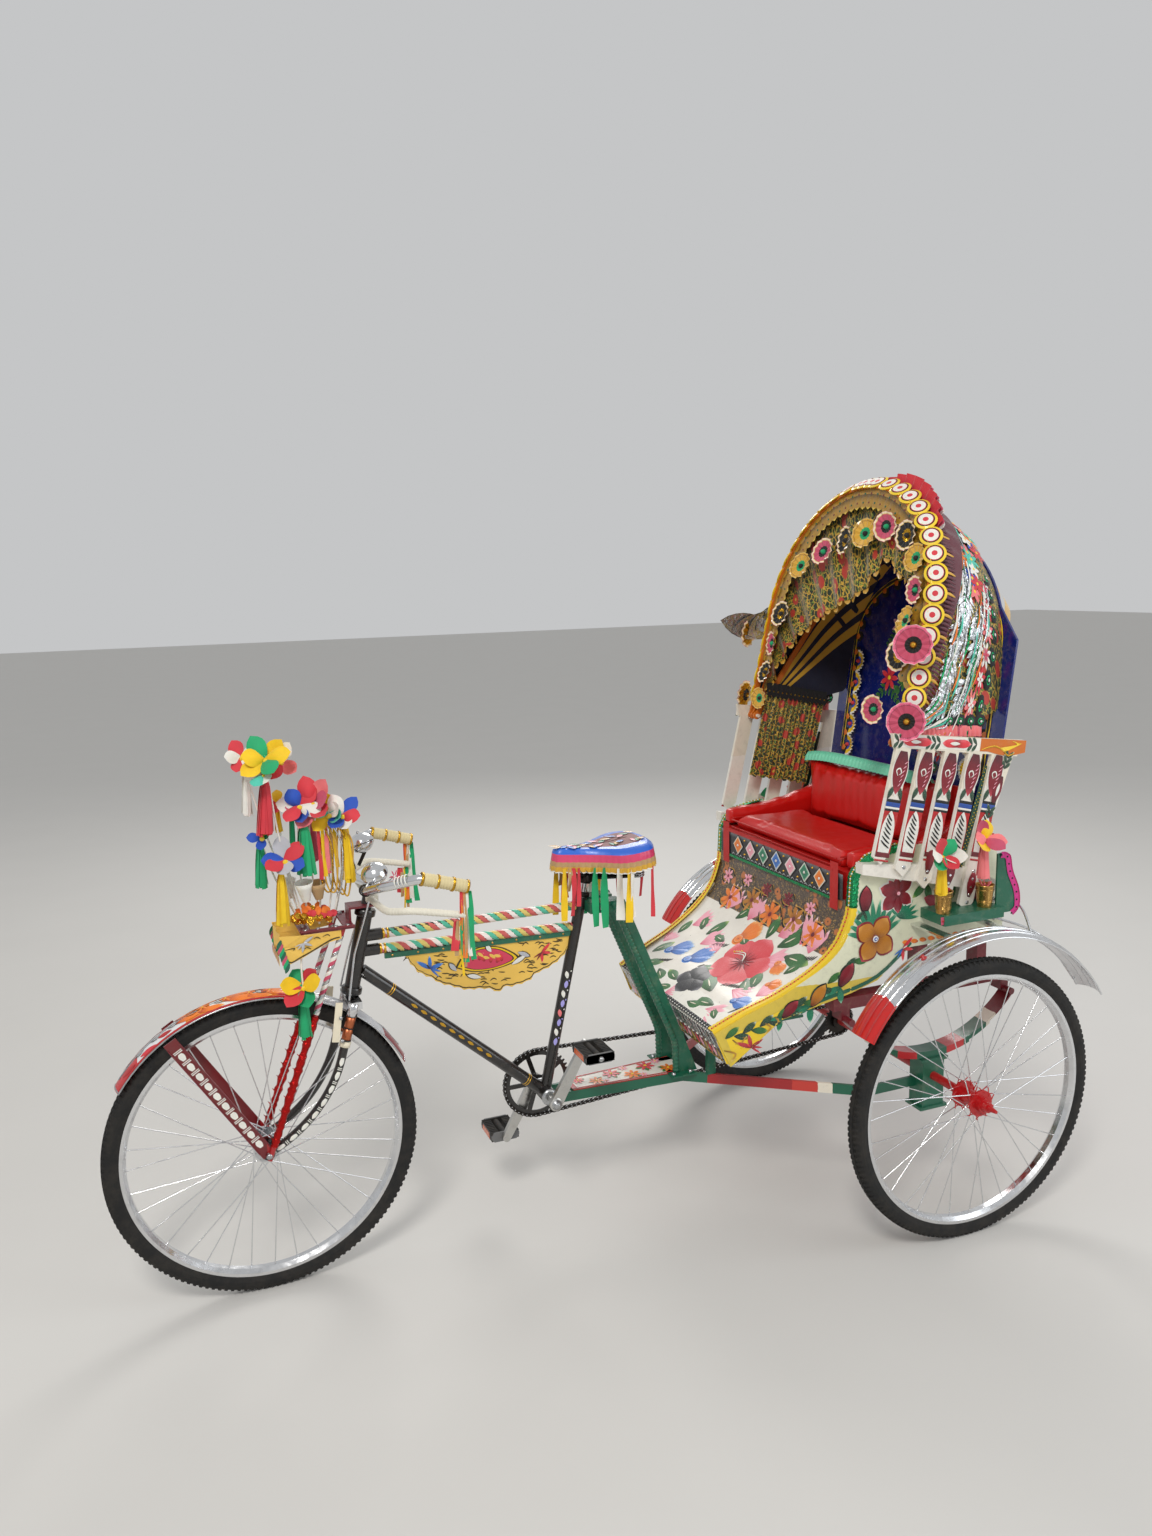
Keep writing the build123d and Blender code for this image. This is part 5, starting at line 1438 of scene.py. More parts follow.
class RickshawTray(bpy.types.Operator):
    """The painted footboard, its kickboard and the front of the seat."""

    bl_idname = "rickshaw.tray"
    bl_label = "Footboard paint"

    def execute(self, context):
        skin = tray_skin()
        paint = Shape("footboard_paint")

        def half_width(b):
            return 262 + 44 * min(1, b / 350)

        rows = [[skin(half_width(b) * k / 8, b, 0.5) for k in range(-8, 9)]
                for b in [2 + 12 * i for i in range(29)]]
        paint.grid(rows, "white", size=(33, 55), flip=True)
        rows = [[skin(half_width(b) * k / 8, b, 0.6) for k in range(-8, 9)]
                for b in [338 + 9 * i for i in range(13)]]
        rows += [[at(244, 308 * k / 8, z) for k in range(-8, 9)] for z in (806, 822, 840)]
        paint.grid(rows, "kick_print", size=(16, 60), flip=True)
        hib = (78, 214)
        for k in range(5):
            petal(paint, skin, hib, 0.2 + math.tau * k / 5, 98, 92, "hibiscus", 1.0 + 0.7 * (k % 2),
                  0.66, 9, 0.3, 2.2)
        for k in range(14):
            angle = math.tau * k / 14
            end = (hib[0] + math.cos(angle) * 38, hib[1] + math.sin(angle) * 38)
            stroke(paint, skin, [hib, end], 2.4, "maroon", 3.8)
        for shift in (0, 7):
            stroke(paint, skin, [hib, (hib[0] - 20, hib[1] + 18 + shift),
                                 (hib[0] - 56, hib[1] + 8 + shift)], 3.4, "paper_white", 5.0)
        beads(paint, skin, [(hib[0] - 40, hib[1] + 26), (hib[0] - 62, hib[1] + 14)], 6, 2.6, ["yellow"],
              5.0)

        def bell_flower(origin, angle, length, width, name, count=7):
            for k in range(count):
                t = k / (count - 1) - 0.5
                petal(paint, skin, origin, angle + t, length * (1 - 0.35 * abs(t)),
                      width / count * 2.4, name, 1.0 + 0.5 * (k % 2), 0.62, 6, 0.4, 1.2)
            dot(paint, skin, origin, width * 0.24, name, 1.8, 1.0)

        bell_flower((-24, 268), 1.15, 84, 92, "marigold", 9)
        bell_flower((-92, 134), 0.95, 84, 78, "bluebell")
        bell_flower((-190, 128), 0.75, 80, 72, "bluebell")
        bell_flower((206, 104), 0.3, 58, 50, "bluebell", 5)
        bell_flower((180, 262), -0.6, 50, 48, "marigold", 5)
        bell_flower((226, 196), 0.5, 44, 40, "marigold", 5)
        for k in range(5):
            petal(paint, skin, (16, 92), 0.9 + math.tau * k / 5, 60, 56, "night", 1.0 + 0.6 * (k % 2),
                  0.6, 7, 0.35, 1.4)
        for x, s, angle, size in (
            (112, 90, 2.7, 84), (172, 62, 3.4, 66), (200, 160, 2.2, 62), (126, 302, 0.9, 84),
            (178, 288, 0.1, 78), (62, 308, 1.7, 60), (24, 258, 2.6, 56), (-62, 240, 3.1, 52),
            (-150, 232, 1.2, 62), (-186, 238, 2.3, 60), (-110, 318, 1.0, 60), (-232, 92, 1.3, 58),
            (-208, 44, 0.6, 60), (-130, 60, -0.4, 60), (40, 160, 3.6, 58), (150, 180, -0.7, 62),
            (-30, 60, 2.9, 54), (232, 244, 1.3, 50), (-250, 190, 1.7, 50), (-62, 20, 0.3, 52),
            (84, 28, 0.2, 60), (226, 30, 2.6, 50),
        ):
            petal(paint, skin, (x, s), angle, size * 1.22, size * 0.6, "foliage", 0.9, 0.5, 7, 0.15, 1.0)
            tip = turned([(size * 0.28, 0), (size * 0.68, 0)], angle, (x, s))
            stroke(paint, skin, tip, size * 0.055, "cream", 2.4)
        for x, s, angle, size in (
            (240, 326, 1.8, 66), (130, 250, 0.5, 60), (96, 330, 0.8, 70), (190, 336, 1.4, 70),
            (-126, 196, 1.1, 64), (-40, 196, 2.6, 46), (160, 128, 0.2, 52), (-236, 236, 1.0, 60),
            (160, 34, 0.2, 60), (-60, 330, 1.5, 66), (-180, 330, 1.4, 66), (-10, 10, 0.9, 50),
            (240, 150, 1.4, 46), (-252, 140, 1.7, 44),
        ):
            for k in range(5):
                petal(paint, skin, (x, s), angle + (k - 2) * 0.28, size * 1.25, size * 0.27, "blush",
                      0.7 + 0.1 * k, 0.7, 4, 0.2, 0.6)
        for x, s, angle, count in ((212, 288, 0.4, 8), (112, 120, 0.35, 8), (-84, 210, 0.3, 6),
                                   (236, 66, 1.2, 6),
                                   (-30, 130, 0.2, 6), (-180, 70, 0.5, 6)):
            for k in range(count):
                base = turned([(k * 8.5, 0)], angle, (x, s))[0]
                stroke(paint, skin, [base, (base[0] + 10, base[1] + 19)], 4.4, "paper_black", 1.0)
        # Kickboard: round flowers and scrolls in brown, gold and orange
        for x, s, size, name in ((-196, 366, 44, "marigold"), (-96, 386, 40, "amber"),
                                 (10, 372, 44, "marigold"), (112, 388, 42, "amber"),
                                 (212, 374, 42, "marigold"), (-250, 420, 26, "blush"),
                                 (60, 430, 24, "tulip"), (-46, 430, 24, "tulip"),
                                 (164, 432, 24, "blush"),
                                 (-148, 434, 24, "blush")):
            flower(paint, skin, (x, s), size, 7, name, "maroon", 1.4)
            for k in range(2):
                swirl = [(x + (size + 6) * math.cos(t + math.pi * k),
                          s + (size + 6) * 0.7 * math.sin(t + math.pi * k)) for t in (0.2, 1.0, 1.9)]
                stroke(paint, skin, swirl, 5, "paper_black", 1.4)
                stroke(paint, skin, [(a + 3, b + 4) for a, b in swirl], 3, "gilt", 2.0)
        # The row of studs at the front edge
        rows = [[skin(264 * k / 6, b, 1.2) for k in range(-6, 7)] for b in (0, 13)]
        paint.grid(rows, "paper_black", flip=True)
        beads(paint, skin, [(-258, 4), (258, 4)], 12, 2.6, ["paper_white"], 1.6)
        beads(paint, skin, [(-258, 10), (258, 10)], 12, 2.0, ["silver_foil"], 1.6)
        paint.make("chassis")

        # The front of the seat: a dark patterned board with coloured blocks in a red frame
        board = Shape("seat_front_board")
        face = Skin(lambda a, b: at(SEAT_FRONT_X - 1, a, b), 1)
        board.grid([[face(60 * k, z, 1.0) for k in range(-5, 6)] for z in (836, 868, 902)], "night",
                   size=(1, 10), flip=True)
        colours = ["marigold", "blush", "jade", "bluebell", "blush", "jade", "marigold"]
        for k, name in enumerate(colours):
            y = -236 + 472 * (k + 0.5) / 7
            for grow, tone, lift in ((1.16, "paper_black", 2.0), (1.0, "paper_white", 2.6),
                                     (0.86, name, 3.2)):
                diamond = [(y - 26 * grow, 870), (y, 870 + 27 * grow), (y + 26 * grow, 870),
                           (y, 870 - 27 * grow)]
                blot(board, face, diamond, tone, lift, 2)
            dot(board, face, (y, 870), 5, "paper_white", 4.4)
            for s in (-1, 1):
                dot(board, face, (y + 34, 870 + 20 * s), 3.2, "gold", 3.0, 0.8, 8)
        for k in range(24):
            y = -236 + 20.5 * k
            stroke(board, face, [(y, 838), (y + 8, 843), (y + 16, 838)], 3, "silver_foil", 2.2)
        band(board, face, [(-252, 832), (252, 832)], 8, "green_foil", 3.0)
        for s in (-1, 1):
            board.grid([[at(SEAT_FRONT_X + 3, s * y, z) for y in (250, 266, 284)]
                        for z in range(808, 932, 8)], "trim_red", flip=s < 0)
        band(board, face, [(-262, 906), (262, 906)], 11, "trim_red", 4.0)
        board.make("chassis")

        # The apron under the footboard's front edge
        apron = Shape("apron_paint")
        foot = Vector((APRON_FOOT[0] - TRAY_CURVE[0][0], 0, APRON_FOOT[1] - TRAY_CURVE[0][1]))
        front = Skin(lambda a, b: at(TRAY_CURVE[0][0] + 0.5 + foot.x * b / 97, a,
                                     TRAY_CURVE[0][1] + foot.z * b / 97), -1)
        for k in range(23):
            y = -242 + 22 * k
            petal(apron, front, (y, 8), 1.35 + 0.2 * (k % 2), 44, 17, "silver_foil", 2, 0.5, 5, 0.3, 1.6)
            petal(apron, front, (y + 10, 50), 1.57, 36, 16, ("blush", "gilt", "hibiscus")[k % 3], 2.6,
                  0.6, 5, 0.3, 1.2)
            dot(apron, front, (y, 50), 4, "paper_white", 2.6, 1.2, 8)
        beads(apron, front, [(-250, 4), (250, 4)], 10, 2.6, ["paper_white"], 1.0)
        band(apron, front, [(-256, 92), (256, 92)], 9, "gold_foil", 1.6, 0.2, 60)
        apron.make("chassis")
        return {"FINISHED"}


class RickshawPanels(bpy.types.Operator):
    """The painted side panels with their beaded edge."""

    bl_idname = "rickshaw.panels"
    bl_label = "Side panels"

    def execute(self, context):
        for side, name in ((1, "left"), (-1, "right")):
            shape = Shape(f"panel_paint_{name}")
            skin = cast_skin(f"side_panel_{name}", side)
            blot(shape, skin, [(584, 524), (500, 556), (430, 582), (384, 586), (424, 558), (548, 460),
                               (560, 462)], "yellow", 0.6, 4)
            for points in (
                [(570, 500), (540, 488), (552, 470)], [(530, 530), (500, 520), (520, 500)],
                [(470, 560), (450, 545), (466, 530)],
                [(440, 570), (430, 560), (436, 552)], [(548, 525), (530, 512), (512, 530)],
            ):
                stroke(shape, skin, points, 5, "gilt", 1.6)
            swallow(shape, skin, (500, 500), 44, ("swallow", "swallow", "hibiscus"), 0.4)
            # Leaves under the edge
            for k in range(16):
                t = k / 15
                x, z = 566 - 330 * t, 530 + 44 * t + 116 * t * t
                petal(shape, skin, (x, z), 2.5 + 0.8 * (k % 2), 44, 18, "dark_leaf" if k % 3
                      else "foliage", 1.0, 0.5, 5, 0.15, 1)
            for x, z, angle, size, tone in ((421, 566, 2.4, 54, "tulip"), (346, 586, 2.2, 62, "amber"),
                                            (270, 628, 2.1, 64, "tulip")):
                petal(shape, skin, (x, z), angle, size * 1.12, size * 0.6, "paper_black", 1.0, 0.5, 7,
                      0.3, 1.0)
                petal(shape, skin, (x - 2, z + 2), angle, size, size * 0.48, tone, 2.0, 0.5, 7, 0.3, 1.6)
                leaf_pair(shape, skin, (x, z), angle + 3.1, size * 0.7, "jade")
            stroke(shape, skin, [(62, 712), (161, 640), (288, 606), (420, 572)], 10, "green", 1.0, False)
            # Four-petalled flower, buds and bow
            centre = (172, 738)
            for k in range(11):
                angle = 1.0 + 0.24 * (k - 3)
                petal(shape, skin, centre, angle, 104 - 3 * abs(k - 5), 15, "jade", 0.8 + 0.05 * k, 0.5,
                      6, 0.4, 0.6)
            for k in range(9):
                petal(shape, skin, (96, 780), 2.0 + 0.3 * (k - 4), 58, 10, "jade", 0.9, 0.5, 5, 0.4, 0.6)
            for k in range(4):
                angle = 0.62 + math.tau * k / 4
                petal(shape, skin, centre, angle, 66, 56, "tulip", 1.6 + 0.3 * (k % 2), 0.55, 8, 0.3, 1.2)
                petal(shape, skin, centre, angle, 60, 48, "amber", 2.8 + 0.3 * (k % 2), 0.55, 8, 0.3, 1.6)
            ring_disc(shape, skin, centre, 15, [(1.0, "maroon"), (0.82, "paper_white"),
                                                (0.5, "paper_blue"), (0.26, "paper_white")], 4.6, 12)
            petal(shape, skin, (203, 812), 1.62, 66, 40, "paper_black", 1.2, 0.5, 7, 0.5, 1)
            petal(shape, skin, (203, 815), 1.62, 60, 33, "tulip", 2.2, 0.5, 7, 0.5, 1.6)
            leaf_pair(shape, skin, (205, 812), -1.3, 34, "dark_leaf")
            bow = (106, 846)
            for angle, length, width in ((0.35, 56, 34), (2.4, 54, 34), (-0.7, 58, 38), (-2.5, 50, 30),
                                         (1.4, 40, 24), (-1.6, 52, 26), (0.9, 46, 18)):
                petal(shape, skin, bow, angle, length * 1.1, width * 1.2, "paper_white", 1.2, 0.55, 6,
                      0.3, 0.8)
                petal(shape, skin, bow, angle, length, width, "tulip", 2.2, 0.55, 6, 0.3, 1.6)
            ring_disc(shape, skin, bow, 12, [(1.0, "maroon"), (0.6, "blush")], 4.4, 12)
            for x, z, angle in ((20, 860, 2.2), (-60, 860, 1.2), (-140, 850, 1.9), (-30, 800, 0.4),
                                (-100, 790, 2.6), (-180, 780, 1.6)):
                petal(shape, skin, (x, z), angle, 60, 30, "tulip", 1.4, 0.55, 6, 0.3, 1.2)
                leaf_pair(shape, skin, (x, z), angle + 2.8, 52, "foliage")
            swallow(shape, skin, (86, 700), 40, ("hibiscus", "bluebell", "paper_white"), 2.4)
            for x in range(-220, 90, 26):
                petal(shape, skin, (x, 712), 0.2, 24, 12, "marigold" if x % 52 else "blush", 1.0, 0.5, 4,
                      0.3, 0.8)
            shape.make("chassis")

            # The edge: yellow with red beads along the curve, green glitter up the arm
            trim = Shape(f"panel_edge_{name}")
            line = smooth_path([Vector((x + 3, 0, z + 4)) for x, z in TRAY_CURVE], 8)
            line += [Vector((x, 0, z)) for x, z in ((240, 830), (238, 870), (236, 902), (218, 930),
                                                    (197, 948), (150, 960), (100, 966))]
            line = resample(line, 130)

            def edge_place(k):
                ahead = (line[min(k + 1, 129)] - line[max(k - 1, 0)]).normalized()
                normal = Vector((-ahead.z, 0, ahead.x))
                return line[k], normal if normal.z + normal.x > 0 else -normal, body_edge(line[k].x)

            for start, stop, cover, bead in (
                (0, 88, "yellow", "paper_red"), (86, 130, "green_foil", "paper_white"),
            ):
                rows = []
                for k in range(start, stop):
                    p, normal, edge = edge_place(k)
                    bump = 2.5 * (k % 2)
                    rows.append([at(p.x + normal.x * h, side * (edge + o), p.z + normal.z * h)
                                 for h, o in ((-13 - bump, 1.6), (-4, 2.4), (2.8, 1.6), (3.6, -8),
                                              (3.2, -20 - bump))])
                trim.grid(rows, cover, size=(60, 1), smooth=False, flip=side > 0)
                for k in range(start + 1, stop - 1):
                    p, normal, edge = edge_place(k)
                    centre = at(p.x + normal.x * 3.4, side * (edge - 9), p.z + normal.z * 3.4)
                    trim.lathe([(0, 2.6), (1.8, 2.2), (2.7, 0.8), (2.7, 0)], centre, normal,
                               bead if k % 2 else "gold", 6)
            trim.make("chassis")
        return {"FINISHED"}


class RickshawSlats(bpy.types.Operator):
    """The painted slats, their beam and brace, and the shelf's cups with paper tassels."""

    bl_idname = "rickshaw.slats"
    bl_label = "Slats and cups"

    def execute(self, context):
        outer = SLAT_Y + SLAT_T
        for side, name in ((1, "left"), (-1, "right")):
            shape = Shape(f"slat_paint_{name}")

            def strip(low, high, y=outer):
                """A skin along a straight bar from low to high: a across it, b along it."""
                step = Vector((high[0] - low[0], high[1] - low[1])).normalized()
                return Skin(lambda a, b: at(low[0] + step.x * b + step.y * a, side * y,
                                            low[1] + step.y * b - step.x * a), -side)

            for k in range(5):
                top_x = 126 - 72.5 * k
                top_z = 1216 - (160 - top_x) * 0.115
                low_z = 948 - 38 * k
                low = (top_x + (top_z - low_z) * math.tan(SLAT_LEAN), low_z)
                skin = strip(low, (top_x, top_z))
                size = (top_z - low_z) / math.cos(SLAT_LEAN)
                rows = [[skin(a, size - b, 0.5) for a in (-21, 0, 21)] for b in (254, 200, 142)]
                shape.grid(rows, "red", flip=side > 0)
                petal(shape, skin, (0, size - 4), -math.pi / 2, 112, 47, "paper_white", 0.8, 0.42, 9,
                      0.5, 0.6)
                petal(shape, skin, (0, size - 4), -math.pi / 2, 106, 41, "tulip", 1.6, 0.42, 9, 0.5, 1.6)
                for j in range(6):
                    stroke(shape, skin, [(-17 + 2 * j, size - 26 - 11 * j),
                                         (-8 + 1.5 * j, size - 34 - 11 * j)], 2.2, "blush", 3.4)
                stroke(shape, skin, [(6, size - 64), (12, size - 52), (3, size - 46), (-3, size - 56),
                                     (3, size - 62)], 3.4, "paper_white", 3.6)
                for s in (-1, 1):
                    petal(shape, skin, (s * 20, size - 122), math.pi / 2 + s * 0.35, 36, 13, "dark_leaf",
                          1.2, 0.5, 5, 0.2, 0.8)
                for b, wide, tone in ((size - 126, 8, "paper_black"), (size - 134, 12, "blue"),
                                      (size - 143, 5, "paper_white"), (size - 148, 6, "paper_black")):
                    band(shape, skin, [(-21, b), (21, b)], wide, tone, 0.9)
                petal(shape, skin, (0, size - 252), math.pi / 2, 104, 38, "paper_white", 1.2, 0.5, 8,
                      0.85, 0.8)
                for j in range(7):
                    b = size - 240 + 11 * j
                    stroke(shape, skin, [(-13 + j, b), (2, b + 8), (14 - j, b + 17)], 4.6, "paper_black",
                           2.4)
                band(shape, skin, [(-21, size - 258), (21, size - 258)], 12, "maroon", 1.0)
                band(shape, skin, [(-21, size - 272), (21, size - 272)], 5, "red", 1.0)
                for b in range(12, int(size - 280), 20):
                    dot(shape, skin, (0, b), 5.5, "silver_foil", 1.2, 1.6, 8)
                if size > 330:
                    petal(shape, skin, (0, 26), math.pi / 2, 70, 26, "tulip", 1.4, 0.5, 6, 0.3, 1)
            beam = strip((-240, 1190), (160, 1236))
            ground = [[beam(a, b, 0.5) for a in (-15, 0, 15)] for b in range(120, 402, 40)]
            shape.grid(ground, "white", flip=side > 0)
            for b in (212, 330):
                for angle in (math.pi / 2, -math.pi / 2):
                    petal(shape, beam, (0, b), angle, 50, 26, "paper_white", 0.8, 0.5, 6, 0.9, 0.5)
                    petal(shape, beam, (0, b), angle, 44, 21, "hibiscus", 1.6, 0.5, 6, 0.9, 1.2)
                petal(shape, beam, (0, b - 8), math.pi / 2, 30, 9, "paper_white", 3.2)
            for b in (150, 164, 262, 276, 290, 372, 386):
                for s in (-1, 1):
                    petal(shape, beam, (0, b), math.pi / 2 + s * 0.9, 24, 9, "dark_leaf", 1.2)
            rows = [[beam(a * (1.0 + 0.5 * math.sin(math.pi * min(1, b / 110))) if a > 0 else a, b, 0.8)
                     for a in (-16, 0, 16)] for b in range(-6, 140, 12)]
            shape.grid(rows, "orange", flip=side > 0)
            for k in range(9):
                stroke(shape, beam, [(16 - k * 1.2, 62 + 2 * k), (4 - k, 36 - 2 * k),
                                     (-8 - k * 0.6, 8 + 4 * k)], 2.6, "yellow", 2.0)
            stroke(shape, beam, [(18, 30), (24, 48), (14, 60), (10, 46)], 4, "gold", 2.4)
            stroke(shape, beam, [(10, 66), (2, 96), (12, 134)], 4, "gold", 2.0)
            brace = strip((-125, 1000), (-195, 1180), outer + 0.8)
            for angle, b in ((math.pi / 2, 60), (-math.pi / 2, 130)):
                petal(shape, brace, (0, b), angle, 66, 26, "tulip", 1.4, 0.55, 7, 0.4, 1.2)
            petal(shape, brace, (0, 78), math.pi / 2, 34, 9, "paper_white", 3.0)
            for b in (20, 34, 150, 164, 178):
                for s in (-1, 1):
                    petal(shape, brace, (0, b), math.pi / 2 + s * 0.6, 24, 9, "dark_leaf", 1.2)
            speckled = strip((-56, 900), (-142, 1176), outer - 7)
            shape.grid([[speckled(a, b, 0) for a in (-9, 0, 9)] for b in range(0, 290, 29)],
                       "dark_green", flip=side > 0)
            for j in range(60):
                dot(shape, speckled, (((j * 7) % 15) - 7, 4 + 4.7 * j), 1.5, "paper_yellow", 0.8, 0.4, 5)
            shape.make("chassis")

            # Cups, blocks under them, paper tassels and the strip on the shelf's rear edge
            goods = Shape(f"shelf_goods_{name}")
            y = side * 394
            rng = random.Random(21 + side)
            for x, z, tone, hang in ((18, 800, "paper_yellow", 948), (-110, 800, "paper_pink", 974)):
                goods.lathe([(17, 0.5), (22.5, 54), (23.4, 55), (23.4, 57.5), (22, 57.5), (20, 53)],
                            at(x, y, z), (0, 0, 1), "brass", 24)
                for ring in (12, 16, 44):
                    r = 17 + 5.5 * ring / 54 + 0.5
                    goods.lathe([(r, ring), (r + 0.7, ring + 1), (r, ring + 2)], at(x, y, z), (0, 0, 1),
                                "brass", 24)
                corners = [(x - 24, z - 22), (x + 24, z - 22), (x + 26, z - 2), (x - 26, z - 2)]
                face = Skin(lambda a, b: at(a, side * 416.5, b), -side)
                blot(goods, face, corners, "paper_rose", 1.0, 1)
                band(goods, face, [(x - 22, z - 12), (x + 22, z - 12)], 5, "red", 1.8)
                for k in range(10):
                    angle = k * 2.4
                    tip = at(x + 16 * math.cos(angle), y + 14 * math.sin(angle),
                             z + 58 + rng.uniform(2, 12))
                    goods.tube([at(x, y, z + 40), tip], 0.0016, "paper_red" if tone == "paper_yellow"
                               else "paper_pink", 5)
                tassel(goods, at(x + 14, y + side * 8, hang), 100, 34, tone, 15, rng)
                paper_petals(goods, at(x + 14, y + side * 10, hang), Vector((0.2, side, 0.5)), 40,
                             ("paper_white", "paper_red", "paper_green") if tone == "paper_yellow"
                             else ("paper_pink", "paper_rose", "paper_yellow"), rng)
                goods.tube([at(x + 14, y, hang), at(x + 6, side * 372, hang + 22)], 0.0012, "dark_steel", 5)
            wing = [(-160, 932), (-180, 925), (-190, 885), (-212, 835), (-216, 792), (-200, 776)]
            board = smooth_pairs(wing, 5)
            goods.plate(board + [(-146, 776), (-146, 930)], lambda a, b, d: at(a, side * (391 + d), b),
                        5, "green")
            rows = [[at(x - 2, y + dy, z) for dy in (-7, 0, 7)] for x, z in board]
            goods.grid(rows, "paper_magenta", size=(8, 1), flip=side > 0)
            rear = Skin(lambda a, b: at(a, side * 397, b), -side)
            line = [(x + 5, z - 4) for x, z in wing]
            band(goods, rear, smooth_pairs(line, 5), 16, "paper_magenta", 0.8)
            beads(goods, rear, line, 17, 3, ["paper_black"], 1.8)
            goods.make("chassis")
        return {"FINISHED"}


def tassel(shape, top, length, width, name, strips, rng, lean=(0, 0, 0)):
    """Paper strips that hang from a knot and spread; sizes in millimetres."""
    down = (Vector((0, 0, -1)) + Vector(lean)).normalized()
    for k in range(strips):
        angle = math.tau * k / strips + rng.uniform(-0.2, 0.2)
        out = Vector((math.cos(angle), math.sin(angle), 0))
        reach = width / 2 * rng.uniform(0.55, 1.0)
        run = length * rng.uniform(0.90, 1.0)
        across = Vector((-out.y, out.x, 0)) * min(0.0042, width / 7000)
        path = [
            top + out * 0.004, top + out * reach * 0.5 / 1000 + down * run * 0.14 / 1000,
            top + out * reach * 0.72 / 1000 + down * run * 0.5 / 1000,
            top + out * (reach + rng.uniform(-2, 2)) / 1000 + down * run / 1000,
        ]
        line = smooth_path(path, 3)
        bend = rng.uniform(-0.6, 0.6)
        shape.ribbon(line, lambda t: across * (1 + 0.2 * t) + out * 0.0012 * math.sin(bend + 3 * t), name)
    core = [(0, 3), (5, 2), (6.5, -4), (5, -8), (width * 0.22, -length * 0.2),
            (width * 0.33, -length * 0.55), (width * 0.4, -length * 0.93)]
    shape.lathe(core, top, -down, name, 14)


def paper_petals(shape, centre, aim, size, names, rng, count=6):
    """A bunch of large folded paper petals round a centre."""
    aim = Vector(aim).normalized()
    side = aim.cross(Vector((0, 0, 1)))
    side = side.normalized() if side.length > 0.1 else Vector((1, 0, 0))
    up = side.cross(aim)
    for k in range(count):
        turn = math.tau * k / count + rng.uniform(-0.3, 0.3)
        tilt = rng.uniform(-0.1, 0.75)
        grow = (side * math.cos(turn) + up * math.sin(turn)) * math.cos(tilt) + aim * math.sin(tilt)
        wide = aim.cross(grow).normalized()
        flat = Skin(lambda a, b, g=grow, w=wide: centre + (g * a + w * b) / 1000, 1)
        petal(shape, flat, (2, 0), 0.0, size * rng.uniform(1.05, 1.45), size * 0.95,
              names[k % len(names)], 0.5 + 0.6 * k, 0.58, 7, 0.3,
              size * rng.uniform(-0.3, 0.3))


# Bicycle half
def head_x(z):
    """X on the steering axis at a height."""
    slope = (HEAD_TOP[0] - HEAD_BOTTOM[0]) / (HEAD_TOP[1] - HEAD_BOTTOM[1])
    return HEAD_TOP[0] + slope * (z - HEAD_TOP[1])


def seat_x(z):
    """X on the seat tube's axis at a height."""
    return BRACKET[0] + (SEAT_LUG[0] - BRACKET[0]) / (SEAT_LUG[1] - BRACKET[1]) * (z - BRACKET[1])


def rod_skin(start, end, radius, facing):
    """A bar's surface: a round it in millimetres from the side it faces, b along it from its start."""
    axis = (end - start).normalized()
    front = (Vector(facing) - axis * Vector(facing).dot(axis)).normalized()
    side = axis.cross(front)

    def point(a, b):
        turn = a / radius
        return start + axis * b / 1000 + (front * math.cos(turn) + side * math.sin(turn)) * radius / 1000
    return Skin(point, 1)


def spiral(shape, start, end, radius, turn_length, names):
    """Tapes of several colours wound side by side round a bar."""
    axis = end - start
    length = axis.length * 1000
    axis.normalize()
    side = axis.orthogonal().normalized()
    other = axis.cross(side)
    steps = max(8, int(length / turn_length * 10))
    for index, name in enumerate(names):
        rows = []
        for i in range(steps + 1):
            base = math.tau * (length / turn_length * i / steps + index / len(names))
            row = []
            for k in range(5):
                turn = base + math.tau * k / 4 / len(names)
                lift = radius + 0.7 * math.sin(math.pi * k / 4)
                across = side * math.cos(turn) + other * math.sin(turn)
                row.append(start + axis * length / 1000 * i / steps + across * lift / 1000)
            rows.append(row)
        shape.grid(rows, name, size=(length / 30, 1), flip=True)


def wound(shape, path, radius, ridge, pitch, name, sides=12):
    """A cord wound tightly along a bar, as a tube with a ridge for each turn."""
    length = sum((q - p).length for p, q in zip(path, path[1:])) * 1000
    count = max(12, int(length / pitch) * 4)
    line = resample(path, count)
    shape.tube(line, lambda t: (radius + ridge * abs(math.sin(math.pi * t * length / pitch))) / 1000,
               name, sides)


def streamer(shape, top, length, width, name, rng, lean=(0, 0, 0)):
    """A hanging strip of ribbon, slightly twisted; sizes in millimetres."""
    facing = Vector((0, 1, 0))
    down = (Vector((0, 0, -1)) + Vector(lean)).normalized()
    across = facing.cross(down).normalized()
    phase = rng.uniform(0, 6)
    path = []
    for k in range(9):
        t = k / 8
        sway = facing * 4 * math.sin(phase + 4 * t) * t + across * 3 * math.sin(phase * 2 + 3 * t) * t
        path.append(top + down * length * t / 1000 + sway / 1000)
    half = width / 2000
    shape.ribbon(path, lambda t: across * half * (0.7 + 0.3 * min(1, 4 * t))
                 + facing * half * 0.5 * math.sin(phase + 5 * t), name)


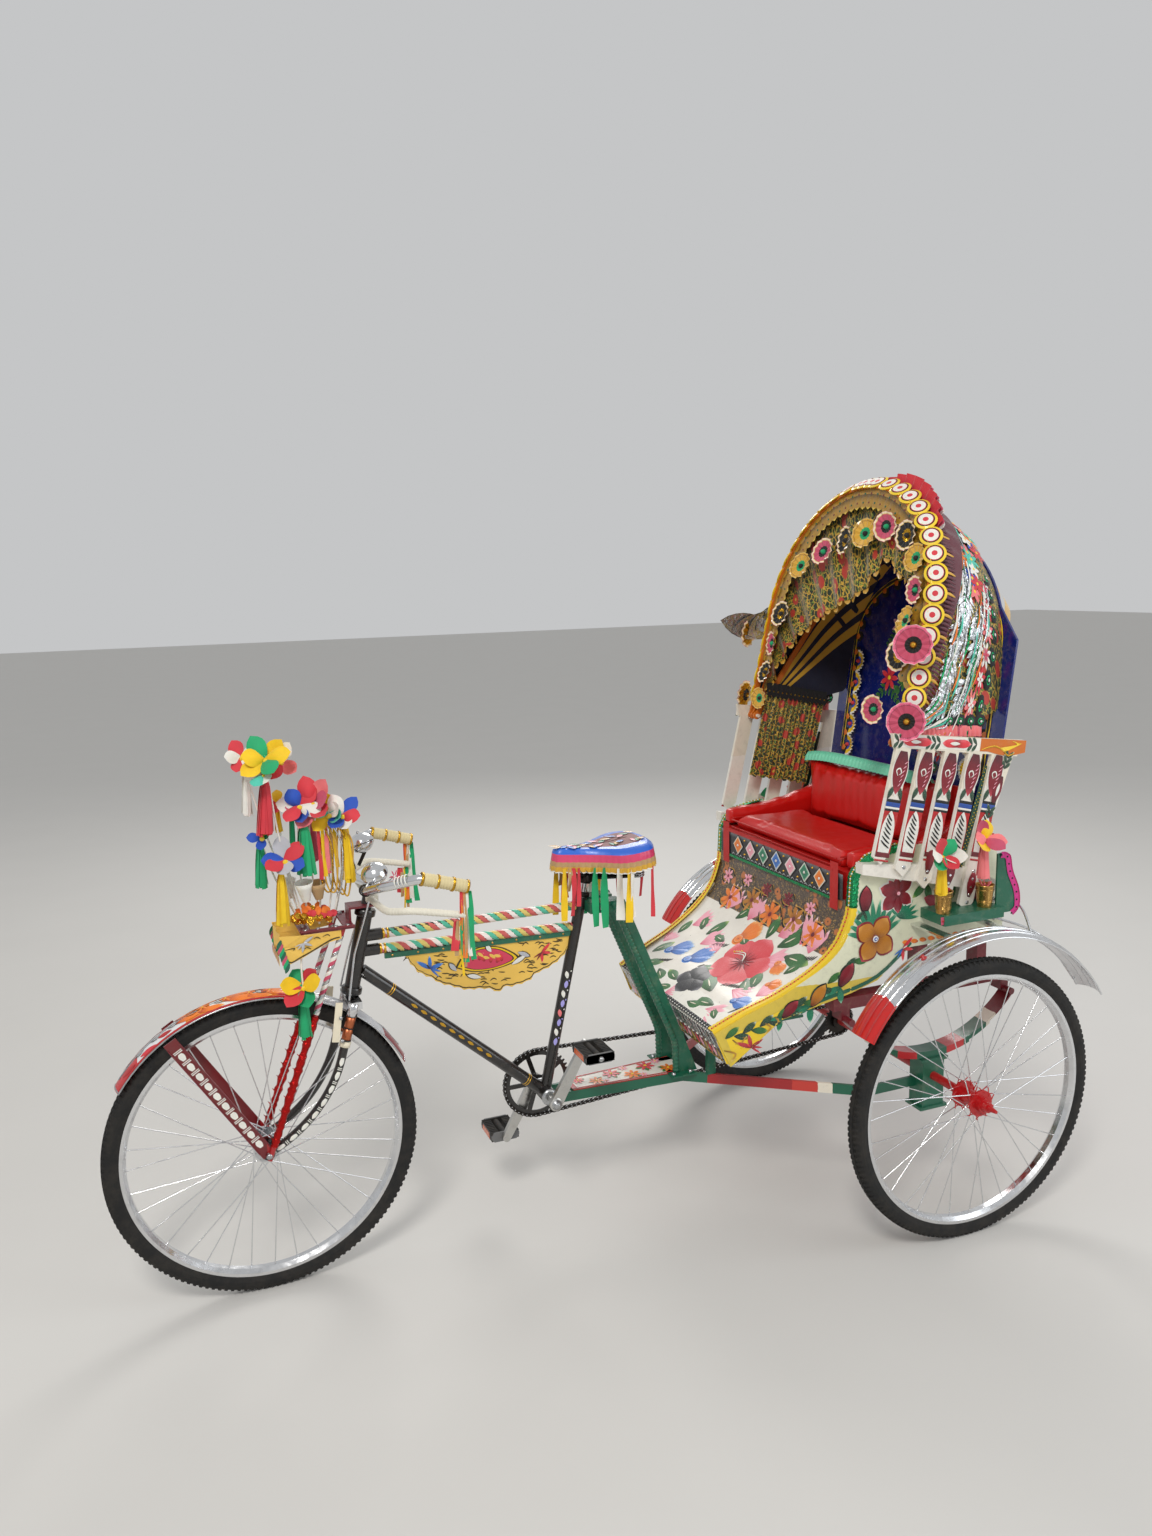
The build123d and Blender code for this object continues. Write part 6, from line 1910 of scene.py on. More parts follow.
class RickshawDrive(bpy.types.Operator):
    """The chain's links, the bolts and reflectors of the cranks and pedals."""

    bl_idname = "rickshaw.drive"
    bl_label = "Chain and pedals"

    def execute(self, context):
        hub = (0, TYRE_R)
        dx, dz = hub[0] - BRACKET[0], hub[1] - BRACKET[1]
        base = math.atan2(dz, dx)
        spread = math.acos((CHAINRING_R - SPROCKET_R) / math.hypot(dx, dz))
        line = []
        for k in range(41):
            turn = base + spread + (math.tau - 2 * spread) * k / 40
            line.append(Vector((BRACKET[0] + CHAINRING_R * math.cos(turn), 0,
                                BRACKET[1] + CHAINRING_R * math.sin(turn))))
        for k in range(31):
            turn = base - spread + 2 * spread * k / 30
            line.append(Vector((hub[0] + SPROCKET_R * math.cos(turn), 0,
                                hub[1] + SPROCKET_R * math.sin(turn))))
        line.append(line[0])
        links = 180
        line = resample(line, links + 1)
        roller = [(0, -5.6), (1.9, -5.6), (1.9, -3.9), (3.9, -2.2), (3.9, 2.2), (1.9, 3.9), (1.9, 5.6),
                  (0, 5.6)]
        chain = Shape("roller_chain")
        for k in range(links):
            p, q = line[k], line[k + 1]
            ahead = (q - p).normalized()
            up = Vector((-ahead.z, 0, ahead.x))
            for side in (-1, 1):
                inner = 2.2 if k % 2 else 3.8
                outline = []
                for centre, start in ((q, -90), (p, 90)):
                    for j in range(5):
                        turn = math.radians(start + 45 * j)
                        c = centre + ahead * 4.1 * math.cos(turn) + up * 4.1 * math.sin(turn)
                        outline.append((c.x, c.z))
                middle = (p + q) / 2
                outline.insert(5, (middle.x + up.x * 2.9, middle.z + up.z * 2.9))
                outline.append((middle.x - up.x * 2.9, middle.z - up.z * 2.9))
                chain.plate(outline, lambda a, b, d, s=side, i=inner: at(a, CHAIN_Y + s * (i + d), b),
                            1.3, "dark_steel")
            chain.lathe(roller, at(p.x, CHAIN_Y, p.z), (0, 1, 0), "steel", 8)
        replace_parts(chain.make("chassis"), "chain")
        bolts = Shape("crank_bolts")
        for side in (-1, 1):
            bolts.lathe([(0, 9), (6, 9), (8, 7), (8, 4), (13, 3), (13, 0)],
                        at(BRACKET[0], side * 82, BRACKET[1]), (0, side, 0), "steel", 14)
            bolts.lathe([(0, 3), (14, 2), (17, 0)], at(BRACKET[0], side * 82.2, BRACKET[1]),
                        (0, side, 0), "alloy", 20)
            reach = Vector((math.cos(CRANK_ANGLE), 0, math.sin(CRANK_ANGLE))) * side

            def crank_point(a, b, r=reach, s=side):
                return at(BRACKET[0] + r.x * a - r.z * b, s * 82.2, BRACKET[1] + r.z * a + r.x * b)

            face = Skin(crank_point, 1)
            rows = [[face(a, -w * (1 - a / 420), 0.6), face(a, 0, 1.6), face(a, w * (1 - a / 420), 0.6)]
                    for a, w in ((24, 9), (60, 8), (100, 7.4), (140, 7.2))]
            bolts.grid(rows, "alloy", flip=side > 0)
        for k in range(5):
            bolts.lathe([(0, 3), (4.2, 3), (4.6, 0)], ring_point(BRACKET, 64, 72 * k, -59.5), (0, -1, 0),
                        "steel", 8)
        bolts.make("crankset")
        for side, body in ((1, "pedal_l"), (-1, "pedal_r")):
            px = BRACKET[0] + side * CRANK_ARM * math.cos(CRANK_ANGLE)
            pz = BRACKET[1] + side * CRANK_ARM * math.sin(CRANK_ANGLE)
            cage = Shape(f"{body}_cage")
            for y0 in (84, 170):
                outline = [(-38, 4), (-30, 13), (30, 13), (38, 4), (38, -4), (30, -13), (-30, -13),
                           (-38, -4)]
                cage.plate(outline, lambda a, b, d, o=y0: at(px + a, side * (o + d), pz + b), 3,
                           "grey_rubber")
            for end in (-1, 1):
                for low, high, lift, name in ((-9, 9, 1.2, "grey_rubber"), (-7, 7, 2.6, "reflector")):
                    half = 30 if name == "reflector" else 34
                    outline = [(129 - half, low), (129 + half, low), (129 + half - 4, high),
                               (129 - half + 4, high)]

                    def end_point(a, b, d, e=end, raised=lift):
                        return at(px + e * (36.4 + raised * 0.7 + d), side * a, pz + b)

                    cage.plate(outline, end_point, 1.2, name)
                for k in range(9):
                    for s in (-1, 1):
                        rib = [at(px + end * reach, side * (93 + 9 * k), pz + s * 10.2)
                               for reach in (16, 36)]
                        cage.tube(rib, 0.0016, "rubber", 6)
            cage.lathe([(0, 5), (5, 5), (7, 2), (7, -2)], at(px, side * 178, pz), (0, side, 0), "steel", 10)
            cage.make(body)
        return {"FINISHED"}


class RickshawTubes(bpy.types.Operator):
    """Wound tape on the twin top tubes, the cut banner below them and the ornaments on the frame."""

    bl_idname = "rickshaw.tubes"
    bl_label = "Frame trim"

    def execute(self, context):
        rng = random.Random(17)
        tubes = Shape("tube_tape")
        for low_head, low_seat in ((822, 825), (786, 772)):
            start = at(head_x(low_head) - 50, 0, low_head - 0.3)
            end = at(seat_x(low_seat) + 14, 0, low_seat)
            full = (end - start).length
            slope = (end - start) / full
            spiral(tubes, start, end, 11.3, 62, ["tape_green", "tape_white", "tape_red", "tape_gold"])
            for reach in (0.002, 0.012):
                tubes.lathe([(11, -3), (12.6, -2), (12.6, 2), (11, 3)], start + slope * reach, slope,
                            "gold", 20)
        tubes.make("chassis")
        strip = Shape("tube_strip")

        def top(x):
            return 786 - 14 * (1383 - x) / 550 - 11

        line = [(1322, top(1322)), (846, top(846)), (846, top(846) - 13), (1322, top(1322) - 13)]
        strip.plate(line, lambda a, b, d: at(a, d - 4, b), 8, "green")
        for x in range(870, 1310, 62):
            for side in (-1, 1):
                strip.lathe([(0, 1.6), (2.6, 1.2), (3, 0)], at(x, side * 4, top(x) - 6.5), (0, side, 0),
                            "brass", 8)
        strip.make("chassis")

        # The banner, cut to scallops from one thin sheet and painted on both sides
        def shift(x, z):
            return x, z + 8 - 37 * (1276 - x) / 432

        def sway(x):
            return 2 * math.sin(x / 60)

        lower = [(1276, 752), (1267, 737), (1247, 710), (1230, 699), (1207, 687), (1195, 677),
                 (1164, 666), (1128, 654), (1096, 653), (1067, 650), (1041, 640), (1030, 652),
                 (1005, 653), (962, 665), (945, 681), (910, 696),
                 (875, 720), (853, 750), (844, 778)]
        edge = resample(smooth_path([Vector((*shift(x, z), 0)) for x, z in lower], 6), 121)
        cut = []
        for k, p in enumerate(edge):
            ahead = (edge[min(k + 1, 120)] - edge[max(k - 1, 0)]).normalized()
            out = 3.6 * abs(math.sin(math.pi * k / 6)) if 0 < k < 120 else 0
            cut.append((p.x + ahead.y * out, p.y - ahead.x * out))
        sheet = Shape("tube_banner")
        rows = []
        for k, (x, z) in enumerate(cut):
            ceiling = top(x) - 13
            rows.append([(x, ceiling + (z - ceiling) * j / 6) for j in range(7)])
        for side in (-1, 1):
            cloth = [[at(x, side * 0.8 + sway(x) * (k / 6), z) for k, (x, z) in enumerate(row)]
                     for row in rows]
            sheet.grid(cloth, "banner_yellow", size=(20, 5), flip=side < 0)
        rim = [[at(x, sway(x) + d, z) for d in (-0.8, 0.8)] for x, z in cut]
        sheet.grid(rim, "paper_orange")
        for side in (-1, 1):
            def banner_point(a, b, s=side):
                return at(a, s * 0.9 + sway(a) * min(1, max(0, (top(a) - 13 - b) / 100)), b)

            face = Skin(banner_point, -side)
            band(sheet, face, [(x, z + 4.5) for x, z in cut[3:-3:2]], 2.6, "umber", 0.4)
            for x, z, turn, size in ((1214, 716, 0.6, 40), (928, 738, 2.4, 32)):
                tones = ("bluebell", "bluebell", "night") if x > 1100 else ("hibiscus", "tulip", "hibiscus")
                swallow(sheet, face, shift(x, z), size, tones, turn, 0.9)
            lens = [(1146, 714), (1130, 738), (1098, 757), (1060, 760), (1026, 752), (993, 728),
                    (1020, 712), (1064, 702), (1108, 702)]
            lens = [shift(x, z) for x, z in lens]
            smooth = smooth_pairs(lens + lens[:1], 4)[:-1]
            for grow, name, lift in ((1.08, "umber", 0.5), (1.0, "paper_yellow", 0.8),
                                     (0.9, "umber", 1.0), (0.85, "banner_pink", 1.2)):
                mx = sum(a for a, b in smooth) / len(smooth)
                mz = sum(b for a, b in smooth) / len(smooth)
                blot(sheet, face, [(mx + (a - mx) * grow, mz + (b - mz) * grow) for a, b in smooth],
                     name, lift, 2)
            for k in range(7):
                x, z = shift(1122 - 15 * k, 724 + 5 * math.sin(k))
                petal(sheet, face, (x, z), 1.2 + 0.5 * (k % 3), 22, 13, "hibiscus", 1.6, 0.5, 4, 0.3, 0.4)
                petal(sheet, face, (x + 3, z + 12), 0.3 + 0.4 * (k % 2), 20, 8, "banner_yellow", 1.8,
                      0.5, 4, 0.3, 0.4)
            for x, z, angle, length, name in (
                (1007, 712, 2.7, 44, "paper_white"), (1150, 706, 0.9, 30, "paper_grey"),
                (990, 742, 3.6, 36, "paper_grey"), (1088, 684, 0.3, 40, "paper_white"),
                (1060, 748, 1.0, 26, "paper_white"),
            ):
                petal(sheet, face, shift(x, z), angle, length, 15, "umber", 1.3, 0.5, 6, 0.2, 0.2)
                petal(sheet, face, shift(x, z), angle, length - 3, 11, name, 1.7, 0.5, 6, 0.2, 0.3)
            for k in range(110):
                x = rng.uniform(868, 1262)
                floor = min((abs(x - a), b) for a, b in cut)[1]
                z = rng.uniform(floor + 10, top(x) - 18)
                sx, sz = x, z - (8 - 37 * (1276 - x) / 432)
                if 985 < sx < 1156 and 698 < sz < 764 or 1195 < sx < 1250 and 712 < sz < 760:
                    continue
                bend = rng.uniform(-1, 1)
                stroke(sheet, face, [(x, z), (x + 8, z + 3 + 3 * bend), (x + 17, z + 1 - 4 * bend)], 3.0,
                       "umber", 0.5)
        sheet.make("chassis")
        # Rings on the sockets, painted marks on the seat tube and down tube, and the bottom bracket's cups
        marks = Shape("frame_marks")
        seat = rod_skin(at(BRACKET[0], 0, BRACKET[1]), at(SEAT_LUG[0], 0, SEAT_LUG[1]), 14, (0, 1, 0))
        for k, name in enumerate(("lilac", "paper_white", "lilac", "paper_pink", "lilac", "paper_white",
                                  "lilac", "paper_white")):
            b = 128 + 25 * k
            petal(marks, seat, (-3, b), math.pi / 2 + 0.3 * (k % 2), 19, 10, name, 0.5, 0.5, 5, 0.3, 0.3)
            dot(marks, seat, (4, b + 19), 2.2, "paper_white" if k % 2 else "lilac", 0.4, 0.4, 8)
        down_end = at(WHEELBASE - 245, 0, 740)
        down_start = at(BRACKET[0], 0, BRACKET[1])
        down = rod_skin(down_start, down_end, 15, (0, 1, 0))
        length = (down_end - down_start).length * 1000
        axis = (down_end - down_start).normalized()
        for reach in (60, 66, length - 92, length - 86):
            marks.lathe([(15, 0), (15.6, 0.6), (15.6, 2.2), (15, 2.8)], down_start + axis * reach / 1000,
                        axis, "gold", 20)
        for k in range(9):
            petal(marks, down, (0, 190 + 30 * k), math.pi / 2, 20, 7, "gold", 0.4, 0.5, 5, 0.2, 0.2)
        for side in (-1, 1):
            cup = [(9, 6), (14, 6), (21.5, 3), (21.5, 0), (20, -3)]
            marks.lathe(cup, at(BRACKET[0], side * 34, BRACKET[1]), (0, side, 0), "steel", 20)
        for z in (697, 880):
            axis = (at(head_x(z + 10), 0, z + 10) - at(head_x(z), 0, z)).normalized()
            marks.lathe([(22, -9), (24.5, -7), (24.5, 5), (22, 8)], at(head_x(z), 0, z), axis, "black", 24)
        marks.lathe([(12, 0), (19, 1), (19, 12), (12, 13)], at(seat_x(846), 0, 846), (-0.22, 0, 1),
                    "dark_steel", 18)
        marks.make("chassis")
        return {"FINISHED"}


class RickshawFork(bpy.types.Operator):
    """Painted dashes, collars and foil on the fork and its stays, and the mudguards' trim."""

    bl_idname = "rickshaw.fork"
    bl_label = "Fork and mudguards"

    def execute(self, context):
        top = Vector((head_x(683), 683))
        knee = Vector((head_x(683) + 36, 556))
        end = Vector((WHEELBASE, TYRE_R))
        ahead = (knee - top).normalized()
        normal = Vector((-ahead.y, ahead.x))
        chord = end - knee
        radius = chord.length_squared / (2 * chord.dot(normal))
        centre = knee + normal * radius
        sweep = 2 * math.asin(min(1, chord.length / (2 * abs(radius))))
        arc = []
        for k in range(17):
            turn = sweep * k / 16 * (1 if radius > 0 else -1)
            spoke = knee - centre
            arc.append(centre + Vector((spoke.x * math.cos(turn) - spoke.y * math.sin(turn),
                                        spoke.x * math.sin(turn) + spoke.y * math.cos(turn))))
        line = [top.lerp(knee, k / 6) for k in range(6)] + arc
        runs = run_lengths(line)
        fork = Shape("fork_marks")
        for side in (-1, 1):
            def blade_point(a, b, s=side):
                p, d = place_along(line, runs, b)
                reach = 10 * math.sin(a / 10)
                return at(p.x - d.y * reach, s * (FORK_Y + 10 * math.cos(a / 10)), p.y + d.x * reach)

            skin = Skin(blade_point, side)
            for k in range(8):
                b = 132 + 34 * k
                if b > runs[-1] - 30:
                    break
                petal(fork, skin, (0, b), math.pi / 2, 21, 10.5, "paper_white", 0.5, 0.5, 6, 0.6, 0.5)
                for offset in (25, 29):
                    stroke(fork, skin, [(-5, b + offset), (0, b + offset), (5, b + offset)], 2,
                           "paper_white", 0.4, False)
            for low, high, r, name in ((2, 34, 13.2, "chrome"), (36, 62, 11.4, "copper"),
                                       (64, 90, 11.4, "copper"), (94, 108, 13, "cream"),
                                       (62, 64.5, 12, "black"), (90, 94, 12, "black")):
                (p, _), (q, _) = place_along(line, runs, low), place_along(line, runs, high)
                axis = Vector((q.x - p.x, 0, q.y - p.y)).normalized()
                fork.lathe([(10, 0), (r, 0.8), (r, high - low - 0.8), (10, high - low)],
                           at(p.x, side * FORK_Y, p.y), axis, name, 20)
            for z in (655, 600):
                fork.lathe([(0, 3), (4.5, 3), (4.5, 0)], at(head_x(683) + 36, side * 61, z),
                           (0, side, 0), "steel", 6)
            bar = [(1436, 690), (1452, 692), (1466, 600), (1449, 597)]
            fork.plate(bar, lambda a, b, d: at(a, side * (57.5 + d), b), 3, "cream")
        for side in (1, -1):
            fork.lathe([(0, 6), (7, 6), (8, 3), (8, 0)], at(WHEELBASE, side * 62, TYRE_R), (0, side, 0),
                       "steel", 6)
        rows = [[at(head_x(683) - 16 + 30 * i, y, 683.6) for y in (-57, 0, 57)] for i in (0, 1)]
        fork.grid(rows, "chrome", flip=True)
        for side in (-1, 1):
            fork.grid([[at(head_x(683) - 16 + 30 * i, side * 56.4, z) for i in (0, 1)]
                       for z in (666, 684)], "chrome", flip=side < 0)
        fork.make("steering")
        stays = Shape("stay_marks")
        ahead = Vector((math.cos(math.radians(58)), math.sin(math.radians(58))))
        for side in (-1, 1):
            flat = Skin(lambda a, b, s=side: at(WHEELBASE + ahead.x * b - ahead.y * a, s * STAY_Y,
                                                TYRE_R + ahead.y * b + ahead.x * a), side)
            for k in range(10):
                b = 36 + 31 * k
                blot(stays, flat, [(-7, b), (-4, b - 8), (4, b - 8), (7, b), (7, b + 6), (4, b + 11),
                                   (-4, b + 11), (-7, b + 6)], "paper_white", 0.5, 1)
                stroke(stays, flat, [(-10, b + 15), (10, b + 15)], 2.4, "paper_white", 0.5, False)
                stroke(stays, flat, [(-10, b + 19), (10, b + 19)], 2.0, "paper_white", 0.5, False)
            for a in (-14, 14):
                line = [flat(a, b, 1.2) for b in range(16, 350, 30)]
                stays.tube(line, 0.0016, "maroon", 6)
            stays.lathe([(0, 4), (6, 4), (7, 0)], at(WHEELBASE, side * STAY_Y, TYRE_R), (0, side, 0),
                        "steel", 6)
            # Red foil wound round the carrier's struts, and pale ribbon above it
            foot = at(WHEELBASE, side * 62, TYRE_R - 10)
            head = at(1424, side * 52, 863)
            path = [foot.lerp(head, 0.06 + 0.56 * k / 46) for k in range(47)]
            rng = random.Random(7)
            bumps = [rng.uniform(7.4, 11.5) / 1000 for _ in range(47)]
            stays.tube(path, lambda t: bumps[round(t * 46)], "red_foil", 9)
            for k in range(26):
                b = foot.lerp(head, 0.09 + 0.02 * k)
                turn = k * 2.1
                out = Vector((math.cos(turn), 0.5 * side * math.sin(turn), 0.3))
                stays.tube([b, b + out * 0.009, b + out * 0.013 + Vector((0, 0, 0.004))],
                           lambda t: 0.0026 * (1 - 0.8 * t), "red_foil", 5)
            spiral(stays, foot.lerp(head, 0.63), foot.lerp(head, 0.97), 6.5, 34,
                   ["paper_white", "paper_rose", "silver_foil"])
        stays.make("steering")
        # The front mudguard's paint
        guard = Shape("front_guard_paint")
        cx, cz, gr = FRONT_GUARD

        def guard_point(a, b):
            r = gr - 6 + 8 * max(0.0, 1 - (b / 31) ** 2)
            return ring_point((cx, cz), r, a / GUARD_DEGREE, b)

        def deg(value):
            return value * GUARD_DEGREE

        skin = Skin(guard_point, -1)
        for side in (-1, 1):
            band(guard, skin, [(deg(a), side * 27.5) for a in range(34, 104, 3)], 5.5, "red", 0.7)
            for a, b, length, name in ((38, 14, 40, "red"), (47, 18, 46, "paper_red"),
                                       (55, 12, 34, "red"), (96, 15, 46, "red"),
                                       (104, 19, 30, "paper_red")):
                petal(guard, skin, (deg(a), side * b), 0.18 * side, length, 13, name, 0.8, 0.4, 6, 0.2, 0.3)
            for a, b, length, width in ((62, 8, 62, 18), (70, 14, 60, 16), (79, 8, 84, 24),
                                        (86, 14, 62, 18), (92, 5, 64, 20)):
                petal(guard, skin, (deg(a), side * b), 0.12 * side, length, width, "flame", 1.0, 0.45, 8,
                      0.25, 0.4)
            for a in (45, 52, 59, 66, 76, 90):
                stroke(guard, skin, [(deg(a), side * 6), (deg(a) + 12, side * 11),
                                     (deg(a) + 26, side * 8)], 2.6, "umber", 1.6)
        for a in (72, 80, 88, 95):
            flower(guard, skin, (deg(a), 0), 15, 6, "flame", "yellow", 1.4)
        stroke(guard, skin, [(deg(36), 0), (deg(60), 1), (deg(100), 0), (deg(150), 0)], 5, "steel", 0.4,
               False, 1.6)
        for end_angle in (33.4, 154.6):
            path = [ring_point((cx, cz), gr - 7 + 8 * (1 - (b / 31) ** 2), end_angle, b)
                    for b in range(-30, 31, 5)]
            guard.tube(path, 0.0022, "steel", 8)
        for side in (-1, 1):
            path = [ring_point((cx, cz), gr - 7, degrees, side * 31) for degrees in range(33, 156, 4)]
            guard.tube(path, 0.0019, "steel", 8)
        guard.make("steering")
        # Ridges, bolts and stays of the rear mudguards
        cx, cz, gr = REAR_GUARD
        for side, label in ((1, "left"), (-1, "right")):
            ridges = Shape(f"rear_guard_trim_{label}")
            y = side * TRACK / 2
            for b, r in ((-40, 2.2), (-20, 2.4), (0, 3.0), (20, 2.4), (40, 2.2)):
                reach = gr - 8 + 10 * (1 - (b / 42) ** 2) - (1 if abs(b) == 40 else 0)
                for low, high, name in ((45, 149, "chrome"), (30.4, 45, "red")):
                    path = [ring_point((cx, cz), reach, low + (high - low) * k / 26, y + b)
                            for k in range(27)]
                    ridges.tube(path, r / 1000, name, 8)
            place = ring_point((cx, cz), gr + 1.4, 64, y)
            out = Vector((math.cos(math.radians(64)), 0, math.sin(math.radians(64))))
            ridges.lathe([(0, 9), (4, 8), (5, 3), (9, 2), (9, 0)], place, out, "red", 10)
            for degrees, height in ((118, 790), (146, 742)):
                start = ring_point((cx, cz), gr - 9, degrees, y - side * 38)
                end = at(-200, side * 332, height)
                middle = start.lerp(end, 0.5) + Vector((-0.02, 0, 0.03))
                ridges.tube(smooth_path([start, middle, end], 8), 0.0034, "chrome", 8)
                ridges.lathe([(0, 4), (6, 3), (7, 0)], end, (0, side, 0), "steel", 8)
            ridges.make("chassis")
        return {"FINISHED"}


class RickshawHandlebar(bpy.types.Operator):
    """Cord-wound grips, wrapped brake bars, bells and streamers."""

    bl_idname = "rickshaw.handlebar"
    bl_label = "Handlebar"

    def execute(self, context):
        rng = random.Random(29)
        bar = Shape("bar_dressing")
        for side in (-1, 1):
            grip = [at(1286, side * 250, 1009), at(1255, side * 251, 1001), at(1187, side * 252, 981)]
            wound(bar, grip, 13.2, 1.6, 7, "cord_cream", 14)
            for t, r in ((0.0, 15.6), (0.34, 16.2), (0.68, 16.2), (1.0, 15.6)):
                axis = (grip[-1] - grip[0]).normalized()
                bar.lathe([(12, -3), (r, -2.4), (r, 2.4), (12, 3)], grip[0].lerp(grip[-1], t), axis,
                          "gold_foil", 18)
            bar.lathe([(0, 2.4), (9, 2), (13, 0), (13, -3)], grip[-1], (grip[-1] - grip[0]).normalized(),
                      "paper_rose", 18)
            lever = smooth_path([at(1352, side * 40, 917), at(1352, side * 176, 929),
                                 at(1336, side * 214, 934), at(1300, side * 244, 938),
                                 at(1194, side * 250, 917)], 10)
            wound(bar, lever, 7.2, 1.1, 9, "cord_white", 10)
            # Reach of the brake: a thin rod down to the fork
            bar.tube([at(1356, side * 26, 912), at(1398, side * 30, 790), at(1420, side * 52, 690)],
                     0.0026, "chrome", 8)
            grip_end = at(1190, side * 252, 976)
            for lean, width, length, name, shift in (
                (0.02, 10, 150, "paper_orange", 8), (-0.05, 13, 158, "paper_green", -6),
                (-0.01, 12, 148, "paper_white", 1), (0.03, 7, 172, "paper_tan", 4),
                (0.0, 8, 120, "paper_red", 12),
            ):
                place = grip_end + Vector((shift / 1000, side * 0.004, -0.004))
                streamer(bar, place, length, width, name, rng, (lean, 0, 0))
            lever_end = at(1204, side * 250, 912)
            for lean, width, length, name, shift in (
                (0.06, 16, 66, "paper_red", 12), (0.0, 15, 96, "paper_green", -4),
                (0.05, 9, 78, "paper_tan", 8), (0.0, 5, 126, "paper_yellow", 2),
            ):
                place = lever_end + Vector((shift / 1000, side * 0.005, -0.004))
                streamer(bar, place, length, width, name, rng, (lean, 0, 0))
        # Cords that tie the streamers at the corners of the bar
        for side in (-1, 1):
            for k in range(4):
                place = at(1332 - 6 * k, side * (216 + 6 * k), 998 + 3 * k)
                bar.lathe([(11, -1.6), (13, 0), (11, 1.6)], place, (-0.7, side * 0.6, 0.3),
                          "paper_white", 14)
        bar.make("steering")
        bells = Shape("bell_pair")
        for x, y, z, aim in ((1350, 72, 986, (0.30, 0.34, 0.9)), (1338, -118, 1016, (0.25, -0.2, 0.95))):
            centre = at(x, y, z)
            dome = [(0, 26), (6, 25.6), (14, 23), (22, 18), (28, 10), (31, 2.4), (31.4, 0.8), (30, 0.6),
                    (27, 6)]
            bells.lathe(dome, centre, aim, "chrome", 36)
            cup = [(0, -24), (7, -23.4), (15, -20.6), (22.6, -15.6), (28, -8), (30.6, -2), (30.2, -0.6),
                   (27, -4)]
            bells.lathe(cup, centre, aim, "chrome", 36)
            bells.lathe([(29, -1.2), (29.4, 0), (29, 1.2)], centre, aim, "dark_steel", 30)
            bells.lathe([(0, 31), (3, 30.4), (4.4, 28), (4.4, 25)], centre, aim, "steel", 12)
            foot = at(x + 10, y, 950 if y > 0 else 962)
            bells.tube([centre - Vector(aim).normalized() * 0.022, foot], 0.0044, "dark_steel", 10)
            bells.lathe([(11.2, -8), (14, -7), (14, 7), (11.2, 8)],
                        at(1372, y * 0.94, 949 if y > 0 else 963), (0.05, 1, 0.1), "dark_steel", 18)
            axis = Vector(aim).normalized()
            side = axis.orthogonal().normalized()
            lever = [centre + side * 0.030, centre + side * 0.041 - axis * 0.003,
                     centre + side * 0.048 - axis * 0.010]
            bells.tube(lever, 0.0024, "steel", 8)
        star = Skin(lambda a, b: at(1302 + 0.8 * a, 56 + 0.22 * a, 971 + b), -1)
        flower(bells, star, (0, 0), 17, 6, "paper_rose", "paper_white", 2, 0.6)
        bells.tube([at(1302, 55, 971), at(1330, 60, 950)], 0.0014, "steel", 6)
        bells.make("steering")
        return {"FINISHED"}


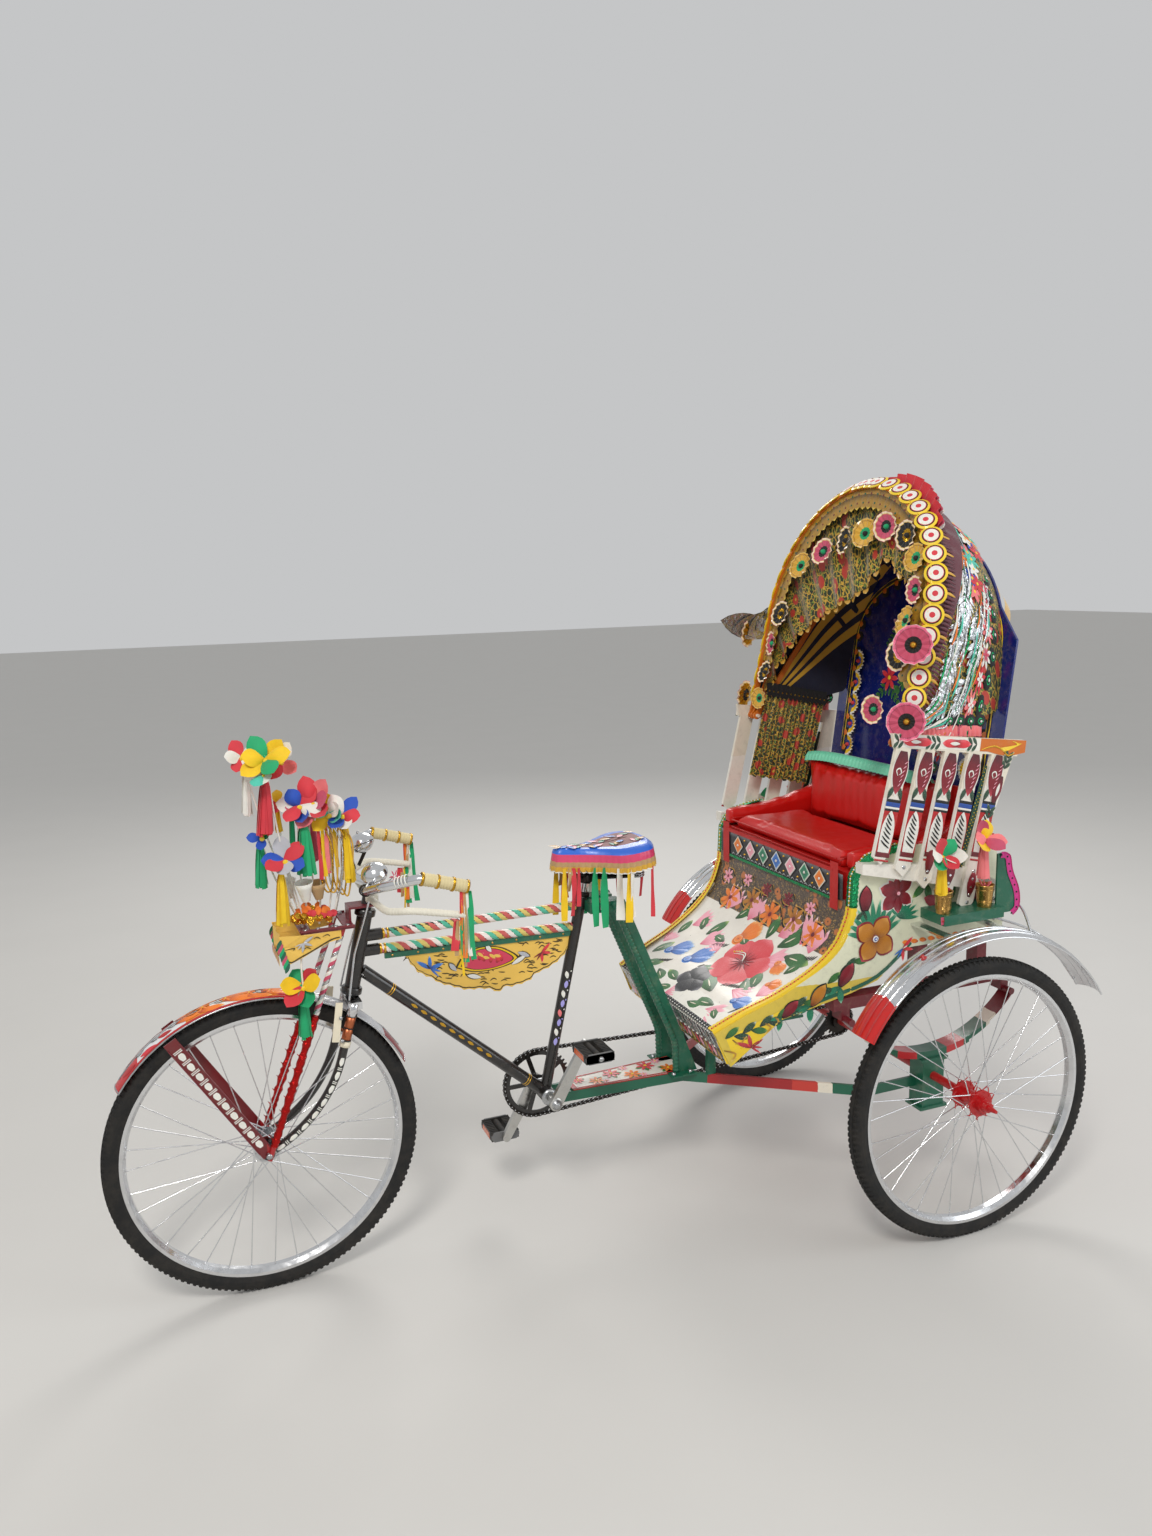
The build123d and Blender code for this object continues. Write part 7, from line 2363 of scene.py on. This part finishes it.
class RickshawTassels(bpy.types.Operator):
    """Paper flowers and tassels over the carrier, and the cut pennant below it."""

    bl_idname = "rickshaw.tassels"
    bl_label = "Paper flowers"

    def execute(self, context):
        rng = random.Random(31)
        strips = context.scene.rickshaw_sizes.tassel_strips
        bunch = Shape("carrier_tassels")
        for x, y, top, low, width, name, lean in (
            (1606, -14, 1236, 1128, 24, "paper_white", 0.03),
            (1570, 22, 1214, 1086, 42, "paper_red", 0.06),
            (1588, 4, 1068, 966, 30, "paper_green", 0.03),
            (1552, 42, 1004, 884, 36, "paper_yellow", 0.02),
            (1541, -30, 1146, 1082, 18, "paper_yellow", 0),
            (1494, 30, 1107, 990, 48, "paper_green", -0.02),
            (1511, -24, 1134, 1002, 16, "paper_green", 0.03),
            (1402, 26, 1103, 962, 28, "paper_yellow", -0.03),
            (1392, -40, 1098, 968, 24, "paper_yellow", 0),
            (1466, -44, 1118, 1000, 26, "paper_rose", -0.03),
            (1524, 60, 728, 620, 34, "paper_green", 0),
        ):
            tassel(bunch, at(x, y, top), top - low, width, name, strips, rng, (lean, 0, 0))
        for x, y, z, size, names, count in (
            (1612, -12, 1262, 36, ("paper_white", "paper_red", "paper_white"), 5),
            (1566, 18, 1256, 46, ("paper_yellow", "paper_green", "paper_yellow"), 6),
            (1530, -8, 1246, 38, ("paper_pink", "paper_red", "paper_white"), 5),
            (1574, 26, 1222, 36, ("paper_white", "paper_teal", "paper_yellow"), 5),
            (1500, 16, 1146, 40, ("paper_white", "paper_blue", "paper_red"), 6),
            (1470, 20, 1150, 46, ("paper_rose", "paper_red", "paper_pink"), 6),
            (1436, 16, 1120, 38, ("paper_teal", "paper_yellow", "paper_white"), 5),
            (1407, 22, 1116, 38, ("paper_red", "paper_white", "paper_blue"), 6),
            (1541, 34, 1030, 42, ("paper_blue", "paper_grey", "paper_red"), 6),
            (1584, 6, 1082, 26, ("paper_blue", "paper_yellow", "paper_green"), 4),
            (1540, -28, 1150, 28, ("paper_red", "paper_yellow", "paper_orange"), 4),
            (1523, 60, 742, 44, ("paper_yellow", "paper_green", "paper_red"), 6),
        ):
            paper_petals(bunch, at(x, y, z), Vector((0.35, 0.75, 0.55)), size, names, rng, count)
            dot(bunch, Skin(lambda a, b, p=(x, y, z): at(p[0] + a, p[1] + 12, p[2] + b), -1), (0, 0), 6,
                "yellow", 2, 1.5, 10)
        # Gold loops
        for k in range(5):
            x = 1452 - 9 * k
            path = [at(x, 24 + 3 * k, 1104), at(x - 16 - 3 * k, 32, 1050), at(x - 14, 30, 962 - 6 * k),
                    at(x - 1, 26, 946), at(x + 9, 24, 980), at(x + 5, 22, 1050), at(x, 24, 1104)]
            bunch.tube(smooth_path(path, 7), 0.0021, ("gold_foil", "gold_cloth", "silver_foil")[k % 3], 6)
            name = ("paper_red", "paper_yellow", "paper_pink", "paper_tan", "paper_yellow")[k]
            streamer(bunch, at(x + 10, 26, 1096), 120 - 6 * k, 9, name, rng)
        # Stems from the carrier, bent outwards
        for base, tip in (
            ((1500, 0, 868), (1612, -12, 1254)), ((1500, 10, 868), (1566, 18, 1250)),
            ((1490, 8, 868), (1500, 14, 1140)), ((1470, 8, 868), (1470, 18, 1144)),
            ((1450, 6, 868), (1436, 14, 1114)), ((1440, 12, 868), (1407, 20, 1110)),
            ((1508, -10, 868), (1586, 4, 1076)), ((1510, 20, 868), (1545, 30, 1024)),
            ((1430, -20, 868), (1392, -40, 1102)), ((1460, -20, 868), (1466, -44, 1120)),
            ((1505, -20, 868), (1540, -28, 1146)),
            ((1496, 54, 862), (1522, 60, 738)),
        ):
            a, b = at(*base), at(*tip)
            middle = a.lerp(b, 0.5) + Vector((0.012 * (1 if tip[0] > base[0] else -1), 0, 0.01))
            bunch.tube(smooth_path([a, middle, b], 8), 0.0022, "paper_white", 6)
        # Paper cups
        for x, y, z, h in ((1498, 26, 930, 46), (1468, 18, 930, 40), (1530, -20, 930, 44)):
            bunch.lathe([(9, 0), (17, h * 0.7), (22, h), (20, h - 1), (8, 1)], at(x, y, z),
                        (0.1, 0.1, 1), "paper_white" if x > 1480 else "paper_tan", 14)
        for k in range(12):
            turn = 2.4 * k
            spot = at(1486 + 34 * math.cos(turn), 20 + 22 * math.sin(turn), 888 + 4 * (k % 4))
            paper_petals(bunch, spot, Vector((0.2 * math.cos(turn), 0.8, 0.5)), 16,
                         ("gold_foil", "paper_orange", "paper_red"), rng, 4)
        bunch.make("steering")
        # The pennant hung from the carrier's edges, with a fringe of leaves down its front
        pennant = Shape("carrier_pennant")
        for side in (-1, 1):
            face = Skin(lambda a, b, s=side: at(a, s * (63.5 + 4 * math.sin(a / 26)), b), -side)
            outline = [(1430, 862), (1520, 864), (1568, 866), (1562, 838), (1548, 800), (1520, 812),
                       (1490, 826), (1458, 838), (1430, 842)]

            def pennant_point(a, b, d, s=side):
                return at(a, s * (62.6 + 4 * math.sin(a / 26) + d), b)

            pennant.plate(outline, pennant_point, 0.9, "banner_yellow")
            stroke(pennant, face, [(1564, 850), (1550, 806), (1520, 816), (1458, 842), (1434, 846)], 3,
                   "umber", 0.8, False)
            swallow(pennant, face, (1516, 846), 26, ("paper_grey", "paper_grey", "paper_white"), 2.6, 1.2)
            for x, z, turn in ((1478, 850, 0.6), (1456, 852, 0.9), (1540, 832, 2.0), (1500, 830, 0.2)):
                stroke(pennant, face, [(x, z), (x + 9 * math.cos(turn), z + 5), (x + 17, z + 2)], 2.4,
                       "umber", 0.8)
            for k in range(7):
                petal(pennant, face, (1564 - 2.4 * k, 858 - 9 * k), -1.2, 26, 10,
                      ("green", "paper_rose", "paper_green")[k % 3], 1.4, 0.5, 5, 0.3, 0.6)
        pennant.grid([[at(1566 + 2 * math.sin(y / 9), y, z) for y in range(-62, 63, 6)]
                      for z in (866, 840, 812)], "banner_yellow")
        for k in range(15):
            y = -56 + 8 * k
            front = Skin(lambda a, b: at(1569, a, b), 1)
            name = ("paper_red", "green", "paper_yellow")[k % 3]
            petal(pennant, front, (y, 818), -math.pi / 2, 24, 9, name, 1.0, 0.5, 5, 0.5, 0.6)
        pennant.make("steering")
        # Bolts and a rim on the carrier's deck
        deck = Shape("carrier_bolts")
        for x in (1412, 1440, 1480, 1508):
            for side in (-1, 1):
                deck.lathe([(0, 4), (4.6, 4), (5, 0)], at(x, side * 53, 868), (0, 0, 1), "steel", 6)
        for start, end in (((1399, -62), (1520, -62)), ((1399, 62), (1520, 62)), ((1520, -62), (1520, 62))):
            deck.tube([at(*start, 869), at(*end, 869)], 0.003, "maroon", 8)
        deck.make("steering")
        return {"FINISHED"}


class RickshawSaddle(bpy.types.Operator):
    """The printed saddle cover with its frill, ribbons and the rails under it."""

    bl_idname = "rickshaw.saddle"
    bl_label = "Saddle"

    def execute(self, context):
        rng = random.Random(37)
        half = [(644, 58), (662, 92), (690, 104), (716, 104), (746, 88), (772, 64), (800, 44), (830, 31),
                (860, 24), (884, 18)]
        around = half + [(891, 0)] + [(x, -y) for x, y in reversed(half)] + [(637, 0)]
        around = [Vector((*pair, 0)) for pair in around]
        ring = resample(smooth_path(around + around[:1], 6), 145)[:-1]
        cover = Shape("saddle_cover")

        def rise(x):
            """How much the top rises or dips along the saddle."""
            return 7 * max(0, (740 - x) / 100) - 5 * math.sin(math.pi * min(1, max(0, (x - 700) / 190)))

        def layer(share, z, wave=0.0, out=0.0):
            """The saddle's outline at a share of its size, with 46 waves round it."""
            row = []
            for k, p in enumerate(ring):
                middle = Vector((min(max(p.x, 690), 850), 0, 0))
                q = middle + (p - middle) * share
                grow = (p - middle).normalized() * (out + wave * math.sin(math.tau * 46 * k / 144))
                row.append(at(q.x + grow.x, q.y + grow.y, z + rise(q.x)))
            return row

        tops = [layer(0.02, 981), layer(0.3, 981), layer(0.55, 980), layer(0.78, 978)]
        cover.grid(tops[:3], "multi_cloth", closed=True, size=(4, 12))
        cover.grid(tops[2:], "saddle_blue", closed=True, size=(2, 12))
        sides = [tops[-1], layer(0.93, 973), layer(1.0, 965, 0.5), layer(1.02, 955, 1.2)]
        cover.grid(sides[:3], "saddle_blue", closed=True)
        cover.grid(sides[2:], "saddle_pink", closed=True)
        frill = [sides[-1], layer(1.02, 946, 2.2, 1), layer(1.02, 934, 3.6, 2.5), layer(1.02, 922, 4.8, 3)]
        cover.grid(frill[:2], "saddle_pink", closed=True, size=(1, 60))
        cover.grid(frill[1:3], "paper_tan", closed=True, size=(1, 60))
        cover.grid(frill[2:], "gold_cloth", closed=True, size=(1, 60))
        hem = layer(1.02, 919, 5.0, 3)
        cover.grid([frill[-1], hem], "paper_white", closed=True)
        inner = [hem, layer(0.97, 926), layer(0.5, 930), layer(0.02, 930)]
        cover.grid(inner, "black", closed=True)
        for k in range(13):
            x = 655 + 215 * k / 12
            y = 70 * ((892 - x) / 248) ** 1.2
            face = Skin(lambda a, b, o=x: at(o + a, b, 981 + rise(o)), 1)
            for side in (-1, 1):
                petal(cover, face, (0, side * y * 0.45), 0.5 * side + 0.6 * (k % 3), 30, 13,
                      ("gilt", "jade", "blush", "bluebell")[k % 4], 1.6, 0.5, 5, 0.3, 0.6)
        piece = cover.make("chassis")
        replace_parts(piece, "saddle")
        ribbons = Shape("saddle_ribbons")
        for side in (1, -1):
            for x, y, length, width, name in (
                (872, 24, 132, 15, "paper_yellow"), (850, 30, 122, 12, "paper_red"),
                (838, 34, 96, 10, "paper_red"), (800, 48, 150, 16, "paper_green"),
                (780, 60, 152, 18, "paper_green"), (750, 84, 130, 20, "paper_white"),
                (730, 98, 134, 17, "paper_yellow"), (722, 100, 122, 10, "paper_white"),
                (668, 98, 128, 10, "paper_red"), (858, 26, 60, 11, "paper_tan"),
            ):
                streamer(ribbons, at(x, side * (y + 4), 930), length, width, name, rng,
                         (0.02, 0.02 * side, 0))
        streamer(ribbons, at(636, -30, 934), 120, 9, "paper_red", rng)
        ribbons.make("chassis")
        under = Shape("saddle_rails")
        post = seat_x(905)
        for side in (-1, 1):
            under.tube(smooth_path([at(668, side * 52, 922), at(716, side * 40, 906),
                                    at(790, side * 20, 902), at(840, side * 13, 910),
                                    at(866, side * 6, 924)], 8),
                       0.0038, "dark_steel", 8)
            coil = [at(684 + 13 * math.cos(t * 0.7), side * 56 + 13 * math.sin(t * 0.7), 896 + 0.62 * t)
                    for t in range(46)]
            under.tube(coil, 0.0024, "steel", 6)
            under.tube([at(684, side * 56, 896), at(post, side * 18, 896)], 0.005, "dark_steel", 8)
        under.lathe([(0, -27), (9, -27), (12, -24), (12, 24), (9, 27), (0, 27)], at(post, 0, 897),
                    (0, 1, 0), "dark_steel", 16)
        under.lathe([(12.4, 0), (16, 1), (16, 18), (12.4, 19)], at(seat_x(880), 0, 880), (-0.22, 0, 1),
                    "dark_steel", 18)
        under.make("chassis")
        return {"FINISHED"}


class RickshawStays(bpy.types.Operator):
    """The cord on the seat stays, their feet, and the painted plate between the rails."""

    bl_idname = "rickshaw.stays"
    bl_label = "Stays and rail plate"

    def execute(self, context):
        stays = Shape("stay_cord")
        for side in (-1, 1):
            path = [at(752, side * 50, 836), at(700, side * 50, 712), at(640, side * 50, 568),
                    at(589, side * 50, 446), at(583, side * 50, 398), at(582, side * 50, 352)]
            wound(stays, smooth_path(path, 6), 6.8, 2.4, 11, "green", 10)
            foot = [(536, 0), (604, 0), (604, 3.5), (536, 3.5)]
            stays.plate(foot, lambda a, b, d, s=side: at(a, s * (26 + d), 348.5 + b), 52, "green")
            for x in (546, 594):
                stays.lathe([(0, 5), (5, 5), (6, 0)], at(x, side * 62, 352), (0, 0, 1), "steel", 6)
            stays.lathe([(0, 4), (8, 3), (9, 0)], at(SEAT_LUG[0] - 40, side * 51, 826), (0, side, 0),
                        "steel", 8)
        stays.make("chassis")
        plate = Shape("rail_plate")
        outline = [(556, -50), (864, -33), (864, 33), (556, 50)]
        plate.plate(outline, lambda a, b, d: at(a, b, 349 + d), 3, "white", "red")
        top = Skin(lambda a, b: at(a, b, 352.4), 1)
        for k, (x, y, size, name) in enumerate((
            (590, 20, 24, "marigold"), (640, -16, 27, "hibiscus"), (692, 16, 25, "marigold"),
            (742, -10, 25, "hibiscus"), (792, 12, 22, "marigold"), (836, -8, 18, "hibiscus"),
            (604, -30, 16, "blush"), (700, -26, 14, "blush"), (666, 30, 13, "blush"),
            (770, 24, 12, "blush"),
        )):
            leaf_pair(plate, top, (x, y), 0.8 * k, size * 1.2)
            flower(plate, top, (x, y), size, 7, name, "yellow", 1.4)
        band(plate, top, [(860, -30), (860, 30)], 14, "red", 0.8)
        for side in (-1, 1):
            band(plate, top, [(560, side * 46), (860, side * 30)], 5, "red", 0.8)
        # Painted bars on the rails' outer faces
        for side in (-1, 1):
            start, stop = Vector((560, 45)), Vector((180, 322))
            run = (stop - start).normalized()
            face = Skin(lambda a, b, s=side: at(start.x + run.x * a + 4.2 * abs(run.y),
                                                s * (start.y + run.y * a - 4.2 * run.x), 335 + b), -side)
            length = (stop - start).length
            for k in range(8):
                a = 40 + 54 * k
                if a < length - 20:
                    petal(plate, face, (a, 0), 0.0, 34, 15, ("hibiscus", "blush", "marigold")[k % 3],
                          1.2, 0.5, 6, 0.3, 0.8)
        plate.make("chassis")
        return {"FINISHED"}


def swollen(node, name, cap):
    """A pad: the CAD solid drawn in, then blown up as cloth; no point moves further than the cap."""
    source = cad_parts[node]
    mesh = bpy.data.meshes.new_from_object(source.evaluated_get(bpy.context.evaluated_depsgraph_get()))
    mesh.transform(source.matrix_world)
    piece = bpy.data.objects.new(name, mesh)
    scene = bpy.context.scene
    scene.collection.objects.link(piece)
    low = Vector(min(v.co[i] for v in mesh.vertices) for i in range(3))
    high = Vector(max(v.co[i] for v in mesh.vertices) for i in range(3))
    middle = (low + high) / 2
    for vertex in mesh.vertices:
        for i in range(3):
            reach = (high[i] - low[i]) / 2
            vertex.co[i] = middle[i] + (vertex.co[i] - middle[i]) * (1 - PAD_SHRINK / reach / 2)
    remesh = piece.modifiers.new("remesh", "REMESH")
    remesh.mode = "VOXEL"
    remesh.voxel_size = PAD_VOXEL
    for other in bpy.context.selected_objects:
        other.select_set(False)
    bpy.context.view_layer.objects.active = piece
    piece.select_set(True)
    bpy.ops.object.modifier_apply(modifier="remesh")
    rest = [vertex.co.copy() for vertex in piece.data.vertices]
    cloth = piece.modifiers.new("cloth", "CLOTH")
    cloth.settings.use_pressure = True
    cloth.settings.uniform_pressure_force = PAD_PRESSURE
    cloth.settings.quality = 5
    cloth.settings.tension_stiffness = 18
    cloth.settings.compression_stiffness = 12
    cloth.settings.effector_weights.gravity = 0
    cloth.point_cache.frame_start = 1
    cloth.point_cache.frame_end = PAD_FRAMES
    for number in range(1, PAD_FRAMES + 1):
        scene.frame_set(number)
    bpy.ops.object.modifier_apply(modifier="cloth")
    scene.frame_set(1)
    for vertex, start in zip(piece.data.vertices, rest):
        moved = vertex.co - start
        if moved.length > cap:
            vertex.co = start + moved.normalized() * cap
        for i in range(3):
            vertex.co[i] = min(max(vertex.co[i], low[i] - cap * 0.25), high[i] + cap * 0.6)
    piece.data.update()
    return piece


class RickshawCushions(bpy.types.Operator):
    """The padded seat, back and arms, their seams, and the aqua frill."""

    bl_idname = "rickshaw.cushions"
    bl_label = "Cushions"

    def execute(self, context):
        swell = context.scene.rickshaw_sizes.pad_swell
        pads = {}
        for node, name, cap in (
            ("seat_cushion", "seat_pad", swell), ("back_cushion", "back_pad", swell),
            ("arm_pad_left", "arm_pad_l", swell * 0.6), ("arm_pad_right", "arm_pad_r", swell * 0.6),
        ):
            pad = swollen(node, name, cap)
            low = min(v.co.z for v in pad.data.vertices)
            high = max(v.co.z for v in pad.data.vertices)
            if name == "back_pad":
                # Gathers run down from the top edge and in from its corners
                for vertex in pad.data.vertices:
                    share = (vertex.co.z - low) / (high - low)
                    phase = vertex.co.y * 150 + 2.2 * math.sin(vertex.co.y * 21)
                    fold = math.sin(phase) * (0.35 + 0.65 * abs(vertex.co.y) / 0.27)
                    vertex.co.x += 0.0032 * fold * share ** 1.4
                    vertex.co.z += 0.0016 * fold * share ** 2
            if name.startswith("arm"):
                for vertex in pad.data.vertices:
                    wave = math.sin(vertex.co.x * 90 + 1.5 * math.sin(vertex.co.x * 17))
                    vertex.co.z += 0.0016 * wave * (vertex.co.z - low) / (high - low)
            subdivision = pad.modifiers.new("subdivision", "SUBSURF")
            subdivision.levels = subdivision.render_levels = 1
            bpy.ops.object.modifier_apply(modifier="subdivision")
            pad.data.materials.clear()
            pad.data.materials.append(finish("seat_red"))
            for face in pad.data.polygons:
                face.use_smooth = True
            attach(pad, "chassis")
            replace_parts(pad, node)
            pads[name] = BVHTree.FromObject(pad, context.evaluated_depsgraph_get())
        seams = Shape("seat_seams")
        for z in (912, 932):
            path = [at(234.5 + (1.5 if z < 920 else 0), y, z) for y in range(-262, 263, 12)]
            seams.tube(path, 0.0022, "trim_red", 8)
        for s in (-1, 1):
            path = []
            for k in range(24):
                x = 228 - 240 * k / 23
                hit = pads["seat_pad"].ray_cast(at(x, s * 262, 1100), Vector((0, 0, -1)))[0]
                path.append(hit + Vector((0, 0, 0.001)) if hit else at(x, s * 262, 936))
            seams.tube(path, 0.002, "trim_red", 8)
        # The aqua frill along the back's top edge
        frill = []
        for k in range(190):
            y = -268 + 536 * k / 189
            drop = 14 * (abs(y) / 268) ** 4
            wave = math.sin(k * 1.1)
            frill.append([at(-54 + wave * 2, y, 1108 - drop),
                          at(-44 + 4 * wave, y + 1, 1122 - drop + wave),
                          at(-30 + 5 * wave, y, 1124 - drop),
                          at(-20 + 4 * wave, y, 1112 - drop), at(-16 + 3 * wave, y, 1098 - drop)])
        seams.grid(frill, "aqua", size=(60, 1), flip=True)
        seams.make("chassis")
        return {"FINISHED"}


STEPS = (
    RickshawFinishes,
    RickshawStage,
    RickshawTyres,
    RickshawHood,
    RickshawHoodTrim,
    RickshawHoodSides,
    RickshawCurtains,
    RickshawTray,
    RickshawPanels,
    RickshawSlats,
    RickshawDrive,
    RickshawTubes,
    RickshawFork,
    RickshawHandlebar,
    RickshawTassels,
    RickshawSaddle,
    RickshawStays,
    RickshawCushions,
)


class RickshawPanel(bpy.types.Panel):
    """The rickshaw's settings and steps."""

    bl_idname = "VIEW3D_PT_rickshaw"
    bl_label = "Rickshaw"
    bl_space_type = "VIEW_3D"
    bl_region_type = "UI"
    bl_category = "Rickshaw"

    def draw(self, context):
        layout = self.layout
        for group in (context.scene.rickshaw_sizes, context.scene.rickshaw_colours):
            for name in group.bl_rna.properties.keys():
                if name not in ("rna_type", "name"):
                    layout.prop(group, name)
        for step in STEPS:
            layout.operator(step.bl_idname)


def register():
    """Registers the settings, the steps and the panel."""
    for item in (RickshawSizes, RickshawColours, *STEPS, RickshawPanel):
        bpy.utils.register_class(item)
    bpy.types.Scene.rickshaw_sizes = PointerProperty(type=RickshawSizes)
    bpy.types.Scene.rickshaw_colours = PointerProperty(type=RickshawColours)


def unregister():
    """Takes them away again."""
    del bpy.types.Scene.rickshaw_colours
    del bpy.types.Scene.rickshaw_sizes
    for item in (RickshawPanel, *reversed(STEPS), RickshawColours, RickshawSizes):
        bpy.utils.unregister_class(item)


def main():
    """Builds the whole model in order."""
    register()
    for step in STEPS:
        group, name = step.bl_idname.split(".")
        getattr(getattr(bpy.ops, group), name)()


if __name__ == "__main__":
    main()
